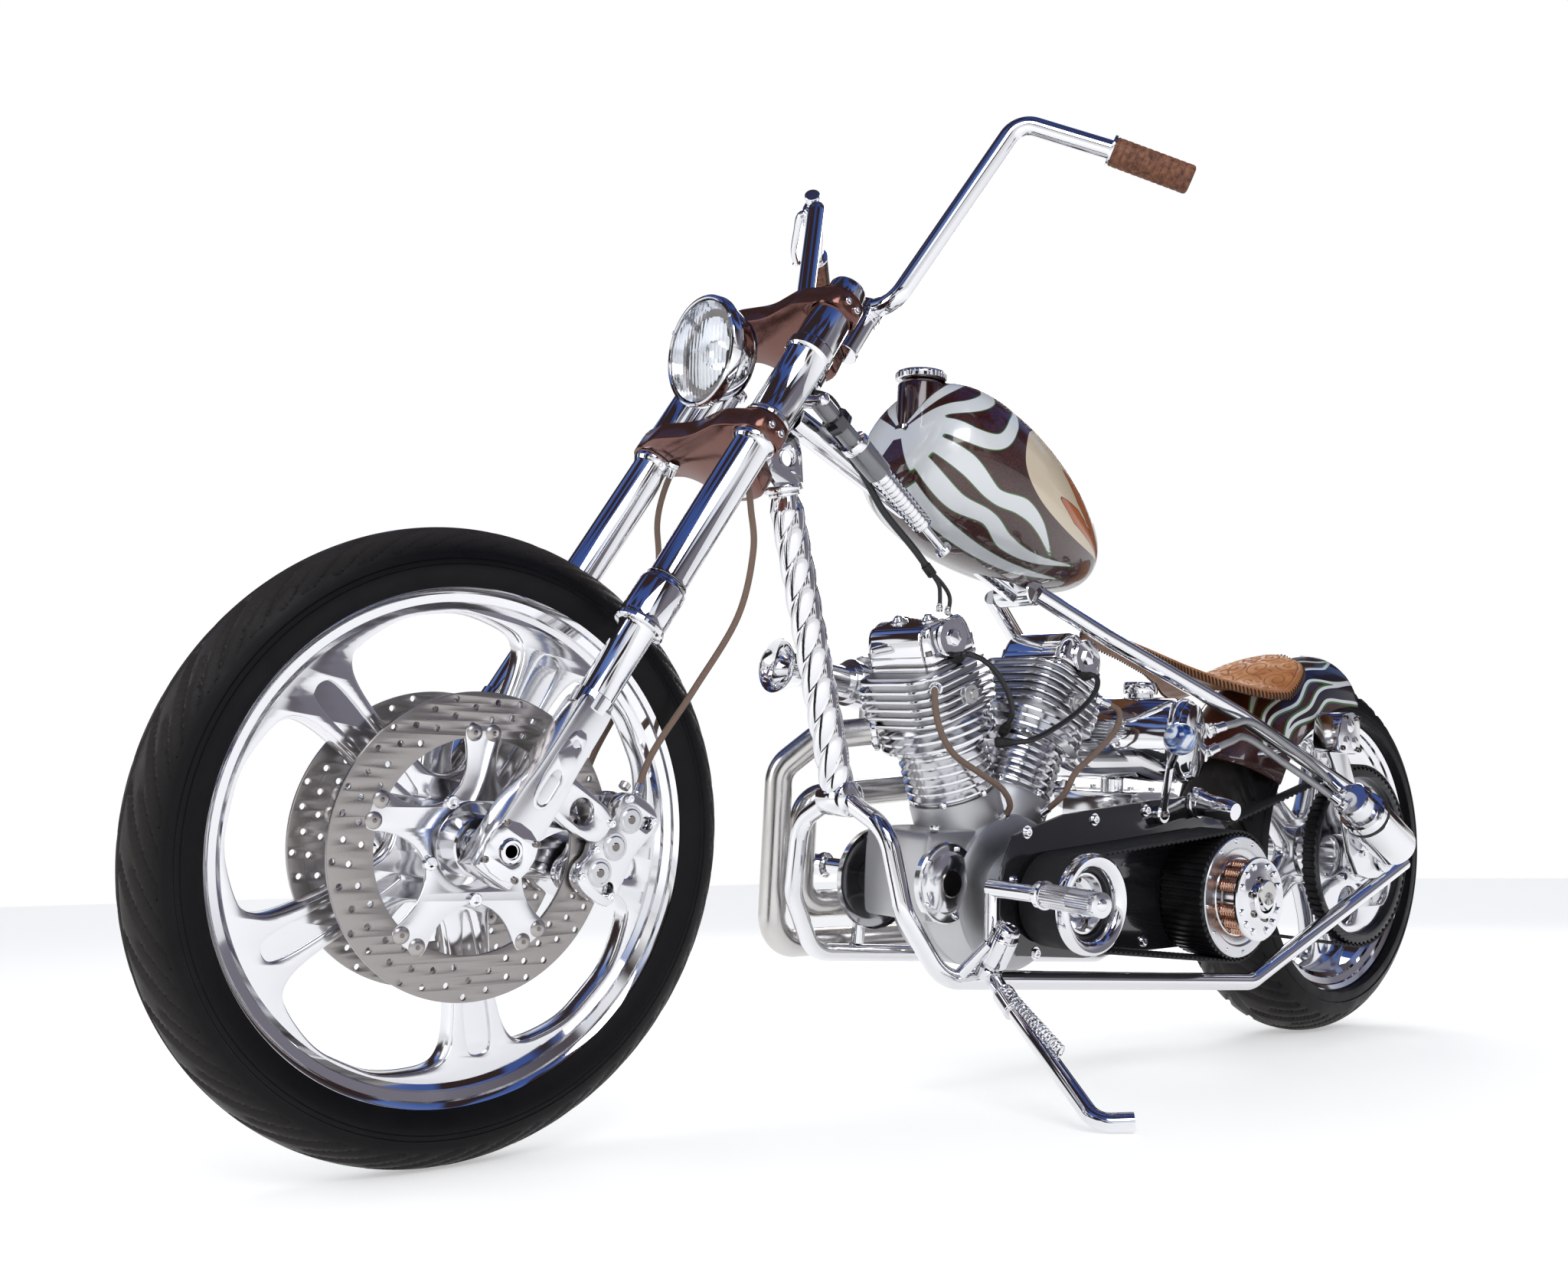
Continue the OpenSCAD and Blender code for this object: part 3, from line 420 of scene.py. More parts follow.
def bolt(r, h, kind="socket"):
    """A screw head standing along +Y from y = 0: a cap with a hexagonal socket, a hexagon or a dome."""
    a = 2 * np.pi * np.arange(24) / 24
    sixth = math.pi / 3
    hexagon = lambda size: size * math.cos(sixth / 2) / np.cos((a + sixth / 2) % sixth - sixth / 2)
    ring = lambda radius, y: np.c_[radius * np.cos(a), np.full(24, y), radius * np.sin(a)]
    if kind == "socket":
        rings = [ring(np.full(24, r), 0), ring(np.full(24, r), h * 0.85), ring(np.full(24, r * 0.86), h),
                 ring(hexagon(r * 0.58), h), ring(hexagon(r * 0.52), h * 0.45)]
    elif kind == "hexagon":
        rings = [ring(np.full(24, r * 1.1), 0), ring(np.full(24, r * 1.1), h * 0.15), ring(hexagon(r),
                h * 0.16), ring(hexagon(r), h * 0.85), ring(np.full(24, r * 0.8), h)]
    else:
        rings = [ring(np.full(24, r * math.cos(t)), h * math.sin(t)) for t in np.linspace(0, 1.45, 6)]
    return skin(rings)

print("helpers ready")

# %% [markdown]
# ## Finishes
# Each finish is one Principled material. What several of them share, such as the
# faint scratches and smears of handled metal, is a node group that is built once
# and given its own scale and strength in each material. Its outputs only vary
# roughness and height: the metal itself stays on the shader's own sockets.

# %% A node group for handled surfaces
def new_group(name, inputs, outputs):
    group = bpy.data.node_groups.new(name, "ShaderNodeTree")
    for label, value in inputs:
        kind = "NodeSocketColor" if isinstance(value, tuple) else "NodeSocketFloat"
        group.interface.new_socket(label, in_out="INPUT", socket_type=kind).default_value = value
    for label, kind in outputs:
        group.interface.new_socket(label, in_out="OUTPUT", socket_type=kind)
    return group, group.nodes.new("NodeGroupInput"), group.nodes.new("NodeGroupOutput")

def node(tree, kind, links=(), **values):
    made = tree.nodes.new("ShaderNode" + kind)
    for key, value in values.items():
        if hasattr(made, key):
            setattr(made, key, value)
        else:
            made.inputs[key.replace("_", " ")].default_value = value
    for name, source in links:
        tree.links.new(source, made.inputs[name])
    return made

handled, given, result = new_group("handled surface", (("Scale", 1.0), ("Roughness", 0.1), ("Smears", 0.05)),
                                   (("Roughness", "NodeSocketFloat"), ("Height", "NodeSocketFloat")))
place = node(handled, "TexCoord")
sized = node(handled, "VectorMath", [(0, place.outputs["Object"])], operation="SCALE")
handled.links.new(given.outputs["Scale"], sized.inputs["Scale"])
smear = node(handled, "TexNoise", [("Vector", sized.outputs[0])], Scale=9.0, Detail=4.0, Roughness=0.6)
grain = node(handled, "TexNoise", [("Vector", sized.outputs[0])], Scale=420.0, Detail=2.0)
spread = node(handled, "MapRange", [("Value", smear.outputs["Fac"])])
spread.inputs["From Min"].default_value, spread.inputs["From Max"].default_value = 0.35, 0.75
amount = node(handled, "Math", [(0, spread.outputs[0]), (1, given.outputs["Smears"])], operation="MULTIPLY")
total = node(handled, "Math", [(0, amount.outputs[0]), (1, given.outputs["Roughness"])], operation="ADD")
wire(handled, (total.outputs[0], result.inputs["Roughness"]), (grain.outputs["Fac"],
        result.inputs["Height"]))

# %% Metals, rubber and lacquer
def main_shader(tree):
    return tree.nodes["Principled BSDF"]

def finish(name, colour, rough, metal=0.0, scale=1.0, smears=0.05, grain=0.0, **sockets):
    made = bpy.data.materials.new(name)
    made.use_nodes = True
    tree = made.node_tree
    body = main_shader(tree)
    body.inputs["Base Color"].default_value = (*colour, 1)
    body.inputs["Metallic"].default_value = metal
    for key, value in sockets.items():
        body.inputs[key.replace("_", " ")].default_value = value
    marks = tree.nodes.new("ShaderNodeGroup")
    marks.node_tree, marks.name = handled, "marks"
    for key, value in (("Scale", scale), ("Roughness", rough), ("Smears", smears)):
        marks.inputs[key].default_value = value
    wire(tree, (marks.outputs["Roughness"], body.inputs["Roughness"]))
    if grain:
        bump = node(tree, "Bump", [("Height", marks.outputs["Height"])], Strength=grain, Distance=0.0004)
        bump.name = "bump"
        wire(tree, (bump.outputs[0], body.inputs["Normal"]))
    return made

print("finish helper ready")

# %% The metals, rubbers and lacquers themselves
chrome = finish("chrome plate", (0.80, 0.80, 0.82), 0.035, 1, 1.0, 0.05)
polished = finish("polished alloy", (0.77, 0.77, 0.79), 0.10, 1, 1.4, 0.10)
machined = finish("machined alloy", (0.66, 0.66, 0.68), 0.24, 1, 2.0, 0.10, 0.15)
cast = finish("vapour-blasted alloy", (0.52, 0.52, 0.53), 0.38, 1, 3.0, 0.10, 0.5)
brushed = finish("brushed steel", (0.60, 0.59, 0.57), 0.25, 1, 2.0, 0.12, 0.2, Anisotropic=0.5)
dark_chrome = finish("smoked chrome", (0.20, 0.18, 0.17), 0.10, 1, 1.0, 0.10)
bronze_plate = finish("dark polished plate", (0.17, 0.075, 0.06), 0.12, 0.8, 1.0, 0.1)
copper = finish("copper wire", (0.72, 0.38, 0.24), 0.22, 1, 2.0, 0.1)
black_enamel = finish("black enamel", (0.012, 0.012, 0.014), 0.12, 0, 1.0, 0.1, 0, Coat_Weight=0.8,
                      Coat_Roughness=0.05)
black_rubber = finish("black rubber", (0.018, 0.018, 0.018), 0.5, 0, 3.0, 0.2, 0.3, Specular_IOR_Level=0.35)
belt_rubber = finish("belt rubber", (0.020, 0.020, 0.021), 0.62, 0, 4.0, 0.2, 0.5, Specular_IOR_Level=0.3)
cable_cover = finish("cable cover", (0.013, 0.013, 0.014), 0.38, 0, 3.0, 0.15, 0.1)
rivet_steel = finish("rivet steel", (0.45, 0.42, 0.41), 0.30, 1, 2.0, 0.1, 0.2)
maroon = finish("maroon lacquer", (0.028, 0.004, 0.004), 0.16, 0.2, 1.0, 0.08, 0, Coat_Weight=1.0,
                Coat_Roughness=0.03)
print("finishes so far:", len(bpy.data.materials))

# %% [markdown]
# ## Ground brake steel and tyre rubber
# A brake disc is ground in circles, and pads then wear it along the same
# circles. Distance from the wheel's axle gives rings of exactly that kind. The
# tyre is matt and slightly dusty on its tread, and darker nearer the rim.

# %% Brake disc steel
def around(tree, centre):
    """Distance from a line through centre that runs along the wheel's axle."""
    place = node(tree, "NewGeometry")
    offset = node(tree, "VectorMath", [(0, place.outputs["Position"])], operation="SUBTRACT")
    offset.inputs[1].default_value = centre
    axle = (BIKE.to_3x3() @ Vector((0, 1, 0))).normalized()
    across = node(tree, "VectorMath", [(0, offset.outputs[0])], operation="CROSS_PRODUCT")
    across.inputs[1].default_value = axle
    return node(tree, "VectorMath", [(0, across.outputs[0])], operation="LENGTH").outputs["Value"]

disc_steel = finish("ground disc steel", (0.36, 0.335, 0.325), 0.30, 1, 3.0, 0.1, 0.2)
tree = disc_steel.node_tree
rings = node(tree, "TexNoise", [("W", around(tree, FRONT.translation))], noise_dimensions="1D", Scale=900.0,
             Detail=3.0)
worn = node(tree, "MapRange", [("Value", rings.outputs["Fac"])])
worn.inputs["To Min"].default_value, worn.inputs["To Max"].default_value = 0.22, 0.42
wire(tree, (worn.outputs[0], main_shader(tree).inputs["Roughness"]))

# %% Tyre rubber
def tyre_rubber(name, centre, crown):
    made = finish(name, (0.004, 0.004, 0.0045), 0.36, 0, 3.0, 0.2, 0.4, Specular_IOR_Level=0.16)
    tree = made.node_tree
    tread = node(tree, "MapRange", [("Value", around(tree, centre))])
    tread.inputs["From Min"].default_value = crown - 0.030
    tread.inputs["From Max"].default_value = crown - 0.008
    dust = node(tree, "ValToRGB", [("Fac", tread.outputs[0])])
    dust.color_ramp.elements[0].color = (0.0032, 0.0032, 0.0040, 1)
    dust.color_ramp.elements[1].color = (0.030, 0.026, 0.024, 1)
    wire(tree, (dust.outputs[0], main_shader(tree).inputs["Base Color"]))
    return made
front_rubber = tyre_rubber("front tyre rubber", FRONT.translation, 0.347)
rear_rubber = tyre_rubber("rear tyre rubber", REAR.translation, 0.323)
print("disc and tyre finishes ready")

# %% [markdown]
# ## Tyres
# A treaded tyre is lathe work with grooves. The skin is made fine enough along
# its crown for every slanted groove to be real, so the tread shows on the
# silhouette too, and the sidewall keeps its rim guard and a fine moulded rib.

# %% Tyres with cut grooves
def tyre(name, body, where, profile_of, count, finish, node_name, rib_at):
    across = np.r_[np.linspace(-1, -0.55, 9)[:-1], np.linspace(-0.55, 0.55, 45), np.linspace(0.55, 1, 9)[1:]]
    steps = count * 20
    angles = 2 * np.pi * np.arange(steps) / steps
    rings = []
    for v in across:
        r, y = profile_of(v)
        phase = (angles * count / (2 * np.pi) + abs(v) * 3.4 + (0.5 if v > 0 else 0)) % 1
        deep = np.clip((0.13 - np.abs(phase - 0.5)) / 0.05, 0, 1) * (0.06 < abs(v) < 0.5)
        second = np.clip((0.07 - np.abs((phase + 0.45) % 1 - 0.5)) / 0.05, 0, 1) * (0.24 < abs(v) < 0.5)
        middle = max(0, 1 - abs(abs(v) - 0.03) / 0.012)
        radius = r - 4.2 * np.maximum(np.maximum(deep, second), middle * 0.8)
        rings.append(np.c_[radius * np.cos(angles), np.full(steps, y), radius * np.sin(angles)])
    piece = Piece(name, body, where, "tyre")
    piece.add(skin(rings, capped=False), finish)
    inner = [profile_of(-1), (profile_of(-1)[0] - 3, profile_of(-1)[1] * 0.9), (profile_of(1)[0] - 3,
            profile_of(1)[1] * 0.9), profile_of(1)]
    piece.add(turned(inner, 96), finish)
    for side in (-1, 1):
        for r, y in rib_at:
            piece.add(turned([(r - 1.2, side * (y - 0.6)), (r, side * (y + 1.0)),
                    (r + 1.2, side * (y - 0.6))], 144), finish)
    return piece.make(replaces=[node_name], sharp=50)

def front_section(v):
    angle = math.radians(v * 124)
    return max(300 + 46.5 * math.cos(angle), 281.6 if abs(v) > 0.97 else 0), 46.5 * math.sin(angle) * (1
            if abs(v) < 0.72 else 1 - (abs(v) - 0.72) * 0.42)
tyre("front_tyre_treaded", "front_wheel", FRONT, front_section, 30, front_rubber, "front_tyre", [(309, 45.6),
        (303, 46.2)])

def rear_section(v):
    angle = math.radians(v * 118)
    r, y = 243 + 79.5 * math.cos(angle), 87.5 * math.sin(angle)
    return max(r, 244), y if abs(v) < 0.75 else y * (1 - (abs(v) - 0.75) * 0.42)
tyre("rear_tyre_treaded", "rear_wheel", REAR, rear_section, 26, rear_rubber, "rear_tyre", [(262, 85.5)])
print("tyres ready")

# %% [markdown]
# ## Wheels
# Each wheel is one casting: a stepped rim, five spokes that flare into it, and a
# hub. The gap between two spokes is an outline cut from a disc, softened as a
# casting is. A shallow pocket along each spoke catches the light as on the real
# thing, and the machined lip is brighter than the rest.

# %% Cast wheels
SPOKES = ((0.3, 60), (0.42, 54), (0.6, 50), (0.8, 62), (0.9, 84), (0.945, 124))
def spoke_window(r, rows, grow=0):
    half, points = 36, []
    for share, width in rows:
        angle = math.radians(half) - math.asin((width + grow) / 2 / (share * r))
        points.append((share * r * math.cos(angle), share * r * math.sin(angle)))
    return eased(points + [(0.972 * r, points[-1][1] * 0.45), (0.976 * r, 0), (0.972 * r,
            -points[-1][1] * 0.45)] + [(x, -z) for x, z in points[::-1]], 3)

def pocket(inner, outer, narrow, wide):
    return eased([(inner, -narrow), (outer - 12, -wide), (outer, 0), (outer - 12, wide), (inner, narrow),
                  (inner - 6, 0)], 3)

def wheel(name, body, where, lip_r, lip_y, bed_r, web_r, turn_by, hub_r, hub_y, nodes):
    piece = Piece(name, body, where, "polished_alloy")
    windows = [spun(spoke_window(web_r, SPOKES), i * 72) for i in range(5)]
    spin = turn(turn_by, "Y")
    piece.add(cut(circle(web_r + 3, count=120), -13, 13, [*windows, circle(13)], 3.5), polished, spin)
    for side in (-1, 1):
        wider = [spun(spoke_window(web_r, SPOKES, -7), i * 72) for i in range(5)]
        grooves = [spun(pocket(hub_r + 34, web_r * 0.92, 5, 19), i * 72 + 36) for i in range(5)]
        piece.add(cut(circle(web_r + 1, count=120), side * 12.5, side * 16.5, [*wider, *grooves, circle(13)],
                      1.6), polished, spin)
    step = lip_r - web_r
    section = [(lip_r, lip_y), (lip_r, lip_y - 5), (bed_r, lip_y - 5.5), (bed_r, 5.5 - lip_y),
               (lip_r, 5 - lip_y), (lip_r, -lip_y), (lip_r - 2.5, -lip_y - 0.1), (lip_r - 5, 1.5 - lip_y),
               (lip_r - step * 0.35, 4 - lip_y), (lip_r - step * 0.40, 8 - lip_y), (lip_r - step * 0.78,
            11 - lip_y), (lip_r - step * 0.84, 15 - lip_y), (web_r - 2.5, 20 - lip_y), (web_r - 3.5, 0),
               (web_r - 2.5, lip_y - 20), (lip_r - step * 0.84, lip_y - 15), (lip_r - step * 0.78,
            lip_y - 11), (lip_r - step * 0.40, lip_y - 8), (lip_r - step * 0.35, lip_y - 4), (lip_r - 5,
            lip_y - 1.5), (lip_r - 2.5, lip_y + 0.1)]
    piece.add(turned(section, 192, closed=True), chrome)
    hub = [(12.5, -hub_y[0]), (hub_r - 14, -hub_y[0]), (hub_r - 12, 2 - hub_y[0]), (hub_r - 10, -30),
           (hub_r, -22), (hub_r, 22), (hub_r - 10, 30), (hub_r - 12, hub_y[1] - 2), (hub_r - 14, hub_y[1]),
           (12.5, hub_y[1])]
    piece.add(turned(hub, 72, closed=True), polished)
    return piece.make(replaces=nodes, sharp=30)

# %% Both wheels
wheel("front_wheel_casting", "front_wheel", FRONT, 281, 36, 273, 258, -8, 45, (70, 70), ["front_rim",
        "front_spokes"])
wheel("rear_wheel_casting", "rear_wheel", REAR, 243, 71, 235, 216, 0, 49, (90, 90), ["rear_rim",
        "rear_spokes"])
print("wheels ready")

# %% [markdown]
# ## Front brake discs
# A floating disc is a drilled steel ring that hangs from an alloy carrier by
# rivet buttons, two at the end of each arm. The holes run in short slanted rows,
# so that every part of the pad is swept.

# %% Drilled discs on their carriers
def arm_outline():
    one = [(50, -34), (64, -23), (84, -17), (104, -18), (118, -22), (127, -21), (128, -8)]
    one += [(x, -z) for x, z in one[::-1]]
    return eased(np.vstack([spun(one, i * 72 + 18) for i in range(5)]), 3)

def front_disc(side):
    y = side * 54
    piece = Piece("front_disc_" + ("left" if side > 0 else "right"), "front_wheel", FRONT, "disc_steel")
    holes = []
    for i in range(39):
        rows = ((128.5, 148), (135, 154.5), (141.5, 159))[i % 3]
        holes += [spun(circle(3.5, r, 0, 12), i * 360 / 39 + (r - 120) * 0.1) for r in rows]
    piece.add(cut(circle(165, count=144), y - 2.5, y + 2.5, [circle(116, count=120), *holes], 0.5),
              disc_steel)
    piece.add(cut(arm_outline(), y - 3.2, y + 3.2, [circle(46.3, count=64)], 1.4), polished)
    for i in range(5):
        for offset in (-5.3, 5.3):
            angle = math.radians(i * 72 + 18 + offset)
            for face in (-1, 1):
                at = (121 * math.cos(angle), y, 121 * math.sin(angle))
                piece.add(turned([(0.01, 6.0), (4.5, 6.0), (7.5, 5.2), (9.4, 3.2), (9.4, 0)], 24),
                        rivet_steel, along(at, (at[0], y + face, at[2])))
                piece.add(turned([(0.01, 6.8), (2.4, 6.6), (2.8, 5.0)], 16), dark_chrome,
                        along(at, (at[0], y + face, at[2])))
        angle = math.radians(i * 72 + 54)
        piece.add(bolt(7.5, 7), chrome, shift(57 * math.cos(angle), y + side * 2.5, 57 * math.sin(angle))
                  @ facing(side))
    return piece
left = front_disc(1).make(replaces=["front_discs"], sharp=40)
right = front_disc(-1).make(sharp=40)
print("discs ready:", len(left.data.polygons), "faces each")

# %% [markdown]
# ## Fork
# The fork is lathe work from end to end: cast lowers with a bright lip, a plain
# slider, and chrome covers with a turned step where they enter the clamps. Its
# two clamps are flat plates with rounded noses that hold the legs by pinch
# screws. The axle caps are squared blocks with a round cap let into them.

# %% Fork legs
LEG_Y, TREES = 107, ((576, 604), (786, 814))
def leg(side):
    piece = Piece("fork_leg_" + ("left" if side > 0 else "right"), "fork", FORK, "chrome")
    y = side * LEG_Y
    profile = [(0.01, 180), (19.5, 180), (21.5, 182), (21.5, 286), (24, 290), (29.5, 290.5), (31, 292),
               (31, 295.5), (29.5, 297), (28.6, 300), (29, 304), (29, 346), (28.2, 350), (25.5, 353),
               (24.4, 356), (24, 362), (24, 562), (25.5, 566), (27, 568), (28, 572), (28, 576), (28, 604),
               (29.8, 606), (30, 609), (28.4, 611), (27, 616), (27, 712), (29, 715), (31, 717), (31, 729),
               (29.6, 731), (28, 733), (28, 812), (27, 814), (25, 816), (25, 834), (23.5, 837.5), (18, 838),
               (16.5, 836.5), (0.01, 836)]
    piece.add(turned(profile, 72), chrome, along((0, y, 0), (0, y, 1)))
    for t in (298.5, 358, 613):
        piece.add(turned([(25, t - 1), (29.3 if t < 300 else 25.6 if t < 400 else 28.4, t), (25, t + 1)],
                72), dark_chrome, along((0, y, 0), (0, y, 1)))
    piece.add(bolt(12, 5, "hexagon"), chrome, along((0, y, 836), (0, y, 837)))
    return piece
leg(1).make(replaces=["fork_legs"], sharp=34)
leg(-1).make(sharp=34)
print("fork legs ready, at", LEG_Y, "mm from the middle")

# %% Fork feet
def carrier(side):
    """The block at the foot of a leg: it takes the axle and carries the caliper."""
    piece = Piece("fork_carrier_" + ("left" if side > 0 else "right"), "fork", FORK, "chrome")
    y = side * LEG_Y
    outline = eased([(-24, -34), (24, -34), (26, -30), (26, 60), (22, 90), (22, 180), (18, 190), (-18, 190),
                     (-22, 180), (-22, 96), (-26, 88), (-26, -30)], 2)
    slot = eased([(-6, 44), (6, 44), (7, 60), (6, 86), (-6, 86), (-7, 60)], 3)
    piece.add(cut(outline, y - 22, y + 22, [circle(8, 0, 0, 32)], 4), polished)
    piece.add(cut(eased([(-15, 52), (15, 52), (15, 150), (-15, 150)], 2), y + side * 20, y + side * 23.4,
                  [slot + (0, 14), circle(4.5, 0, 134, 24)], 1.2), polished)
    boss = eased([(-29, -30), (29, -30), (29, 30), (-29, 30)], 2)
    piece.add(cut(boss, y + side * 20, y + side * 25.4, [circle(13.5, 0, 0, 40)], 1.5), chrome)
    piece.add(turned([(12.6, 24), (12.6, 27), (11.4, 28.4), (8.6, 28.4), (8.0, 27), (8.0, 12)], 48), chrome,
              shift(0, y, 0) @ facing(side))
    for z in (-22, 22):
        for x in (-21, 21):
            piece.add(bolt(3.6, 2.6), dark_chrome, shift(x, y + side * 25.4, z) @ facing(side))
    piece.add(stepped((0, y, 176), (0, y, 196), [(0, 24), (20, 24)]), chrome)
    return piece.make(sharp=36)
carrier(1)
carrier(-1)
print("fork feet ready")

# %% Clamps
def clamp(name, low, high, replaces=()):
    piece = Piece(name, "fork", FORK, "tree_metal")
    nose = eased([(-94, -34), (-94, 34), (-62, 50), (-36, 70), (-30, 100), (-28, 126), (-14, 137), (14, 137),
                  (28, 126), (31, 104), (40, 70), (36, 40), (30, 0), (36, -40), (40, -70), (31, -104),
                  (28, -126), (14, -137), (-14, -137), (-28, -126), (-30, -100), (-36, -70), (-62, -50)], 3)
    holes = [circle(28.3, 0, s * LEG_Y, 64) for s in (-1, 1)]
    verts, faces = cut(nose, low, high, holes, 3)
    turned_up = [(x, z, y) for x, y, z in verts]
    piece.add((turned_up, [f[::-1] for f in faces]), bronze_plate)
    for s in (-1, 1):
        for x in (-14, 14):
            piece.add(bolt(5, 4), chrome, along((x * 0.6, s * 136.5, (low + high) / 2), (x * 0.6, s * 137.5,
                    (low + high) / 2)))
    piece.add(turned([(17.7, low - 3), (24, low - 3), (25, low - 2), (25, low), (17.7, low)], 48,
                     closed=True), chrome, along((-60, 0, 0), (-60, 0, 1)))
    return piece.make(replaces=replaces, sharp=32)

clamp("lower_clamp", *TREES[0], ["triple_trees"])
clamp("upper_clamp", *TREES[1])
print("clamps ready")

# %% Steering stem and front axle
stem = Piece("steering_stem", "fork", FORK, "chrome")
stem.add(turned([(0.01, 574), (17.7, 574), (17.7, 822), (0.01, 822)], 48), chrome, along((-60, 0, 0),
        (-60, 0, 1)))
stem.add(bolt(24, 18, "hexagon"), chrome, along((-60, 0, 814.2), (-60, 0, 815)))
stem.add(turned([(0.01, 832), (14, 832), (14, 836), (11, 840), (0.01, 842)], 40), chrome, along((-60, 0, 0),
        (-60, 0, 1)))
stem.make(sharp=34)
axle = Piece("front_axle_bar", "fork", FRONT, "chrome")
axle.add(turned([(7, -133), (10.5, -133), (12, -131.5), (12, 131.5), (10.5, 133), (7, 133)], 48,
                closed=True), chrome)
for s in (-1, 1):
    axle.add(turned([(12.2, s * 71), (19, s * 71), (20, s * 72), (20, s * 84), (12.2, s * 84)], 48,
                    closed=True), chrome)
axle.make(replaces=["front_axle"], sharp=34)
print("stem and axle ready")

# %% [markdown]
# ## Front calipers
# Each caliper is machined from two slabs of alloy, bolted together across the
# disc. Its waist is scalloped between the four piston bores, and a bolted arm
# ties it to the carrier.

# %% Front calipers
def caliper(side):
    piece = Piece("front_caliper_" + ("left" if side > 0 else "right"), "fork", FORK, "polished_alloy")
    flip = facing(side)
    body = eased([(-168, 30), (-160, 22), (-132, 20), (-112, 26), (-106, 44), (-112, 60), (-106, 76),
                  (-106, 94), (-112, 110), (-106, 126), (-110, 144), (-130, 150), (-156, 148), (-168, 138),
                  (-166, 112), (-160, 86), (-166, 58)], 2)
    for y1, y2 in ((23, 44.5), (63.5, 85)):
        piece.add(cut(body, side * y1, side * y2, [circle(6.5, -152, 42, 24), circle(6.5, -152, 128, 24)]
                      if y2 == 85 else [], 3.4), polished)
    piece.add(cut(eased([(-168, 34), (-152, 24), (-152, 146), (-168, 134)], 1), side * 43, side * 65, [],
                  1.5), polished)
    for z in (50, 84, 120):
        piece.add(turned([(0.01, 0.8), (11, 0.8), (12.6, -0.4), (15.4, -0.4), (16.2, -1.6)], 40), machined,
                  shift(-132, side * 86.2, z) @ flip)
        piece.add(turned([(0.01, 1.2), (4, 1.2), (5, 0.4)], 24), dark_chrome, shift(-132, side * 86.6, z)
                  @ flip)
    for x, z in ((-158, 36), (-114, 34), (-112, 68), (-112, 102), (-116, 138), (-158, 134)):
        piece.add(bolt(4.6, 4.6), chrome, shift(x, side * 85, z) @ flip)
    arm = eased([(-114, 72), (-70, 66), (-26, 70), (-16, 84), (-16, 104), (-26, 118), (-70, 116),
                 (-114, 112)], 2)
    piece.add(cut(arm, side * 75, side * 87, [circle(15, -72, 92, 32)], 2.4), polished)
    for x, z in ((-30, 82), (-30, 104)):
        piece.add(bolt(6, 6, "hexagon"), chrome, shift(x, side * 87, z) @ flip)
    piece.add(stepped((-120, side * 54, 152), (-120, side * 54, 166), [(0, 6.5), (8, 5)], 24), brushed)
    return piece
caliper(1).make(replaces=["front_calipers"], sharp=34)
caliper(-1).make(sharp=34)
print("calipers ready")

# %% [markdown]
# ## Headlight
# The lamp is a spun bucket with a chrome ring. Behind the fluted glass there is a
# dished mirror with a bulb shield, because the glass shows them.

# %% Headlight
clear_glass = finish("fluted lamp glass", (0.95, 0.97, 1.0), 0.02, 0, 1.0, 0.01, 0, Transmission_Weight=1.0,
                     IOR=1.46)
LAMP = BIKE @ shift(1405, 0, 962) @ turn(-90, "Z")
lamp = Piece("headlight_shell", "fork", LAMP, "chrome")
shell = [(0.01, -64), (30, -63), (42, -60), (50, -52), (58, -40), (64, -28), (67.5, -18), (68, -16),
         (70, -15.4), (72, -13), (72, -3), (70.6, -0.6), (68, 0.4), (66.4, -0.4), (66, -2), (66, -5)]
lamp.add(turned(shell, 96), chrome)
for y in (-52, -17):
    lamp.add(turned([(46, y - 1), (52.5 if y < -40 else 69, y), (46, y + 1)], 72), dark_chrome)
lamp.add(turned([(10, -44), (30, -38), (48, -26), (60, -12), (65.8, -3)], 72), chrome)
lamp.add(turned([(0.01, -16), (10, -17), (16, -22), (17, -30), (15, -34)], 40), polished)
for i in range(3):
    a = math.radians(i * 120 + 30)
    lamp.add(bolt(3, 3), chrome, shift(68.5 * math.cos(a), -1.5, 68.5 * math.sin(a)))
lamp.make(replaces=["headlight"], sharp=36)
print("headlight shell ready")

# %% Lamp stalk and fluted glass
stalk = Piece("headlight_stalk", "fork", FORK, "chrome")
stalk.add(stepped((5, 0, 604), (5, 0, 677), [(0, 16), (6, 11), (14, 9), (60, 11), (66, 15), (73, 15)]),
          chrome)
stalk.make(sharp=34)

def lens():
    radii, steps, rings = np.linspace(0.4, 65.6, 26), 144, []
    angles = 2 * np.pi * np.arange(steps) / steps
    for r in radii:
        x, z = r * np.cos(angles), r * np.sin(angles)
        dome = 5.2 * (1 - (r / 65.6) ** 2)
        flutes = 0.55 * np.abs(np.sin(np.pi * x / 7.3)) * min(1, (65.6 - r) / 6)
        bands = 0.35 * np.abs(np.sin(np.pi * z / 26)) * min(1, (65.6 - r) / 6)
        rings.append(np.c_[x, np.full(steps, dome) - flutes - bands - 1.6, z])
    back = [np.c_[r * np.cos(angles), np.full(steps, 3.2 * (1 - (r / 65.6) ** 2) - 5.0),
                  r * np.sin(angles)] for r in (65.6, 40, 15, 0.4)]
    piece = Piece("headlight_glass", "fork", LAMP, "lens")
    piece.add(skin(rings + back, capped=True), clear_glass)
    return piece.make(replaces=["headlight_lens"], sharp=60)
lens()
print("headlight ready")

# %% [markdown]
# ## Handlebar, grips and levers
# The bar is one tube with five bends, clamped in two risers. The grips are
# wrapped in brown leather, and a lace crosses along the seam of each.

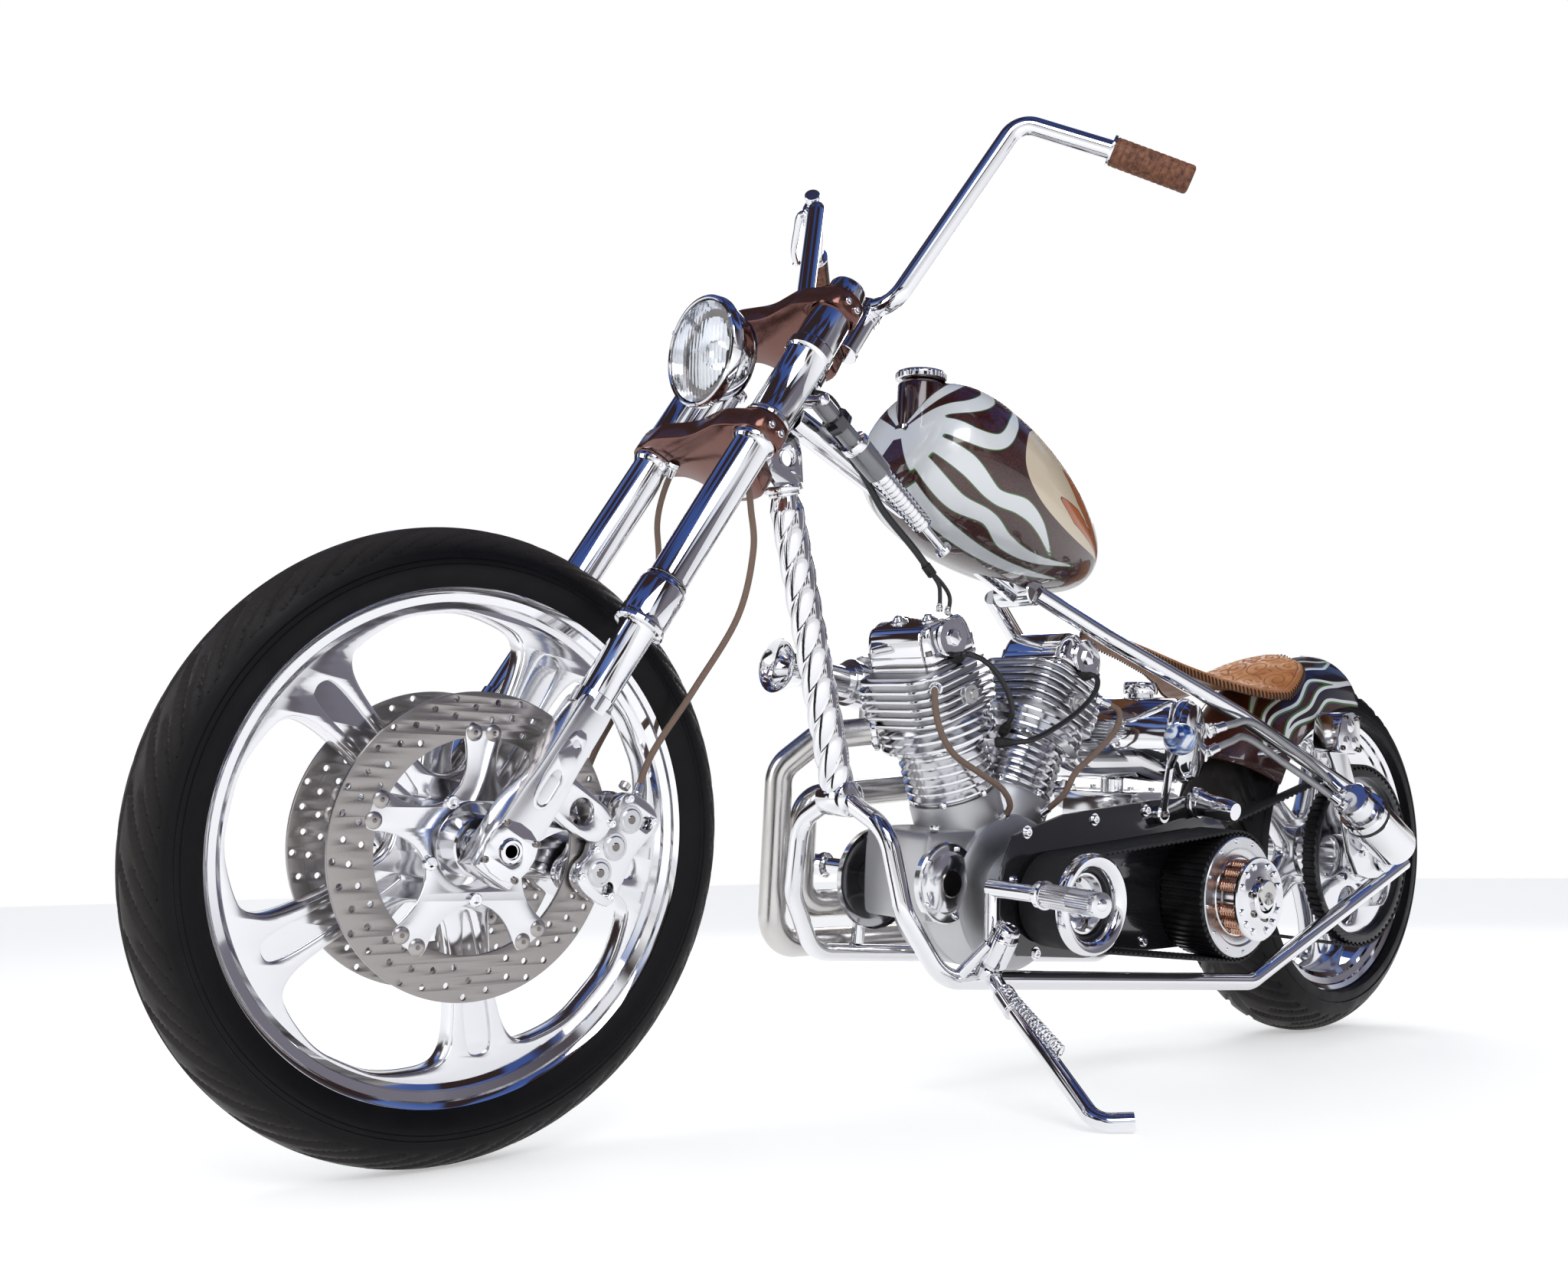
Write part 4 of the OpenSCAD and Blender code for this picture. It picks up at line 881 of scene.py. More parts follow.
# %% Bar and risers
BAR = [(1156, 46, 1064), (1162, 96, 1060), (1052, 206, 1308), (975, 297, 1266), (902, 367, 1228)]
bar = Piece("handlebar_tube", "fork", BIKE, "chrome")
line = [(x, -y, z) for x, y, z in BAR[::-1]] + BAR
bar.add(tube(arc_run(line, 30, 14), 13, 36), chrome)
for side in (-1, 1):
    low_at, high_at = (BIKE.inverted() @ FORK @ Vector((-76, side * 42, t)) for t in (814.3, 902))
    bar.add(stepped(low_at, high_at, [(0, 19), (6, 17), (60, 18.5), (66, 18.5), (72, 20), (88, 20)]), chrome)
    forward = (BIKE.inverted().to_3x3() @ FORK.to_3x3() @ Vector((1, 0, 0))).normalized()
    for f in (-11, 11):
        at = high_at + (high_at - low_at).normalized() * 0.2 + forward * f
        bar.add(bolt(4.2, 5), dark_chrome, along(at, at + (high_at - low_at)))
bar.make(replaces=["handlebar"], sharp=36)

print("bar ready")

# %% Wrapped leather, dark and light along its creases
leather_brown = finish("wrapped brown leather", (0.16, 0.062, 0.035), 0.46, 0, 2.0, 0.25, 0,
                       Specular_IOR_Level=0.4)
tree = leather_brown.node_tree
place = node(tree, "TexCoord")
pores = node(tree, "TexVoronoi", [("Vector", place.outputs["Object"])], Scale=900.0)
creases = node(tree, "TexNoise", [("Vector", place.outputs["Object"])], Scale=160.0, Detail=6.0)
both = node(tree, "Math", [(0, pores.outputs["Distance"]), (1, creases.outputs["Fac"])], operation="ADD")
relief = node(tree, "Bump", [("Height", both.outputs[0])], Strength=0.35, Distance=0.0006)
tint = node(tree, "ValToRGB", [("Fac", creases.outputs["Fac"])])
tint.color_ramp.elements[0].color, tint.color_ramp.elements[1].color = (0.085, 0.030, 0.018, 1), (0.30,
        0.125, 0.065, 1)
tint.color_ramp.elements[0].position, tint.color_ramp.elements[1].position = 0.32, 0.72
wire(tree, (relief.outputs[0], main_shader(tree).inputs["Normal"]), (tint.outputs[0],
        main_shader(tree).inputs["Base Color"]))
dark_lace = finish("waxed dark lace", (0.045, 0.018, 0.012), 0.42, 0, 4.0, 0.2, 0.4)
print("leather and lace finishes ready")

# %% Laced grips
def grip(side):
    a, b = (Vector((p[0], side * p[1], p[2])) for p in BAR[3:5])
    ahead = (b - a).normalized()
    a, b = a + ahead * 2, b + ahead * 5
    length = (b - a).length
    piece = Piece("grip_" + ("left" if side > 0 else "right"), "fork", BIKE, "grip_leather")
    rows = [(0.01, 0), (15, 0), (18, 1.5), (19, 5)]
    for k in range(int((length - 12) / 9)):
        at = 6 + k * 9
        rows += [(18.9, at), (18.2, at + 0.8), (18.8, at + 2.2), (19.0, at + 5.5), (18.8, at + 8)]
    rows += [(19, length - 5), (18, length - 1.5), (15, length), (0.01, length)]
    piece.add(turned(rows, 60), leather_brown, along(a, b))
    for k in range(int(length / 5.2) - 2):
        at, angle = 8 + k * 5.2, math.radians(205 if side > 0 else -25)
        for lean in (-1, 1):
            arc = [(19.35 * math.cos(angle + lean * 0.22 * u), at + 2.6 * u + 0.1,
                    19.35 * math.sin(angle + lean * 0.22 * u)) for u in (-1, -0.5, 0, 0.5, 1)]
            piece.add(tube(arc, 0.75, 6), dark_lace, along(a, b))
    piece.add(turned([(14, -1.5), (19.8, -1.5), (20.4, 0.5), (19.8, 2.5), (14, 2.5)], 48, closed=True),
              chrome, along(a, b))
    return piece
grip(1).make(replaces=["grips"], sharp=50)
grip(-1).make(sharp=50)

print("grips ready")

# %% Brake lever
lever = Piece("brake_lever_assembly", "fork", BIKE, "chrome")
lever.add(stepped((1036, -236, 1316), (1008, -266, 1302), [(0, 14), (5, 16), (36, 16), (41, 14)]), chrome)
lever.add(stepped((1030, -240, 1318), (1050, -222, 1330), [(0, 11), (10, 11), (20, 12), (27, 12)]), chrome)
lever.add(tube(smooth_run([(1022, -254, 1312), (1038, -262, 1308), (1022, -290, 1292), (1004, -318, 1272),
        (985, -333, 1261)], 8), np.r_[np.full(9, 6.5), np.linspace(6.5, 4.6, 22), np.linspace(4.8, 7, 2)],
               24), chrome)
lever.make(replaces=["brake_lever"], sharp=40)
print("brake lever ready")

# %% [markdown]
# ## Hoses, cables and fittings
# A hose is its route with a round section. What makes it read as a hose is its
# ends: a hexagon, a collar and a sleeve in bright metal, and a little twist in
# the braid. The same helper finishes every braided hose on the machine.

# %% Braided finishes
def braid(name, colour, dark, rough, metal, pitch):
    made = finish(name, colour, rough, metal, 3.0, 0.1)
    tree = made.node_tree
    mapping = node(tree, "Attribute", attribute_name="along")
    split = node(tree, "SeparateXYZ", [(0, mapping.outputs["Vector"])])
    waves = []
    for direction in (1, -1):
        slanted = node(tree, "Math", [(0, split.outputs["Y"]), (2, split.outputs["X"])],
                       operation="MULTIPLY_ADD")
        slanted.inputs[1].default_value = direction
        scaled = node(tree, "Math", [(0, slanted.outputs[0])], operation="MULTIPLY")
        scaled.inputs[1].default_value = pitch
        wave = node(tree, "Math", [(0, scaled.outputs[0])], operation="SINE")
        waves.append(node(tree, "Math", [(0, wave.outputs[0])], operation="ABSOLUTE").outputs[0])
    woven = node(tree, "Math", [(0, waves[0]), (1, waves[1])], operation="MAXIMUM")
    shade = node(tree, "ValToRGB", [("Fac", woven.outputs[0])])
    shade.color_ramp.elements[0].color, shade.color_ramp.elements[0].position = (*dark, 1), 0.55
    shade.color_ramp.elements[1].color = (*colour, 1)
    relief = node(tree, "Bump", [("Height", woven.outputs[0])], Strength=0.6, Distance=0.0005)
    wire(tree, (shade.outputs[0], main_shader(tree).inputs["Base Color"]), (relief.outputs[0],
            main_shader(tree).inputs["Normal"]))
    return made
brown_braid = braid("brown braided hose", (0.30, 0.20, 0.15), (0.07, 0.045, 0.035), 0.5, 0, 6.0)
steel_braid = braid("steel braided hose", (0.55, 0.55, 0.56), (0.12, 0.12, 0.12), 0.32, 1, 6.0)
print("braids ready")

# %% Hoses that know their own length
def note_route(made, routes):
    """Stores how far along a hose and how far round it each point lies, for the braid."""
    mesh = made.data
    co = np.zeros(len(mesh.vertices) * 3)
    mesh.vertices.foreach_get("co", co)
    local = np.c_[co.reshape(-1, 3), np.ones(len(mesh.vertices))] @ np.array(BIKE.inverted()).T
    best, note = np.full(len(local), 1e9), np.zeros((len(local), 3))
    for route in routes:
        points, pairs = carried(route)
        far = np.r_[0, np.cumsum(np.linalg.norm(np.diff(points, axis=0), axis=1))]
        for p, d, (a, b) in zip(points, far, pairs):
            away = local[:, :3] - p
            dist = np.linalg.norm(away, axis=1)
            near = dist < best
            best[near] = dist[near]
            note[near] = np.c_[np.full(near.sum(), d), np.arctan2(away[near] @ b, away[near] @ a) * 2.0,
                    np.zeros(near.sum())]
    stored = mesh.attributes.new("along", "FLOAT_VECTOR", "POINT")
    stored.data.foreach_set("vector", note.ravel())

def fitting(piece, a, b, r, metal=None):
    """A hexagon, a collar and a sleeve that lie along a to b."""
    metal = metal or polished
    where = along(a, b)
    piece.add(bolt(r * 1.9, r * 1.6, "hexagon"), metal, where)
    piece.add(turned([(r, r * 1.6), (r * 1.5, r * 1.7), (r * 1.5, r * 2.4), (r * 1.35, r * 2.6),
                      (r * 1.35, r * 4.6), (r * 1.1, r * 4.9), (r * 0.9, r * 4.9)], 28), metal, where)

def hoses(name, body, slot, routes, r, cover, replaces=(), ends=(True, True), sides=20):
    piece = Piece(name, body, BIKE, slot)
    runs = [smooth_run(route, 10) for route in routes]
    for route, run in zip(routes, runs):
        piece.add(tube(run, r, sides), cover)
        if ends[0]:
            fitting(piece, run[0], run[3], r)
        if ends[1]:
            fitting(piece, run[-1], run[-4], r)
    made = piece.make(replaces=replaces, sharp=45)
    if cover in (brown_braid, steel_braid):
        note_route(made, runs)
    return made

# %% Brake hoses
BRAKE_HOSE = [(1384, 72, 829), (1388, 90, 790), (1388, 100, 752), (1382, 101, 700), (1394, 92, 620),
              (1438, 72, 531), (1487, 62, 452), (1507, 62, 399)]
hoses("brake_hoses_braided", "fork", "hose", [BRAKE_HOSE, [(x, -y, z) for x, y, z in BRAKE_HOSE]], 4,
      brown_braid, ["brake_hoses"])
print("brake hoses ready")

# %% [markdown]
# ## Frame tubes
# The frame is bent and brazed from chromed tube, so each run is a round tube
# along the same bends as the fixed model. A helper turns a few corner points
# into straight runs and arcs, as a tube bender does, which keeps the routes easy
# to read and the bends truly round.

# %% Cradles, stays and backbone
CRADLE = [(1137, 22, 398), (1130, 88, 366), (1118, 112, 262), (1062, 130, 176), (392, 152, 133),
          (-84, 152, 312)]
STAY = [(800, 45, 712), (690, 88, 655), (398, 128, 553), (60, 152, 425)]
PIVOT, FOLD = Vector((1002, 156, 186)), Vector((0, math.sin(math.radians(28)), math.cos(math.radians(28))))
def mirror(points, side):
    return [(x, side * y, z) for x, y, z in points]

cradles = Piece("frame_cradle_tubes", "frame", BIKE, "chrome")
stays = Piece("frame_stay_tubes", "frame", BIKE, "chrome")
for side in (-1, 1):
    cradles.add(tube(arc_run(mirror(CRADLE, side), 60, 16), 13, 36), chrome)
    stays.add(tube(arc_run(mirror(STAY, side), 90, 14), 13, 36), chrome)
cradles.add(stepped(PIVOT + FOLD * 13.3, PIVOT + FOLD * 57.6, [(0, 17), (3, 19), (41, 19), (44, 17)]),
            chrome)
cradles.add(tube([(1038, 131, 175), tuple(PIVOT + Vector((16, 14, 38)))], 8, 24), chrome)
for x, y, z in ((700, 139.9, 150), (300, 152, 162), (700, -139.9, 150)):
    cradles.add(stepped((x - 9, y, z), (x + 9, y, z), [(0, 6), (18, 6)], 24), chrome)
cradles.make(replaces=["frame_cradles"], sharp=40)
for side in (-1, 1):
    stays.add(stepped((76, side * 151, 438), (52, side * 152, 430), [(0, 15), (24, 15)]), chrome)
stays.make(replaces=["frame_stays"], sharp=40)
print("cradles and stays ready")

# %% Backbone and steering head
backbone = Piece("frame_backbone_tube", "frame", BIKE, "chrome")
backbone.add(tube(straight((1246, 0, 902), (792, 0, 716)), 19, 44), chrome)
backbone.add(turned([(0.01, -35), (18, -35), (20, -33), (20, 33), (18, 35), (0.01, 35)], 48), chrome,
             shift(792, 0, 716))
backbone.make(replaces=["frame_backbone"], sharp=36)

head_low, head_top = (BIKE.inverted() @ FORK @ Vector((-60, 0, t)) for t in (609, 781))
head = Piece("steering_head_tube", "frame", BIKE, "chrome")
length = (head_top - head_low).length
head.add(turned([(18, 0), (31.5, 0), (33, 1.5), (33, 14.5), (31.5, 16), (28.6, 16.6), (28, 18),
                 (28, length - 18), (28.6, length - 16.6), (31.5, length - 16), (33, length - 14.5),
                 (33, length - 1.5), (31.5, length), (18, length)], 72, closed=True), chrome, along(head_low,
        head_top))
head.add(cut(eased([(1302, 835), (1262, 905), (1236, 880), (1226, 800), (1262, 800)], 1), -5, 5,
             [circle(11, 1256, 848, 32)], 2), chrome)
head.make(replaces=["steering_head"], sharp=34)
print("backbone and head ready, head", round(length), "mm long")

# %% [markdown]
# ## Twisted down tube
# A bar of four lobes was heated and wound five half turns. Its section is drawn
# once and carried up the tube while it turns, so the lobes become a rope.

# %% Twisted down tube
def lobes(angles):
    return 0.86 + 0.14 * np.abs(np.cos(angles * 2)) ** 0.8
twisted = Piece("twisted_down_tube_bar", "frame", BIKE, "chrome")
top_end, low_end = (1257, 0, 800), (1137, 0, 402)
run = straight(top_end, low_end, 130)
swell = 23.6 * np.ones(130)
swell[:8] = np.linspace(18, 23.6, 8)
swell[-8:] = np.linspace(23.6, 18, 8)
twisted.add(tube(run, swell, 56, twist=900, section=lobes), chrome)
twisted.add(turned([(0.01, -25), (22, -25), (24, -23), (24, 23), (22, 25), (0.01, 25)], 56), chrome,
            shift(*low_end))
twisted.add(stepped((1256, 0, 797), (1260, 0, 812), [(0, 21), (6, 26), (15, 26)]), chrome)
twisted.make(replaces=["twisted_down_tube"], sharp=60)

print("twisted tube ready")

# %% [markdown]
# ## Axle plates and rear axle
# The stays and cradles end in two flat plates with a slot, in which the rear axle
# slides to set the belt. A plate is an outline with holes, so it is cut, not
# modelled, and the adjuster's bright washer is turned.

# %% Axle plates and rear axle
def axle_plate(side):
    outline = eased([(-98, 332), (-70, 298), (30, 283), (97, 298), (134, 434), (58, 456), (-42, 402)], 1)
    piece = Piece("axle_plate_" + ("left" if side > 0 else "right"), "frame", BIKE, "polished_alloy")
    slot = eased([(-34, 310), (26, 310), (32, 323), (26, 336), (-34, 336), (-40, 323)], 2)
    piece.add(cut(outline, side * 146, side * 158, [circle(12.4, 0, 323, 40)], 2.4), polished)
    piece.add(cut(slot, side * 158, side * 160.5, [circle(12.4, 0, 323, 40)], 1), machined)
    flip = facing(side)
    piece.add(turned([(12.3, 0), (24, 0), (25.4, 1.4), (25.4, 4), (24, 5.4), (12.3, 5.4)], 48, closed=True),
              chrome, shift(0, side * 160.6, 323) @ flip)
    for x, z in ((96, 400), (70, 330), (-58, 344)):
        piece.add(bolt(6, 5), chrome, shift(x, side * 158, z) @ flip)
    return piece
axle_plate(1).make(replaces=["axle_plates"], sharp=34)
axle_plate(-1).make(sharp=34)
rear_bar = Piece("rear_axle_bar", "frame", REAR, "chrome")
rear_bar.add(turned([(7, -176), (10.5, -176), (12, -174.5), (12, 174.5), (10.5, 176), (7, 176)], 48,
                    closed=True), chrome)
for s in (-1, 1):
    rear_bar.add(bolt(15.5, 9, "hexagon"), chrome, shift(0, s * 166.1, 0) @ facing(s))
rear_bar.make(replaces=["rear_axle"], sharp=34)
print("axle plates and rear axle ready")

# %% [markdown]
# ## Crankcase
# The case is cast, so its corners are soft and its covers are rings of bolts
# around a bright face. The left nose carries the pulley, and the cone cover in
# front of it is the most polished piece of the engine.

# %% Round covers with a ring of screws
def bolted_cover(piece, x, z, y, r, side, count, metal, face=None, bolts=chrome):
    """A round cover with a raised lip and a ring of screws, facing side."""
    flip = facing(side)
    where = shift(x, y, z) @ flip
    piece.add(turned([(r, -8), (r, 1), (r - 2, 3), (r - 12, 3), (r - 14, 4), (r * 0.55, 8), (r * 0.3, 8.6),
                      (0.01, 8.6)], 84), metal, where)
    for i in range(count):
        a = 2 * math.pi * (i + 0.5) / count
        piece.add(bolt(3.6, 3.4), bolts, where @ shift((r - 7) * math.cos(a), 3, (r - 7) * math.sin(a)))
    if face:
        piece.add(turned([(0.01, 10), (r * 0.32, 10), (r * 0.36, 8)], 60), face, where)

print("cover helper ready")

# %% The case itself
case = Piece("crankcase", "frame", BIKE, "polished_alloy")
case.add(turned([(0.01, -72), (104, -72), (110, -68), (112, -60), (112, -6), (109.5, -4), (109.5, 4),
                 (112, 6), (112, 60), (110, 68), (104, 72), (0.01, 72)], 110), cast, shift(CRANK[0], 0,
        CRANK[1]))
box = eased([(716, 242), (722, 236), (1020, 235), (1032, 246), (1032, 352), (1020, 364), (726, 365),
             (713, 352)], 2)
case.add(cut(box, -62, 62, [], 7), cast)
for z in (262, 290, 318, 346):
    case.add(cut(eased([(716, z - 3.5), (1026, z - 3.5), (1026, z + 3.5), (716, z + 3.5)], 1), -64.6, -58,
                 [], 1.8), cast)
for z in (252, 280, 332):
    case.add(cut(eased([(930, z - 3.5), (1029, z - 3.5), (1029, z + 3.5), (930, z + 3.5)], 1), 58, 64.6, [],
                 1.8), cast)
bolted_cover(case, 992, 285, -80, 72, -1, 8, polished, dark_chrome)
bolted_cover(case, CRANK[0], CRANK[1], -72, 88, -1, 10, polished)
bolted_cover(case, 990, 292, 64, 56, 1, 5, polished, dark_chrome)
case.add(turned([(0.01, 120), (24, 121.6), (56, 121.6), (61, 118), (62, 112), (62, 60)], 84), cast,
         shift(CRANK[0], 0, CRANK[1]))
case.add(turned([(0.01, 0), (11.6, 0), (11.6, 79), (10, 80), (0.01, 80)], 40), brushed, shift(CRANK[0], 120,
        CRANK[1]))
for side in (-1, 1):
    spot = BIKE.inverted() @ cylinder_frame(side)
    case.add(turned([(0.01, 60), (62, 60), (62, 100), (66, 104), (66, 143), (64, 149.6), (0.01, 149.6)], 72),
             cast, spot @ turn(90, "X"))
    for i in range(6):
        a = 2 * math.pi * (i + 0.5) / 6
        case.add(bolt(5.5, 9, "hexagon"), chrome, spot @ turn(90, "X") @ shift(60.5 * math.cos(a), 149.4,
                60.5 * math.sin(a)))
for x, y in ((736, -56), (1010, -56), (736, 56), (1010, 56)):
    case.add(bolt(7, 6, "hexagon"), chrome, shift(x, y, 364) @ turn(90, "X"))
case.make(replaces=["engine_case"], sharp=36)
print("crankcase ready")

# %% [markdown]
# ## Cylinders, heads and rocker boxes
# A finned barrel is one lathe profile: each fin is thin, slightly tapered and
# polished at its rim, with a deep gap below. The head above it is squarer, and
# its fins are cut from plate. Two round towers carry the ends of the rocker
# shafts, each under a domed nut.

# %% Fins and round-cornered outlines
def fins(low, high, count, root, tip, thick):
    profile, pitch = [], (high - low) / count
    for i in range(count):
        y = low + i * pitch
        profile += [(root, y), (root + 1, y + 0.8), (tip - 1.5, y + (pitch - thick) / 2),
                    (tip, y + (pitch - thick) / 2 + 0.9), (tip, y + (pitch + thick) / 2 - 0.9), (tip - 1.5,
                y + (pitch + thick) / 2), (root + 1, y + pitch - 0.8)]
    return profile + [(root, high)]

def rounded(w, d, r, x=0, z=0, count=8):
    """A rectangle with round corners."""
    points = []
    for cx, cz, start in ((w - r, d - r, 0), (r - w, d - r, 90), (r - w, r - d, 180), (w - r, r - d, 270)):
        for k in range(count + 1):
            a = math.radians(start + 90 * k / count)
            points.append((x + cx + r * math.cos(a), z + cz + r * math.sin(a)))
    return points

# %% Both cylinders
def barrel(name, side):
    upright = turn(90, "X")
    piece = Piece(name, "frame", cylinder_frame(side) @ upright, "polished_alloy")
    piece.add(turned([(0.01, 150.2), (58, 150.2)] + fins(151, 228, 6, 56, 65, 4.6) + [(60, 228.2), (68, 229),
            (68, 231)], 96), polished)
    piece.add(turned([(62, 230)] + fins(231, 270, 3, 66, 83.6, 5.0) + [(66, 270)], 96), polished)
    for i in range(6):
        y = 271 + i * 12.4
        grow = (0, 1.4, 2.0, 1.6, 0.4, -3)[i]
        piece.add(cut(rounded(78 + grow, 80 + grow, 42), y + 3.2, y + 8.4, [], 1.6), polished)
    piece.add(cut(rounded(66, 66, 34), 268, 345.2, [], 2), cast)
    for x, z in ((-58, -58), (58, -58), (-58, 58), (58, 58)):
        piece.add(bolt(8, 11, "hexagon"), chrome, shift(x * 0.82, 228.5, z * 0.82))
    # the plug boss stands on the side of the head, with the plug's hexagon in it
    piece.add(stepped((0, 300, -60), (0, 300, -86), [(0, 16), (20, 14), (26, 12)], 40), cast)
    piece.add(bolt(8, 8, "hexagon"), brushed, along((0, 300, -84), (0, 300, -85)))
    return piece
barrel("cylinder_front", 1).make(sharp=34, replaces=["cylinders"])
barrel("cylinder_rear", -1).make(sharp=34)

print("cylinders ready")

# %% Rocker boxes
def rocker_box(name, side):
    piece = Piece(name, "frame", cylinder_frame(side) @ turn(90, "X"), "chrome")
    piece.add(cut(rounded(51, 65, 16, -8, 0), 345.4, 353, [], 1.6), polished)
    piece.add(cut(rounded(49, 62, 15, -8, 0), 353, 356, [], 0.8), dark_chrome)
    piece.add(cut(rounded(51, 65, 16, -8, 0), 356, 368, [], 1.6), chrome)
    crown = rounded(50, 63, 15, -8, 0)
    rings = []
    for t in np.linspace(0, 1, 10):
        lift = 44 * math.sin(t * math.pi / 2)
        shrink = 1 - 0.34 * (1 - math.cos(t * math.pi / 2))
        rings.append([((x + 8) * shrink - 8, 368 + lift * 0.86,
                       z * (1 - 0.08 * (1 - math.cos(t * math.pi / 2)))) for x, z in crown])
    piece.add(skin(rings), chrome)
    for z in (-66.5, 66.5):
        out = 1 if z > 0 else -1
        piece.add(stepped((-8, 380, z - out * 3), (-8, 380, z + out * 3), [(0, 27), (3, 27), (6, 24)], 60),
                  polished)
        piece.add(bolt(12, 5, "hexagon"), chrome, along((-8, 380, z + out * 2.6), (-8, 380, z + out * 4)))
    for x in (-50, -8, 34):
        for z in (-57, 57):
            piece.add(bolt(5.6, 7), dark_chrome, shift(x, 367.5, z))
    for z in (-30, 30):
        piece.add(turned([(0.01, 413), (8, 412), (10, 409), (13, 408), (13, 404)], 36), polished,
                  shift(-8, 0, z))
        piece.add(bolt(6.5, 4, "dome"), chrome, shift(-8, 412.4, z))
    return piece
rocker_box("rocker_box_front", 1).make(replaces=["rocker_boxes"], sharp=34)
rocker_box("rocker_box_rear", -1).make(sharp=34)
print("rocker boxes ready")

# %% [markdown]
# ## Intake and exhaust
# The carburettor lies on the right, with a polished trumpet for its air. The two
# pipes are bent from brushed steel tube and keep one finish from end to end.
# Their ends are open and dark inside.

# %% Carburettor
intake = Piece("carburettor_and_horn", "frame", BIKE, "polished_alloy")
intake.add(tube(arc_run([(864, -10, 540), (866, -146, 552), (1101, -146, 580)], 36, 14), 23, 40), polished)
intake.add(tube(straight((822, -18, 540), (914, -18, 541)), 17, 36), cast)
intake.add(turned([(23, 0), (26, 8), (31, 20), (38, 34), (40, 38), (39.6, 40), (36, 38), (29, 22), (21, 6),
                   (14, -20), (0.01, -20)], 64), chrome, along((1100, -146, 580), (1139, -147, 584)))
intake.add(stepped((890, -146, 555), (1010, -146, 569), [(0, 27), (6, 33), (30, 36), (92, 36), (112, 30),
        (121, 26)], 60), polished)
intake.add(stepped((950, -146, 516), (950, -146, 608), [(0, 19), (14, 24), (70, 26), (84, 26), (92, 20)],
                   48), cast)
for a in range(4):
    intake.add(bolt(3.4, 3), chrome, shift(950 + 18 * math.cos(a * math.pi / 2 + 0.8),
            -146 + 18 * math.sin(a * math.pi / 2 + 0.8), 607.5) @ turn(90, "X"))
intake.make(replaces=["carburettor"], sharp=38)

print("carburettor ready")

# %% Exhaust pipes
pipe_steel = finish("brushed pipe steel", (0.63, 0.61, 0.59), 0.18, 1, 2.0, 0.14, 0.15)
pipes = Piece("exhaust_pipe_pair", "frame", BIKE, "chrome")
ROUTES = (([(1006, -48, 500), (1072, -120, 486), (1110, -165, 436), (1110, -167, 184), (1000, -168, 184),
            (240, -194, 178)], 44), ([(742, -50, 452), (736, -116, 430), (1000, -146, 402), (1060, -165,
        392), (1060, -167, 240), (960, -168, 240), (240, -188, 236)], 34))
for route, bend in ROUTES:
    run = arc_run(route, bend, 14)
    pipes.add(tube(run, 20, 40, capped=False), pipe_steel)
    end, before = Vector(run[-1]), Vector(run[-2])
    inward = (before - end).normalized()
    pipes.add(turned([(20, 0.5), (20.4, 0), (18.4, -0.4), (17.2, 1), (17, 48), (0.01, 48)], 40), brushed,
              along(end, end + inward))
    start, after = Vector(run[0]), Vector(run[1])
    pipes.add(turned([(20.4, 14), (27, 14), (29, 16), (29, 22), (27, 24), (20.4, 24)], 48, closed=True),
              chrome, along(start, after))
pipes.make(replaces=["exhaust_pipes"], sharp=40)
print("exhaust ready")

# %% [markdown]
# ## Belt drive
# The engine drives the clutch by a wide toothed belt in the open, and a narrower
# belt goes on to the rear wheel. Teeth are cut all the way round, on the belts'
# inner side and on the pulleys, because the open drive is looked right into.

# %% Toothed belts
def wrap_line(a, ra, b, rb, steps=60):
    """The line of a belt round two pulleys, as evenly spaced points."""
    a, b = np.array(a, float), np.array(b, float)
    gap, along_it = np.linalg.norm(b - a), math.atan2(*(b - a)[::-1])
    tilt = math.acos((ra - rb) / gap)
    corner = lambda c, r, start, end: [(c[0] + r * math.cos(t), c[1] + r * math.sin(t))
            for t in np.linspace(start, end, steps)]
    line = corner(a, ra, along_it + tilt, along_it + 2 * math.pi - tilt) + corner(b, rb, along_it - tilt,
            along_it + tilt)
    line = np.array(line + line[:1])
    far = np.r_[0, np.cumsum(np.linalg.norm(np.diff(line, axis=0), axis=1))]
    return line, far

def toothed_belt(name, a, ra, b, rb, y1, y2, thick, pitch, finish, replaces):
    line, far = wrap_line(a, ra, b, rb)
    teeth = int(far[-1] / pitch)
    count = teeth * 8
    s = np.linspace(0, far[-1], count, endpoint=False)
    x, z = np.interp(s, far, line[:, 0]), np.interp(s, far, line[:, 1])
    ahead = np.c_[np.roll(x, -1) - np.roll(x, 1), np.roll(z, -1) - np.roll(z, 1)]
    ahead /= np.linalg.norm(ahead, axis=1)[:, None]
    inward = np.c_[-ahead[:, 1], ahead[:, 0]]
    phase = (s / far[-1] * teeth) % 1
    tooth = np.clip((0.30 - np.abs(phase - 0.5)) / 0.10, 0, 1)
    inner = thick * 0.55 + tooth * thick * 0.45
    rings = []
    for y, depth in ((y1, 0), (y1 + 0.8, 0), (y2 - 0.8, 0), (y2, 0), (y2, 1), (y1, 1)):
        deep = inner if depth else np.zeros(count) + 0.4 + (0.5 if y in (y1, y2) else 0)
        p = np.c_[x, z] + inward * deep[:, None]
        rings.append(np.c_[p[:, 0], np.full(count, y), p[:, 1]])
    piece = Piece(name, "frame", BIKE, "belt")
    piece.add(skin(rings, capped=False, closed=True), finish)
    return piece.make(replaces=replaces, sharp=35)

# %% Both belts
CLUTCH, PULLEY = (512, 275), (512, 285)
toothed_belt("primary_belt_toothed", CLUTCH, 99.6, CRANK, 65.6, 138, 204, 5.6, 11.2, belt_rubber,
             ["primary_belt"])
toothed_belt("final_belt_toothed", (0, 323), 161.6, PULLEY, 64.2, 95.2, 118.8, 6, 14, belt_rubber,
             ["final_belt"])
print("belts ready")

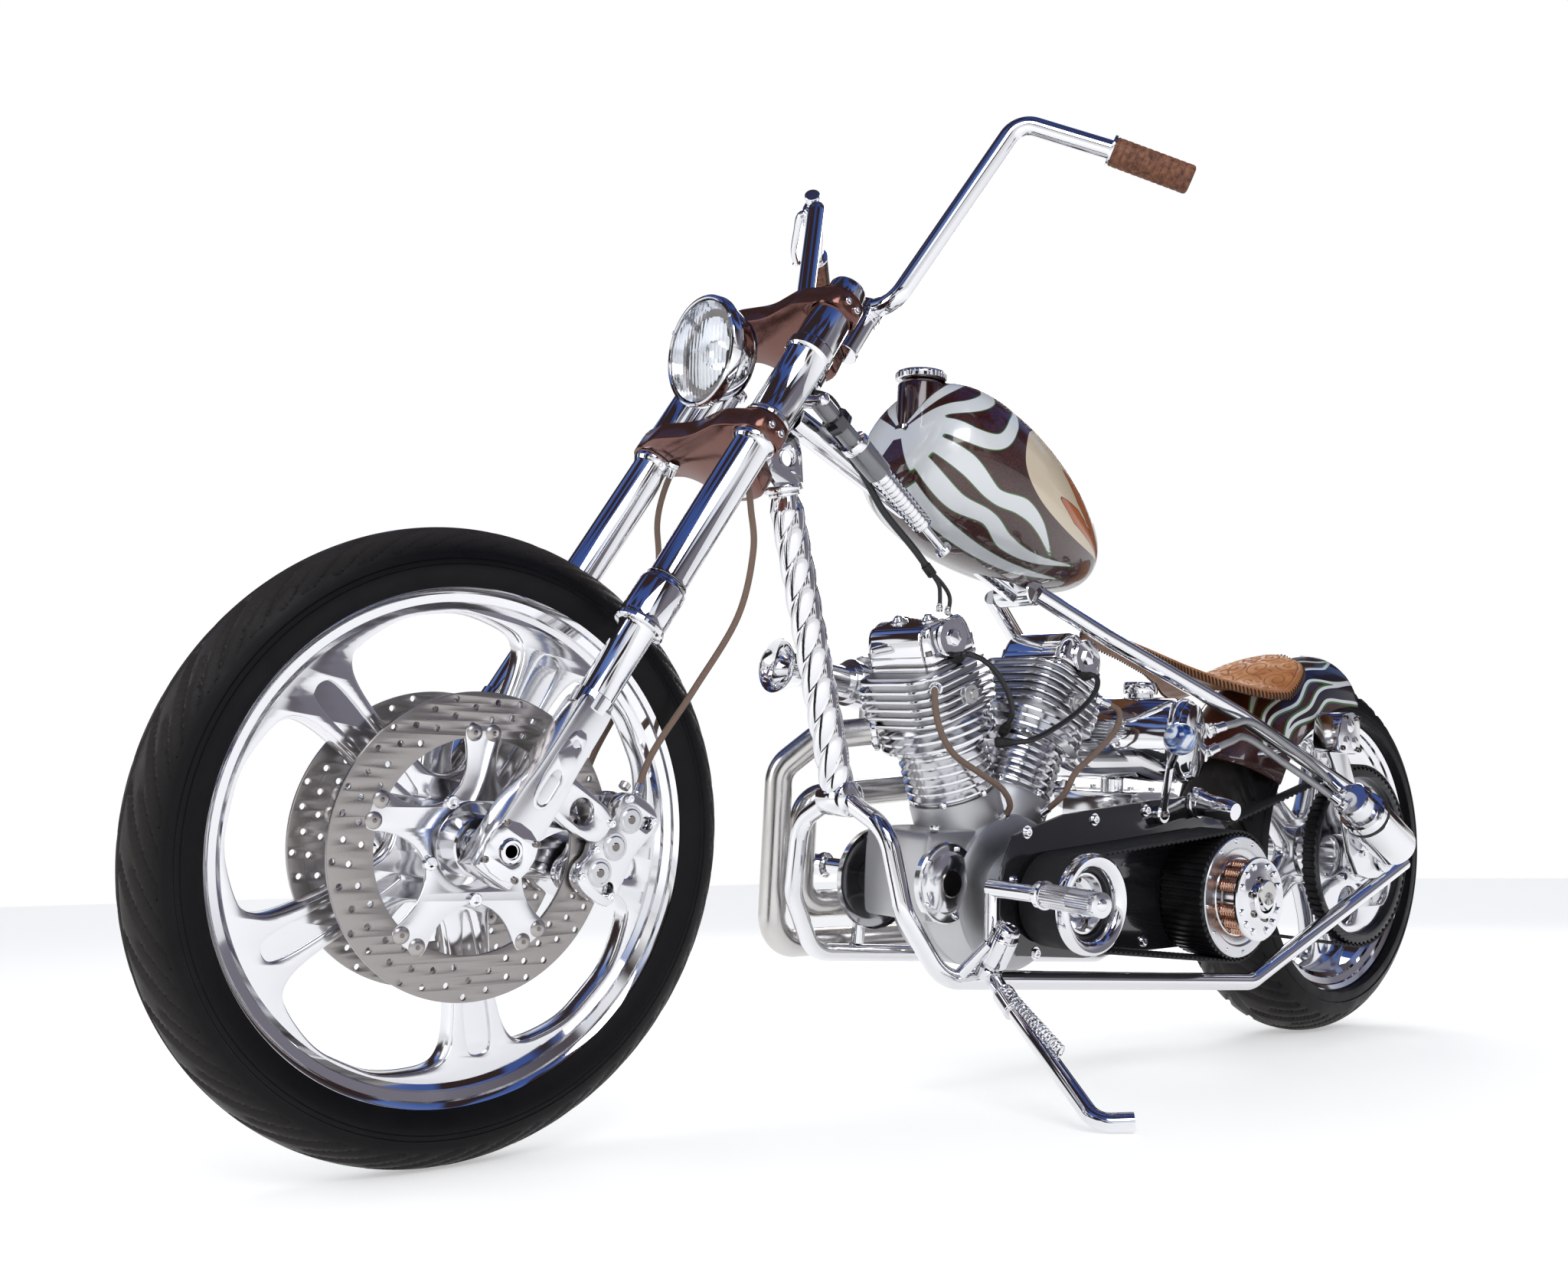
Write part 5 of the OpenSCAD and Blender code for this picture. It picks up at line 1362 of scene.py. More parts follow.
# %% Toothed pulleys
def gear_ring(r, depth, teeth, share=0.5):
    """The outline of a toothed pulley."""
    points = []
    for i in range(teeth):
        for a, d in ((0.0, 0), (share * 0.8, 0), (share, depth), (0.92, depth)):
            t = 2 * math.pi * (i + a) / teeth
            points.append(((r - d) * math.cos(t), (r - d) * math.sin(t)))
    return points

dark_anodised = finish("black anodised pulley", (0.035, 0.035, 0.037), 0.28, 0.7, 2.0, 0.1, 0.2)
crank_pulley = Piece("front_pulley_toothed", "frame", BIKE @ shift(CRANK[0], 0, CRANK[1]), "polished_alloy")
crank_pulley.add(cut(gear_ring(58.6, 2.6, 34), 134, 203.6, [circle(44, count=60)], 0.3), dark_anodised)
crank_pulley.add(turned([(12, 133), (40, 133), (44, 136), (44, 196), (41, 199), (38, 199), (34, 186),
        (26, 182), (21, 186), (19.6, 203), (17.5, 205), (12, 205)], 64, closed=True), polished)
crank_pulley.add(turned([(49, 204.4), (68, 204.4), (69, 205.5), (69, 213), (67, 218), (63.5, 220), (57, 219),
        (50.5, 214), (49, 211)], 96, closed=True), chrome)
for i in range(5):
    a = math.radians(i * 72 + 20)
    crank_pulley.add(bolt(4.4, 4), dark_chrome, shift(31 * math.cos(a), 184.5, 31 * math.sin(a)))
crank_pulley.add(bolt(15, 10, "hexagon"), chrome, shift(0, 203.5, 0))
crank_pulley.make(replaces=["front_pulley"], sharp=34)

# %% [markdown]
# ## Open clutch
# The clutch turns in plain sight. From the outside in it has a bright guard ring,
# a pressure plate on sprung posts, coil springs of copper-coloured wire in four
# groups, and the black toothed basket behind. The springs are real helices.

# %% Clutch basket and plates
basket = Piece("clutch_open", "frame", BIKE @ shift(CLUTCH[0], 0, CLUTCH[1]), "polished_alloy")
basket.add(cut(gear_ring(93.6, 2.8, 56), 134, 203.6, [circle(80, count=80)], 0.3), dark_anodised)
basket.add(turned([(20, 133), (80, 133), (80, 150), (78, 152), (20, 152)], 80, closed=True), cast)
basket.add(turned([(80.2, 150), (80.2, 203), (78.4, 204), (76.5, 203), (76.5, 150)], 96, closed=True),
           machined)
for k in range(6):
    basket.add(turned([(40, 160 + k * 6.4), (75.6, 160 + k * 6.4), (75.6, 163.4 + k * 6.4),
                       (40, 163.4 + k * 6.4)], 72, closed=True), disc_steel if k % 2 else bronze_plate)
basket.add(turned([(60, 203.2), (89, 203.2), (90, 204.2), (90, 208.6), (88.6, 210), (74, 210), (71, 207.6),
                   (62, 207.6), (60, 206.4)], 110, closed=True), machined)
for i in range(24):
    a = math.radians(i * 15 + 7)
    if i % 2:
        basket.add(bolt(3.0, 2.2), chrome, shift(83 * math.cos(a), 209.6, 83 * math.sin(a)))
basket.add(turned([(20, 200), (58, 200), (59.4, 201.6), (59.4, 206), (58, 207.4), (46, 207.4), (44, 209),
                   (20, 209)], 96, closed=True), polished)
print("clutch basket ready")

# %% Clutch springs and cover
def coil(r, wire_r, turns, length, count=11):
    t = np.linspace(0, 1, int(turns * count))
    return tube(np.c_[r * np.cos(2 * np.pi * turns * t), length * t, r * np.sin(2 * np.pi * turns * t)],
                wire_r, 8)
for group in range(4):
    for k in (-1, 0, 1):
        a = math.radians(group * 90 + 45 + k * 24)
        spot = shift(50.5 * math.cos(a), 208, 50.5 * math.sin(a))
        basket.add(coil(6.6, 1.35, 6.5, 27), copper, spot)
        basket.add(stepped((0, 0, 0), (0, 30, 0), [(0, 3.2), (30, 3.2)], 20), chrome, spot)
basket.add(turned([(20, 238), (60.5, 238), (62, 239.4), (62, 242.6), (60.5, 244), (40, 244), (37, 246),
                   (20, 246)], 96, closed=True), polished)
for group in range(4):
    for k in (-1, 0, 1):
        a = math.radians(group * 90 + 45 + k * 24)
        basket.add(turned([(0.01, 246.6), (4, 246.6), (5.4, 245.4), (5.4, 243)], 28), chrome,
                   shift(50.5 * math.cos(a), 0, 50.5 * math.sin(a)))
for i in range(6):
    a = math.radians(i * 60 + 15)
    basket.add(bolt(4.6, 5), dark_chrome, shift(30 * math.cos(a), 245.6, 30 * math.sin(a)))
basket.add(turned([(19.9, 203), (26, 203), (26, 236), (28, 238), (28, 252), (26, 254), (19.9, 254)], 56,
                  closed=True), chrome)
basket.add(bolt(15, 8, "hexagon"), chrome, shift(0, 250, 0))
basket.make(replaces=["clutch"], sharp=34)
print("clutch ready")

# %% [markdown]
# ## Motor plate, gearbox and rear pulley
# One plate of black enamel holds engine and gearbox apart. Behind it lies the
# gearbox, a cast box with a polished lid. Both are plates cut to an outline: a 2D
# curve with holes fills itself, and its own bevel eases every edge at once.

# %% Motor plate
PLATE = [(956, 305), (922, 380), (532, 423), (482, 415), (402, 345), (400, 195), (902, 185), (956, 235)]
plate = Piece("motor_plate_enamelled", "frame", BIKE, "black_plate")
plate.add(cut(eased(PLATE, 1), 122.2, 130, [circle(12.6, *CRANK, 40), circle(20.6, *PULLEY, 48)], 1.6),
          black_enamel)
for x, z in ((930, 300), (905, 366), (760, 384), (640, 398), (430, 360), (420, 215), (640, 205), (880, 200)):
    plate.add(bolt(6.4, 5), chrome, shift(x, 130, z))
    plate.add(turned([(5, 130), (9, 130), (9, 131), (5, 131)], 32, closed=True), chrome, shift(x, 0.1, z))
plate.add(turned([(12.8, 130), (40, 130), (42, 131.4), (42, 133), (40, 134), (12.8, 134)], 64, closed=True),
          machined, shift(CRANK[0], -0.5, CRANK[1]))
plate.make(replaces=["motor_plate"], sharp=34)

print("motor plate ready")

# %% Gearbox
gear_case = Piece("gearbox_case", "frame", BIKE, "polished_alloy")
gear_case.add(cut(eased([(402, 208), (410, 205), (614, 205), (622, 213), (622, 348), (612, 356), (412, 356),
        (402, 348)], 2), -84, 84, [], 6), cast)
gear_case.add(cut(eased([(452, 352), (582, 352), (582, 412), (570, 425), (464, 425), (452, 412)], 2), -80,
                  60, [], 5), polished)
for x, z in ((414, 216), (414, 346), (610, 216), (610, 346), (512, 216)):
    gear_case.add(bolt(6, 6), chrome, shift(x, -84, z) @ turn(180, "X"))
for x in (464, 517, 570):
    for y in (-68, 48):
        gear_case.add(bolt(5, 5, "hexagon"), chrome, shift(x, y, 424.6) @ turn(90, "X"))
bolted_cover(gear_case, 512, 285, -84, 54, -1, 6, polished)
gear_case.add(cut(gear_ring(58, 3, 30), 95.4, 118.6, [circle(19.8, count=40)], 0.4), dark_anodised,
              shift(PULLEY[0], 0, PULLEY[1]))
gear_case.add(turned([(20, 84), (34, 84), (34, 122), (20, 122)], 56, closed=True), machined, shift(PULLEY[0],
        0, PULLEY[1]))
gear_case.add(turned([(0.01, 84), (19.6, 84), (19.6, 256), (17.6, 258), (0.01, 258)], 48), brushed,
              shift(PULLEY[0], 0, PULLEY[1]))
gear_case.make(replaces=["gearbox"], sharp=34)

print("gearbox ready")

# %% Rear pulley
drum = Piece("rear_pulley_toothed", "rear_wheel", REAR, "polished_alloy")
drum.add(cut(gear_ring(155.4, 3.4, 70), 95.3, 118.7, [circle(139, count=96)], 0.4), dark_anodised)
drum.add(cut(circle(140, count=120), 99, 111, [*[circle(34, 92 * math.cos(math.radians(72 * i)),
        92 * math.sin(math.radians(72 * i)), 48) for i in range(5)], circle(12.4, count=32)], 2.2), polished)
drum.add(turned([(12.4, 95), (40, 95), (44, 97), (46, 100), (46, 116), (42, 119), (12.4, 119)], 64,
                closed=True), polished)
for i in range(5):
    a = math.radians(i * 72 + 36)
    drum.add(bolt(7, 7), chrome, shift(62 * math.cos(a), 111, 62 * math.sin(a)))
drum.make(replaces=["rear_pulley"], sharp=34)
print("rear pulley ready")

# %% [markdown]
# ## Oil tank, filter and their lines
# The oil tank is a spun drum laid across the frame, with welded domed ends and
# raised rings. The filter hangs from the left stay, and two braided lines run
# between them through bright hexagon fittings.

# %% Oil tank
drum_axis = Vector((-math.sin(math.radians(18)), math.cos(math.radians(18)), 0))
centre = Vector((566, 10, 506))
oil = Piece("oil_tank_drum", "frame", BIKE, "chrome")
oil.add(turned([(0.01, -135), (30, -133.6), (54, -129), (62, -124), (65.4, -117), (66, -112), (64.6, -109),
                (64.6, -103), (66, -100), (66, 100), (64.6, 103), (64.6, 109), (66, 112), (65.4, 117),
                (63, 122), (61, 122.4), (59.6, 124), (56, 132), (44, 134.6), (0.01, 135)], 110), chrome,
        along(centre, centre + drum_axis))
oil.add(turned([(0.01, 134.6), (22, 134.6), (23, 133)], 64), polished, along(centre, centre + drum_axis))
oil.add(turned([(0.01, 60), (18, 60), (20, 62), (20, 71), (26, 72), (27, 75), (27, 86), (25, 90),
                (0.01, 91)], 56), chrome, shift(540, 40, 506) @ turn(90, "X"))
oil.add(turned([(0.01, -90), (18, -90), (18, -60), (0.01, -60)], 40), chrome, shift(556, 0, 506)
        @ turn(90, "X"))
oil.make(replaces=["oil_tank"], sharp=34)

print("oil tank ready")

# %% Oil filter and oil lines
can = Piece("oil_filter_canister", "frame", BIKE, "chrome")
can.add(turned([(0.01, 0), (27, 0), (30, 3), (30, 38), (28, 43), (0.01, 43)], 64), polished,
        along((198, 207, 425), (160, 207, 405)))
length = 130
can.add(turned([(0.01, 0), (36, 0), (38, 2.5), (38, 14), (36.4, 15), (36.4, 22), (38, 23), (38, length - 10),
                (35, length - 3), (28, length - 0.4), (0.01, length)], 80), chrome, along((161, 207, 405.5),
        (47, 207, 345)))
can.add(turned([(36.5, 14.6), (38.3, 15.6), (38.3, 21.6), (36.5, 22.4)], 72, closed=True), black_rubber,
        along((161, 207, 405.5), (47, 207, 345)))
can.add(stepped((180, 200, 420), (176, 147, 464), [(0, 9), (68, 9)], 32), chrome)
can.add(bolt(9, 7, "hexagon"), chrome, along((180, 207, 440), (172, 207, 456)))
can.make(replaces=["oil_filter"], sharp=34)
OIL_LINES = [[(468, 118, 524), (436, 140, 536), (398, 151, 541), (300, 158, 505), (236, 168, 474),
              (204, 200, 432)], [(468, 108, 486), (430, 132, 508), (392, 138, 516), (300, 147, 480),
        (236, 168, 446), (200, 200, 412)]]
hoses("oil_lines_braided", "frame", "braid", OIL_LINES, 6, steel_braid, ["oil_lines"])

print("oil filter and lines ready")

# %% [markdown]
# ## Throttle cable, spark leads and engine hoses
# These run in the open between fixed ends, so each is a smooth curve through a
# few given points. Moulded boots and ferrules at the ends are turned.

# %% Routes of the cable, the leads and the hoses
THROTTLE = [[(1232, 19, 938), (1204, 23, 934), (1176, 24, 905), (1157, 25.5, 862), (1128, 27, 824),
             (1100, 28, 793), (1051, 36, 750), (1018, 36, 722)]]
THIN = [[(1020, 36, 724), (1000, 36, 706), (992, 32, 690), (990, 30, 668)], [(1021, 35, 725), (984, 28, 708),
        (964, 24, 690), (966, 22, 664)]]
LEADS = [[(986, 62, 600), (996, 92, 606), (976, 104, 599), (947, 104, 582), (917, 100, 554), (903, 94, 527),
          (886, 62, 502)], [(722, 62, 592), (722, 94, 594), (731, 104, 574), (760, 104, 546),
        (814, 104, 516), (872, 98, 492), (900, 62, 488)]]
ENGINE_HOSES = [[(1034, 72, 556), (1056, 92, 548), (1052, 98, 506), (1020, 96, 469), (962, 94, 443),
                 (915, 92, 422), (890, 84, 398), (880, 56, 376)], [(692, 74, 560), (672, 100, 545),
        (686, 106, 516), (733, 110, 482), (778, 108, 450), (790, 96, 416), (796, 56, 384)]]
print("routes:", 1 + len(THIN) + len(LEADS) + len(ENGINE_HOSES))

# %% Cable, leads and hoses along their routes
cable = Piece("throttle_cable_cover", "frame", BIKE, "cable")
cable.add(tube(smooth_run(THROTTLE[0], 12), 5, 20), cable_cover)
for route in THIN:
    cable.add(tube(smooth_run(route, 12), 3, 14), cable_cover)
cable.add(stepped((1030, 36, 732), (1012, 36, 717), [(0, 5.6), (4, 7), (18, 7), (23, 5)], 28), black_rubber)
for end, before in (((990, 30, 668), (991, 31, 680)), ((966, 22, 664), (965, 22.4, 678))):
    cable.add(stepped(before, end, [(0, 3.6), (3, 4.4), (12, 3.2)], 20), brushed)
cable.make(replaces=["throttle_cable"], sharp=45)
leads = Piece("spark_leads_and_boots", "frame", BIKE, "cable")
for route in LEADS:
    run = smooth_run(route, 12)
    leads.add(tube(run, 4, 18), cable_cover)
    for a, b in ((run[0], run[7]), (run[-1], run[-8])):
        leads.add(turned([(4, 0), (7.4, 0), (8, 2), (7.8, 12), (6.4, 14), (6.8, 16), (6.0, 18), (6.2, 20),
                (5.2, 24), (4.2, 26)], 28), black_rubber, along(a, b))
leads.make(replaces=["spark_leads"], sharp=45)
hoses("engine_hoses_braided", "frame", "hose", ENGINE_HOSES, 4.5, brown_braid, ["engine_hoses"])
print("cable, leads and engine hoses ready")

# %% [markdown]
# ## Paint
# The tank and the rear fender share one paint scheme: a dark root-beer lacquer
# full of metal flake, a cream panel with spears on the tank, and silver flames
# with a green edge. A flame is drawn as a closed line in side view. For every
# point of the skin its distance to that line is worked out once and stored, and
# the material turns the distance into a crisp flame with a thin green edge.

# %% Distance to a painted shape
def distance_to(outlines, points):
    """Signed distance from points to closed outlines: positive inside any of them."""
    best = np.full(len(points), -1e9)
    for outline in outlines:
        a = np.asarray(outline, float)
        b = np.roll(a, -1, 0)
        near, inside = np.full(len(points), 1e9), np.zeros(len(points), bool)
        for (ax, ay), (bx, by) in zip(a, b):
            ex, ey = bx - ax, by - ay
            px, py = points[:, 0] - ax, points[:, 1] - ay
            t = np.clip((px * ex + py * ey) / max(1e-9, ex * ex + ey * ey), 0, 1)
            near = np.minimum(near, np.hypot(px - t * ex, py - t * ey))
            crosses = (ay > points[:, 1]) != (by > points[:, 1])
            at = ax + (points[:, 1] - ay) / (ey if abs(ey) > 1e-9 else 1e-9) * ex
            inside ^= crosses & (points[:, 0] < at)
        best = np.maximum(best, np.where(inside, near, -near))
    return best

def tongue(path, widths, steps=14):
    """A flame tongue: a smooth path with a width at each of its points, pointed at the end."""
    run = np.array(smooth_run(path, steps))
    wide = np.interp(np.linspace(0, 1, len(run)), np.linspace(0, 1, len(widths)), widths)
    ahead = np.gradient(run, axis=0)
    ahead /= np.linalg.norm(ahead, axis=1)[:, None]
    side = np.c_[-ahead[:, 1], ahead[:, 0]] * wide[:, None] / 2
    return np.vstack((run + side, (run - side)[::-1]))

def stored(made, name, values):
    made.data.attributes.new(name, "FLOAT", "POINT").data.foreach_set("value", np.asarray(values,
            np.float32))

# %% Metal-flake lacquer with painted masks
flake, given, result = new_group("metal flake", (("Scale", 1.0), ("Deep", (0.014, 0.0022, 0.002, 1)),
        ("Bright", (0.16, 0.022, 0.014, 1))), (("Color", "NodeSocketColor"), ("Normal", "NodeSocketVector")))
place = node(flake, "TexCoord")
sized = node(flake, "VectorMath", [(0, place.outputs["Object"])], operation="SCALE")
flake.links.new(given.outputs["Scale"], sized.inputs["Scale"])
cells = node(flake, "TexVoronoi", [("Vector", sized.outputs[0])], Scale=1400.0)
pick = node(flake, "SeparateColor", [("Color", cells.outputs["Color"])])
lit = node(flake, "MapRange", [("Value", pick.outputs["Red"])])
lit.inputs["From Min"].default_value, lit.inputs["From Max"].default_value = 0.55, 1.0
mixed = flake.nodes.new("ShaderNodeMix")
mixed.data_type = "RGBA"
wire(flake, (lit.outputs[0], mixed.inputs["Factor"]), (given.outputs["Deep"], mixed.inputs["A"]),
     (given.outputs["Bright"], mixed.inputs["B"]))
wobble = node(flake, "Bump", [("Height", pick.outputs["Green"])], Strength=0.25, Distance=0.0003)
wire(flake, (mixed.outputs["Result"], result.inputs["Color"]), (wobble.outputs[0], result.inputs["Normal"]))

print("flake group ready")

# %% Layers of paint, each from a stored mask
def layered(tree, base, layers):
    """Paints layers over a base colour. Each layer is (stored mask, from, to, colour)."""
    colour = base
    for mask, low, high, paint in layers:
        value = node(tree, "Attribute", attribute_name=mask)
        edge = node(tree, "MapRange", [("Value", value.outputs["Fac"])])
        edge.inputs["From Min"].default_value, edge.inputs["From Max"].default_value = low, high
        mix = tree.nodes.new("ShaderNodeMix")
        mix.data_type = "RGBA"
        mix.inputs["B"].default_value = (*paint, 1)
        wire(tree, (edge.outputs[0], mix.inputs["Factor"]), (colour, mix.inputs["A"]))
        colour = mix.outputs["Result"]
    return colour

def show_paint(name, layers):
    made = finish(name, (0.03, 0.005, 0.005), 0.30, 0.15, 1.0, 0.05, 0, Coat_Weight=1.0, Coat_Roughness=0.02)
    tree = made.node_tree
    body = main_shader(tree)
    sparkle = tree.nodes.new("ShaderNodeGroup")
    sparkle.node_tree = flake
    wire(tree, (layered(tree, sparkle.outputs["Color"], layers), body.inputs["Base Color"]),
         (sparkle.outputs["Normal"], body.inputs["Normal"]))
    return made
# %% Colours of the tank and the fender
GREEN, SILVER, CREAM, SPEAR = (0.05, 0.16, 0.03), (0.80, 0.82, 0.84), (0.74, 0.62, 0.46), (0.50, 0.13, 0.03)
tank_paint = show_paint("tank lacquer", (("flames", -2.0, -1.3, GREEN), ("flames", -0.4, 0.2, SILVER),
        ("panel", -5.6, -5.0, (0.05, 0.010, 0.008)), ("panel", -0.6, 0.0, CREAM), ("spears", -1.4, -0.8,
        (0.20, 0.05, 0.02)), ("spears", 0.0, 0.6, SPEAR)))
fender_paint = show_paint("fender lacquer", (("flames", -3.6, -2.8, GREEN), ("flames", -0.5, 0.3, SILVER),
        ("flames", 5.0, 5.6, (0.010, 0.004, 0.004))))
print("paints ready")

# %% [markdown]
# ## Fuel tank
# The tank is a teardrop: full and round at the neck, narrow at the seat. It is
# lofted through many rings, so its skin has no flats, and the masks for its
# artwork are stored on the same rings.

# %% Fuel tank
TANK_LENGTH, TANK_HALF, TANK_HEIGHT, TANK_TILT, TANK_MID = 432, 130, 122, 21, (850, 0, 843)
TANK = BIKE @ shift(*TANK_MID) @ turn(-TANK_TILT, "Y")
def tank_full(t):
    return np.sin(np.pi * np.clip(t, 0, 1) ** 0.59) ** 0.43

def tank_skin():
    shares = 0.5 - 0.5 * np.cos(np.pi * np.linspace(0.004, 0.9985, 130))
    angles = 2 * np.pi * np.arange(170) / 170
    rings = []
    for t in shares:
        full = tank_full(t)
        rings.append(np.c_[np.full(170, (0.5 - t) * TANK_LENGTH), full * TANK_HALF * np.cos(angles),
                full * TANK_HEIGHT * np.sin(angles)])
    return skin(rings)
tank = Piece("fuel_tank_painted", "frame", TANK, "paint")
tank.add(tank_skin(), tank_paint)
tank_made = tank.make(replaces=["fuel_tank"], sharp=180)
print("fuel tank:", len(tank_made.data.polygons), "faces")

# %% Artwork on the tank
co = np.zeros(len(tank_made.data.vertices) * 3)
tank_made.data.vertices.foreach_get("co", co)
local = (np.c_[co.reshape(-1, 3), np.ones(len(co) // 3)] @ np.array(TANK.inverted()).T)[:, :3]
# measured round the skin from the side line, so that shapes don't stretch on top
side_view = np.c_[local[:, 0], np.arctan2(local[:, 2] / TANK_HEIGHT, np.abs(local[:, 1]) / TANK_HALF) * 112]
panel = eased([(95, 26), (82, 66), (32, 84), (-40, 76), (-110, 52), (-165, 22), (-198, 0), (-165, -16),
               (-100, -28), (-30, -30), (40, -24), (86, -4)], 4)
spears = [tongue([(-4, 50), (-60, 38), (-120, 20), (-182, 2)], [1, 28, 17, 0.5]), tongue([(-4, 2), (-60, 2),
        (-120, 0), (-184, -4)], [1, 24, 15, 0.5])]
flames = [tongue([(222, 44), (186, 52), (158, 78), (146, 112), (118, 146)], [34, 24, 22, 16, 0.5]),
          tongue([(224, 8), (178, -2), (138, 10), (118, 50), (104, 92)], [40, 26, 20, 17, 0.5]),
          tongue([(222, -40), (170, -44), (110, -56), (56, -46), (6, -52), (-56, -76)], [36, 30, 18, 22, 15,
        0.5]), tongue([(214, -88), (150, -94), (92, -84), (34, -96), (-36, -92), (-120, -66)], [36, 26, 18,
        22, 15, 0.5]), tongue([(196, -136), (120, -132), (50, -130), (-30, -124), (-120, -104)], [34, 24, 20,
        18, 0.5]), tongue([(222, 96), (196, 112), (172, 140), (168, 176)], [30, 22, 18, 0.5]),
          tongue([(228, 60), (224, 0), (224, -60), (222, -120)], [34, 36, 36, 30])]
stored(tank_made, "panel", distance_to([panel], side_view))
stored(tank_made, "spears", distance_to(spears, side_view))
stored(tank_made, "flames", distance_to(flames, side_view))
print("tank artwork:", len(flames), "flame tongues,", len(spears), "spears")

# %% Filler neck and cap
filler = Piece("filler_neck_and_cap", "frame", BIKE @ shift(1014, 0, 930), "chrome")
upright = turn(90, "X")
filler.add(turned([(30, -12), (33, -10), (33, 62), (31, 66), (28, 68), (24, 69), (0.01, 69)], 72), maroon,
           upright)
filler.add(turned([(33, -6), (36, -5), (36, 1), (33, 2)], 72, closed=True), chrome, upright)
filler.add(turned([(0.01, 70), (34, 70), (36, 71.6), (36, 76), (36, 76.2), (36, 80), (34.4, 82), (31, 82),
                   (30, 81), (12, 81.6), (0.01, 81.6)], 96), chrome, upright)
for k in range(36):
    a = 2 * math.pi * k / 36
    filler.add(tube([(35.8 * math.cos(a), 35.8 * math.sin(a), 72.4), (35.8 * math.cos(a), 35.8 * math.sin(a),
            79.4)], 1.1, 8), chrome)
filler.make(replaces=["filler_cap"], sharp=40)
print("filler ready")

# %% [markdown]
# ## Rear fender
# The fender hugs the tyre: one strip of steel, rolled to a shallow arch. Its
# flames lie along it in pairs of loops, the same on both sides of the middle.

# %% Rear fender
FENDER_MIDDLE, FENDER_OUT, FENDER_IN = 241, 117, 112
def fender_section(radius_in):
    """Half section of the fender as (sideways, radius), from edge to edge over the top."""
    a = np.radians(np.linspace(-80, 260, 400))
    y, r = radius_in * 0.9 * np.cos(a), FENDER_MIDDLE + radius_in * np.sin(a)
    keep = r >= 263
    y, r = y[keep], r[keep]
    order = np.argsort(np.arctan2(r - FENDER_MIDDLE, y))
    return np.c_[y[order], r[order]]

def resampled(line, count):
    far = np.r_[0, np.cumsum(np.linalg.norm(np.diff(line, axis=0), axis=1))]
    s = np.linspace(0, far[-1], count)
    return np.c_[np.interp(s, far, line[:, 0]), np.interp(s, far, line[:, 1])]

outer, inner = resampled(fender_section(FENDER_OUT), 110), resampled(fender_section(FENDER_IN), 110)[::-1]
loop = np.vstack((outer, inner))
sweep = np.radians(np.linspace(27, 93, 150))
rings = []
for k, t in enumerate(sweep):
    end = min(k, len(sweep) - 1 - k)
    ease = 1 - 0.012 * max(0, 1 - end / 3)
    r, y = FENDER_MIDDLE + (loop[:, 1] - FENDER_MIDDLE) * ease, loop[:, 0] * ease
    rings.append(np.c_[r * math.cos(t), y, r * math.sin(t)])
fender = Piece("rear_fender_painted", "frame", REAR, "paint")
fender.add(skin(rings), fender_paint)
fender_made = fender.make(sharp=60)
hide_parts("rear_fender")
print("fender:", len(fender_made.data.polygons), "faces")

# %% Flames on the fender, and its brackets
co = np.zeros(len(fender_made.data.vertices) * 3)
fender_made.data.vertices.foreach_get("co", co)
local = (np.c_[co.reshape(-1, 3), np.ones(len(co) // 3)] @ np.array(REAR.inverted()).T)[:, :3]
round_it = np.degrees(np.arctan2(local[:, 2], local[:, 0]))
up = np.hypot(local[:, 0], local[:, 2])
across = np.abs(np.arctan2(local[:, 1] / 0.9, up - FENDER_MIDDLE)) * 112
flat_view = np.c_[(round_it - 60) * 5.6, across]
fender_flames = [tongue([(196, 74), (130, 92), (60, 78), (-10, 96), (-80, 84), (-150, 110)], [66, 40, 30, 30,
        18, 0.5]), tongue([(196, 128), (130, 130), (70, 124), (10, 136), (-60, 124), (-120, 138)],
        [46, 34, 26, 22, 14, 0.5]), tongue([(196, 22), (140, 40), (90, 30), (30, 48), (-30, 40), (-100, 60)],
        [46, 34, 28, 24, 14, 0.5])]
stored(fender_made, "flames", distance_to(fender_flames, flat_view))
brackets = Piece("fender_brackets", "frame", BIKE, "chrome")
for side in (-1, 1):
    brackets.add(stepped((262, side * 80, 492), (268, side * 137, 504), [(0, 8), (57, 8)], 28), chrome)
    brackets.add(bolt(7, 5, "dome"), chrome, along((262, side * 90, 494), (262, side * 100, 494)))
brackets.make(sharp=40)
print("fender artwork:", len(fender_flames), "flame tongues on each side")

# %% [markdown]
# ## Tooled leather seat
# The seat is one pad of thick tan leather, carved all over with scrolls and
# laced along its edge with dark thong. Carving is relief, so the pad is a fine
# grid and its top is really pressed in along the scroll lines. The colour goes
# darker in the cuts, as dye and wax collect there.

# %% Shape of the seat pad
SEAT = [(626, 10, 679, 10), (618, 22, 678, 14), (590, 29, 674, 16), (500, 33, 657, 17), (420, 42, 640, 17),
        (360, 62, 627, 16), (312, 86, 619, 15), (268, 104, 616, 15), (222, 112, 620, 15), (198, 111, 636,
        15), (176, 106, 651, 15), (156, 97, 659, 13.5), (138, 84, 667.5, 13), (120, 62, 672.5, 12),
        (108, 34, 675.5, 11), (102, 18, 677, 10.5)]
rows = np.array(SEAT, float)
far = np.r_[0, np.cumsum(np.linalg.norm(np.diff(rows[:, [0, 2]], axis=0), axis=1))]
LONG, WIDE = 400, 170
s = np.linspace(0, far[-1], LONG)
fine = np.array([np.interp(s, far, rows[:, k]) for k in range(4)]).T
for _ in range(26):
    fine[1:-1] = (fine[:-2] + 2 * fine[1:-1] + fine[2:]) / 4
v = np.linspace(-1, 1, WIDE)
S, V = np.meshgrid(s, v, indexing="ij")
half = fine[:, 1][:, None]
X, Y = np.repeat(fine[:, 0][:, None], WIDE, 1), V * half * 0.985
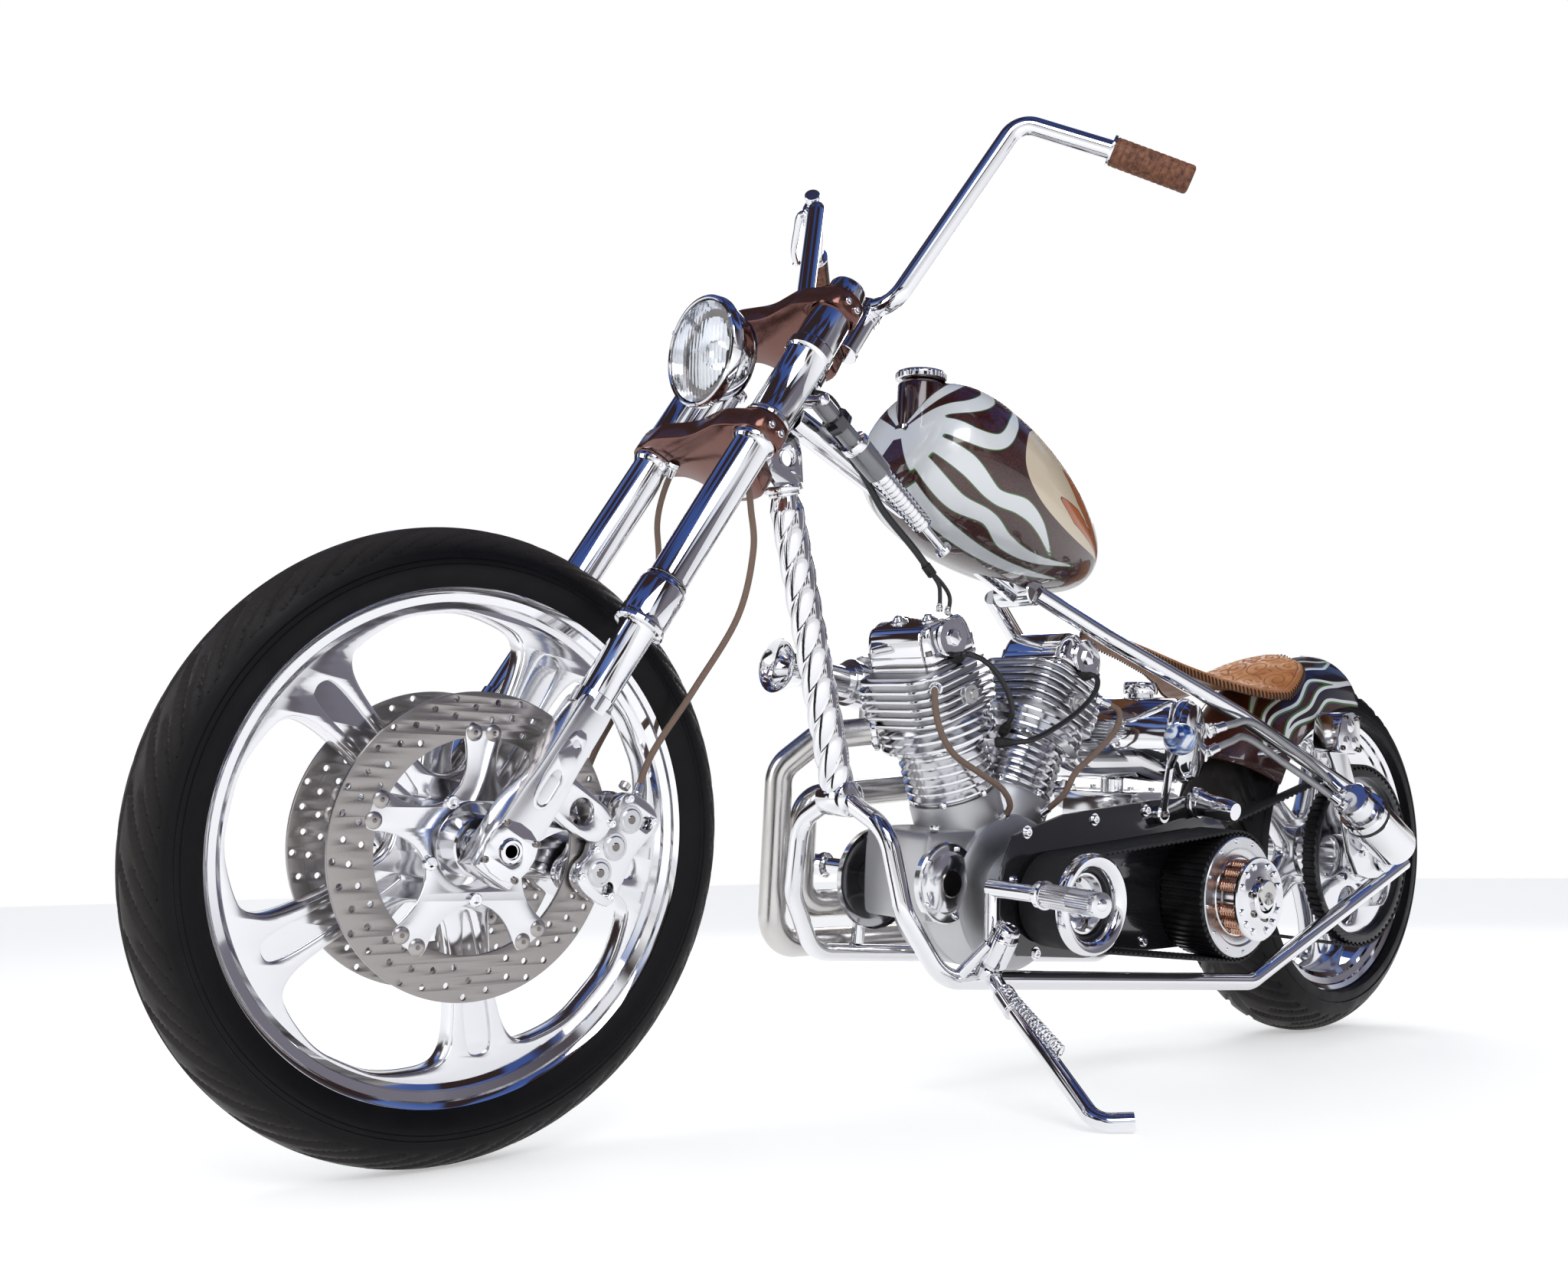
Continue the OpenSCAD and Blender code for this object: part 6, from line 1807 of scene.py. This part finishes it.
drop = 18 * V ** 2 * half / 112
round_edge = 1 - np.sqrt(np.clip(1 - np.clip((np.abs(V) * half - (half - 5)) / 5, 0, 1) ** 2, 0, 1))
Z = fine[:, 2][:, None] - drop - 5.0 * round_edge

print("seat outline:", LONG, "rows of", WIDE)

# %% Scrolls to be carved
def spiral(cx, cy, r, turns, start, hand, count=70):
    t = np.linspace(0, 1, count)
    a = math.radians(start) + hand * 2 * np.pi * turns * t
    rr = r * (1 - 0.86 * t)
    return np.c_[cx + rr * np.cos(a), cy + rr * np.sin(a)]
scrolls = []
for n in range(9):
    centre_s = 95 + n * 52
    width = np.interp(centre_s, s, fine[:, 1])
    if width < 38:
        scrolls += [spiral(centre_s, (1 if n % 2 else -1) * width * 0.22, width * 0.62, 1.3, n * 50, 1
                if n % 2 else -1)]
        continue
    for lane in range(1 if width < 70 else 2):
        off = width * (0.30 if width < 70 else (0.22, 0.66)[lane])
        size = width * (0.27 if width < 70 else (0.25, 0.21)[lane])
        for side in (-1, 1):
            scrolls.append(spiral(centre_s + lane * 22, side * off, size, 1.4,
                    (n * 70 + lane * 120) % 360 * side, side * (1 if (n + lane) % 2 else -1)))
            scrolls.append(np.array(smooth_run([(centre_s + lane * 22 + size, side * off),
                    (centre_s + size + 20 + lane * 10, side * (off + size * 0.5)), (centre_s + 44,
                    side * (off + size * 1.0))], 12)))
print("scrolls:", len(scrolls))

# %% Distance to the nearest scroll, and the depth it gives
lines = np.vstack([np.c_[p[:-1], p[1:]] for p in (np.asarray(q) for q in scrolls)])
flat = np.c_[S.ravel(), Y.ravel()]
near = np.full(len(flat), 1e9)
for ax, ay, bx, by in lines:
    close = (np.abs(flat[:, 0] - (ax + bx) / 2) < 14) & (np.abs(flat[:, 1] - (ay + by) / 2) < 14)
    p = flat[close]
    ex, ey = bx - ax, by - ay
    t = np.clip(((p[:, 0] - ax) * ex + (p[:, 1] - ay) * ey) / max(1e-9, ex * ex + ey * ey), 0, 1)
    near[close] = np.minimum(near[close], np.hypot(p[:, 0] - ax - t * ex, p[:, 1] - ay - t * ey))
near = near.reshape(S.shape)
border = np.abs((half - np.abs(Y)) - 13)
carved = np.maximum(np.clip(1 - near / 1.5, 0, 1), np.clip(1 - border / 1.3, 0, 1))
raised = np.clip((near - 1.4) / 3.0, 0, 1) * np.clip((9 - near) / 5, 0, 1) * (half - np.abs(Y) > 15)
stipple = (np.sin(S * 2.3) * np.sin(Y * 2.3) > 0.2) * (near > 8) * (half - np.abs(Y) > 16)
end_ease = np.minimum(1, np.minimum(s - s[0], s[-1] - s)[:, None] / 6)
Z = Z - 2.0 * carved * end_ease + 0.9 * raised * end_ease - 0.5 * stipple * end_ease - 4 * (1 - end_ease)
thick = fine[:, 3][:, None]
under = fine[:, 2][:, None] - drop - thick * np.clip(0.15 + 0.85 * np.minimum(1, np.minimum(s - s[0],
        s[-1] - s)[:, None] / 5), 0, 1)
print("deepest cut", round(float((2.0 * carved).max()), 1), "mm")

# %% Skin of the seat pad
# the underside is smooth, so it keeps only a few of the grid's columns, closer near the edges
picked = np.round((np.sin(np.linspace(-np.pi / 2, np.pi / 2, 15)) + 1) / 2 * (WIDE - 1)).astype(int)
grid_top = np.stack((X, Y, Z), 2)
grid_low = np.stack((X, Y, np.minimum(under + 5.0 * round_edge * 0.6, Z - 0.6)), 2)[:, picked]
FEW = len(picked)
top_at = lambda i, k: i * WIDE + k % WIDE
low_at = lambda i, k: LONG * WIDE + i * FEW + k % FEW
faces = [(top_at(i, k), top_at(i, k + 1), top_at(i + 1, k + 1), top_at(i + 1, k))
         for i in range(LONG - 1) for k in range(WIDE - 1)]
faces += [(low_at(i, k), low_at(i + 1, k), low_at(i + 1, k + 1), low_at(i, k + 1))
          for i in range(LONG - 1) for k in range(FEW - 1)]
for i in range(LONG - 1):
    faces.append((top_at(i, 0), top_at(i + 1, 0), low_at(i + 1, 0), low_at(i, 0)))
    faces.append((top_at(i, -1), low_at(i, -1), low_at(i + 1, -1), top_at(i + 1, -1)))
for i in (0, LONG - 1):
    faces.append([top_at(i, k) for k in range(WIDE)] + [low_at(i, k) for k in range(FEW)][::-1])

print("seat skin:", len(faces), "faces")

# %% [markdown]
# ## Tan leather
# Veg-tanned leather is uneven: a slow noise mixes two tans, a fine cell pattern
# gives pores, and a stored mask blends in a dark colour: dye in the carved cuts
# and stipples, and a flat darkening over the outer edge and the whole underside.

# %% Tan leather
tan = finish("tooled tan leather", (0.42, 0.20, 0.08), 0.42, 0, 2.0, 0.2, 0, Specular_IOR_Level=0.45)
tree = tan.node_tree
place = node(tree, "TexCoord")
depth = node(tree, "Attribute", attribute_name="carved")
blotch = node(tree, "TexNoise", [("Vector", place.outputs["Object"])], Scale=22.0, Detail=6.0)
hide = node(tree, "ValToRGB", [("Fac", blotch.outputs["Fac"])])
hide.color_ramp.elements[0].color, hide.color_ramp.elements[1].color = (0.42, 0.145, 0.040, 1), (0.64, 0.29,
        0.105, 1)
hide.color_ramp.elements[0].position, hide.color_ramp.elements[1].position = 0.34, 0.70
dyed = tree.nodes.new("ShaderNodeMix")
dyed.data_type = "RGBA"
dyed.inputs["B"].default_value = (0.12, 0.045, 0.02, 1)
pores = node(tree, "TexVoronoi", [("Vector", place.outputs["Object"])], Scale=1100.0)
relief = node(tree, "Bump", [("Height", pores.outputs["Distance"])], Strength=0.18, Distance=0.0003)
wire(tree, (depth.outputs["Fac"], dyed.inputs["Factor"]), (hide.outputs[0], dyed.inputs["A"]),
     (dyed.outputs["Result"], main_shader(tree).inputs["Base Color"]), (relief.outputs[0],
        main_shader(tree).inputs["Normal"]))

print("tan leather ready")

# %% Put the seat together as a padded piece
seat = Piece("seat_pad_tooled", "frame", BIKE, "seat_leather")
seat.add((np.vstack((grid_top.reshape(-1, 3), grid_low.reshape(-1, 3))), faces), tan)
seat_made = seat.make(replaces=["seat"], sharp=70, merge=False)
# the mask is the carving depth and the stipples, plus 0.35 over the outer 9 mm of the top and 0.4 over the
# whole underside, which come out darker
stored(seat_made, "carved", np.r_[np.clip(carved * 0.85 + stipple * 0.35 + 0.35 * (half - np.abs(Y) < 9), 0,
        1).ravel(), np.full(LONG * FEW, 0.4)])
print("seat:", len(seat_made.data.polygons), "faces")

# %% Lace round the edge
edge_line = [(X[i, 0], Y[i, 0], (Z[i, 0] + under[i, 0]) / 2) for i in range(0, LONG, 2)]
other = [(X[i, -1], Y[i, -1], (Z[i, -1] + under[i, -1]) / 2) for i in range(0, LONG, 2)][::-1]
edge = np.array(edge_line + other)
far_edge = np.r_[0, np.cumsum(np.linalg.norm(np.diff(edge, axis=0), axis=1))]
lace = Piece("seat_lace", "frame", BIKE, "seat_leather")
for at in np.arange(4, far_edge[-1], 7.5):
    p = np.array([np.interp(at, far_edge, edge[:, k]) for k in range(3)])
    q = np.array([np.interp(min(at + 3, far_edge[-1]), far_edge, edge[:, k]) for k in range(3)])
    t = q - p
    if np.linalg.norm(t) < 1e-6:
        continue
    t /= np.linalg.norm(t)
    out = np.cross(t, (0, 0, 1.0))
    out /= np.linalg.norm(out)
    if out @ (p - (p[0], 0, p[2])) < 0 and abs(t[0]) > 0.5:
        out = -out
    arc = [p + out * (1.5 - 7.5 * abs(math.sin(a / 2)) if abs(a) > 1 else 1.8 - abs(a) * 1.2) + np.array((0,
            0, 1.0)) * math.sin(a) * 8.2 + t * a * 1.4 for a in (1.45, 1.15, 0.7, 0.25, -0.25, -0.7)]
    lace.add(tube(smooth_run(arc, 2), 1.5, 7), dark_lace)
lace_made = lace.make(sharp=60)
print("lace loops round", round(far_edge[-1]), "mm of edge")

# %% [markdown]
# ## Strut, levers and pegs
# A chromed and grey damper strut lies between the steering head and the frame.
# The shifter's knob is a swirl of blue and white resin, made by stirring a noise
# texture. The foot pegs are knurled, so that a boot holds.

# %% Strut between head and backbone
strut = Piece("neck_strut_damper", "frame", BIKE, "chrome")
A, B = Vector((1250, 50, 922)), Vector((1004, 50, 750))
grey_gloss = finish("grey glossy sleeve", (0.20, 0.20, 0.215), 0.14, 0.4, 1.0, 0.06, 0, Coat_Weight=0.6,
                    Coat_Roughness=0.05)
strut.add(turned([(0.01, 1), (11, 1), (13, 3), (13, 80), (0.01, 80)], 56), grey_gloss, along(A, B))
strut.add(turned([(13, 79), (19, 80), (20, 82), (20, 90), (19, 92), (13, 93)], 56), chrome, along(A, B))
strut.add(turned([(17, 92), (18, 94), (18, 141), (16, 143), (12, 143.5)], 56), grey_gloss, along(A, B))
ribs = [(14, 143)]
for k in range(12):
    ribs += [(14.9, 145 + k * 8.3), (14.9, 149.6 + k * 8.3), (12.8, 150.6 + k * 8.3),
             (12.8, 152.4 + k * 8.3)]
strut.add(turned(ribs + [(14.6, 245), (12, 246), (5.8, 246.6)], 56), chrome, along(A, B))
strut.add(turned([(5.9, 244), (5.9, 291), (11, 292), (12, 293.2), (12, 298.6), (11, 300), (0.01, 300)], 40),
          chrome, along(A, B))
strut.add(turned([(13.2, 34), (19, 35), (20, 37), (20, 51), (19, 53), (13.2, 54)], 8, closed=True),
          black_enamel, along(A, B))
strut.add(stepped(A + Vector((-6, -1, -4)), (1262, 27, 920), [(0, 9), (28, 9)], 32), chrome)
strut.add(bolt(9, 6, "dome"), chrome, along((1248, 62, 919), (1248, 70, 919)))
strut.make(replaces=["neck_strut"], sharp=34)
print("strut:", round((B - A).length), "mm between its ends")

# %% Swirled resin
swirl = finish("swirled resin", (0.5, 0.6, 0.8), 0.08, 0, 1.0, 0.03, 0, Coat_Weight=1.0, Coat_Roughness=0.02)
tree = swirl.node_tree
place = node(tree, "TexCoord")
stirred = node(tree, "TexNoise", [("Vector", place.outputs["Object"])], Scale=26.0, Detail=3.0,
               Distortion=3.2)
shades = node(tree, "ValToRGB", [("Fac", stirred.outputs["Fac"])])
shades.color_ramp.elements[0].color, shades.color_ramp.elements[0].position = (0.015, 0.03, 0.14, 1), 0.38
shades.color_ramp.elements[1].color, shades.color_ramp.elements[1].position = (0.82, 0.86, 0.92, 1), 0.58
shades.color_ramp.elements.new(0.48).color = (0.10, 0.20, 0.50, 1)
wire(tree, (shades.outputs[0], main_shader(tree).inputs["Base Color"]))
print("resin ready")

# %% Shift lever and knob
shifter = Piece("shift_lever_and_knob", "frame", BIKE, "chrome")
shifter.add(turned([(0.01, 130.4), (14, 130.4), (14, 140), (12, 142), (0.01, 142)], 48), chrome,
            shift(610, 0, 392))
shifter.add(bolt(7, 4, "hexagon"), dark_chrome, shift(610, 141.8, 392))
shifter.add(tube(arc_run([(610, 138, 396), (640, 172, 468), (702, 232, 502)], 20, 12), 6, 24), chrome)
shifter.add(turned([(0.01, -23)] + [(23 * math.cos(a), 23 * math.sin(a)) for a in np.linspace(-1.5, 1.5,
        30)] + [(0.01, 23)], 64), swirl, shift(705, 234, 504))
shifter.add(turned([(6, -27), (9, -26), (9.6, -22), (8, -19), (6, -19)], 32, closed=True), chrome,
            along((705, 234, 504), (742, 270, 524)))
shifter.make(replaces=["shift_lever"], sharp=36)

print("shifter ready")

# %% Knurled foot pegs
def knurled(a, b, r, length):
    """A peg with crossed knurling between two plain bands."""
    piece_rings, steps = [], 64
    angles = 2 * np.pi * np.arange(steps) / steps
    ys = np.r_[0, 0.8, 12, np.arange(13, length - 10, 1.3), length - 9, length - 4, length - 1, length]
    for y in ys:
        if y <= 0 or y >= length:
            ring = np.full(steps, r * 0.86)
        elif 13 <= y <= length - 10:
            ring = r - 0.9 + 0.9 * (np.sin(angles * 16 + y * 1.2) * np.sin(angles * 16 - y * 1.2) > -0.25)
        else:
            ring = np.full(steps, r)
        piece_rings.append(np.c_[ring * np.cos(angles), np.full(steps, y), ring * np.sin(angles)])
    return skin(piece_rings), along(a, b)

pegs = Piece("foot_pegs_knurled", "frame", BIKE, "chrome")
for side in (-1, 1):
    pegs.add(stepped((972, side * 133, 184), (970, side * 128, 298), [(0, 10), (114, 10)], 36), chrome)
    pegs.add(stepped((970, side * 124, 291), (968, side * 214, 291), [(0, 12), (84, 12), (86, 14), (90, 14)],
                     40), chrome)
    part, where = knurled((968, side * 213, 291), (991, side * 330, 291), 16, 119)
    pegs.add(part, polished, where)
    pegs.add(turned([(16.2, 0), (19, 1), (19, 8), (16.2, 9)], 48, closed=True), chrome, where)
    pegs.add(bolt(8, 3, "dome"), chrome, where @ shift(0, 118.6, 0))
pegs.make(replaces=["foot_pegs"], sharp=30)
print("foot pegs ready")

# %% Passenger pegs
rear_pegs = Piece("passenger_pegs_coned", "frame", BIKE, "chrome")
for side in (-1, 1):
    if side > 0:
        rear_pegs.add(turned([(0.01, 130.4), (23, 130.4), (24, 131.4), (24, 136.6), (22, 138), (0.01, 138)],
                64), chrome, shift(517, 0, 411))
    else:
        rear_pegs.add(turned([(0.01, -80.4), (11, -80.4), (11, -130), (24, -130.4), (24, -137),
                (0.01, -138)], 56), chrome, shift(517, 0, 411))
    rear_pegs.add(turned([(0.01, 0), (21, 0), (20.2, 8), (19.2, 9), (17.4, 34), (18.4, 35), (16.4, 58),
            (13, 67.6), (0.01, 67.8)], 56), chrome, along((517, side * 137, 411), (519, side * 204, 401)))
rear_pegs.make(replaces=["passenger_pegs"], sharp=36)
print("passenger pegs ready")

# %% [markdown]
# ## Rear caliper
# The rear caliper sits on a plate that hangs from the axle. Both are cut from
# plate, and round piston caps are turned separately and let into the block.

# %% Rear caliper
rear_brake = Piece("rear_caliper_block", "frame", BIKE, "polished_alloy")
rear_brake.add(cut([(6, 362), (40, 362), (138, 500), (138, 530), (84, 530), (80, 500)], 126.4, 136,
                   [circle(8, 60, 440, 32), circle(6, 38, 400, 28)], 1.6), polished)
rear_brake.add(cut(eased([(80, 506), (86, 500), (142, 500), (148, 508), (148, 540), (140, 568), (118, 572),
        (92, 572), (80, 560)], 2), 108, 160, [], 4.5), polished)
for x, z in ((100, 520), (128, 520), (114, 548)):
    rear_brake.add(turned([(0.01, 160.6), (9.4, 160.6), (11, 159.6), (11.4, 158)], 36), chrome, shift(x, 0.4,
            z))
for x, z in ((88, 508), (140, 510), (92, 562), (132, 562)):
    rear_brake.add(bolt(4.4, 4), dark_chrome, shift(x, 160, z))
rear_brake.add(turned([(0.01, 124), (10, 124), (10, 138), (8, 140), (0.01, 140)], 36), chrome, shift(22, 0,
        380))
rear_brake.make(replaces=["rear_caliper"], sharp=34)
print("rear caliper ready")

# %% [markdown]
# ## Side stand
# The stand pivots in its socket on a pin with two collars. It is one bent tube,
# here with a plain round end for its flattened foot, and a coil spring pulls it home.

# %% Side stand
stand = Piece("side_stand_leg", "stand", BIKE, "chrome")
root = PIVOT + FOLD * 2
leg_line = [tuple(root), tuple(root + Vector((10, 34, -24))), (1055, 379, 49), (1025, 411, 54)]
stand.add(tube(arc_run(leg_line, 30, 12), 11, 32), chrome)
stand.add(turned([(0.01, -6), (12, -6), (13, -5), (13, 65), (12, 66), (0.01, 66)], 48), chrome, along(PIVOT,
        PIVOT + FOLD))
for low_y, high_y in ((-8, 8), (63, 70)):
    stand.add(turned([(13.1, low_y), (16, low_y), (17, low_y + 1), (17, high_y - 1), (16, high_y),
                      (13.1, high_y)], 48, closed=True), chrome, along(PIVOT, PIVOT + FOLD))
stand.add(bolt(10, 5, "hexagon"), chrome, along(PIVOT + FOLD * 65, PIVOT + FOLD * 70))
stand.add(stepped(root + Vector((9, 32, -22)), root + Vector((16, 62, -42)), [(0, 14), (4, 15), (33, 15),
        (36, 14)], 48), polished)
spring_at, spring_to = root + Vector((14, 40, -16)), root + Vector((30, 150, -74))
stand.add(coil(6.2, 1.5, 20, (spring_to - spring_at).length, 12), chrome, along(spring_at, spring_to))
stand.make(replaces=["side_stand"], sharp=40)
print("side stand ready")

# %% [markdown]
# ## Sizes, and the end
# The model must fill the same box as the machine it stands for, so the box of
# the finished scene is measured and how far it grew past the imported model's
# box is printed. Every piece is already tied to its body.

# %% Measure the finished box and print how much it grew
seen_box = [list(corner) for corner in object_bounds()]
print("grown by", [[round((seen_box[i][k] - cad_box[i][k]) * 1000, 1) for k in range(3)] for i in range(2)],
      "mm")
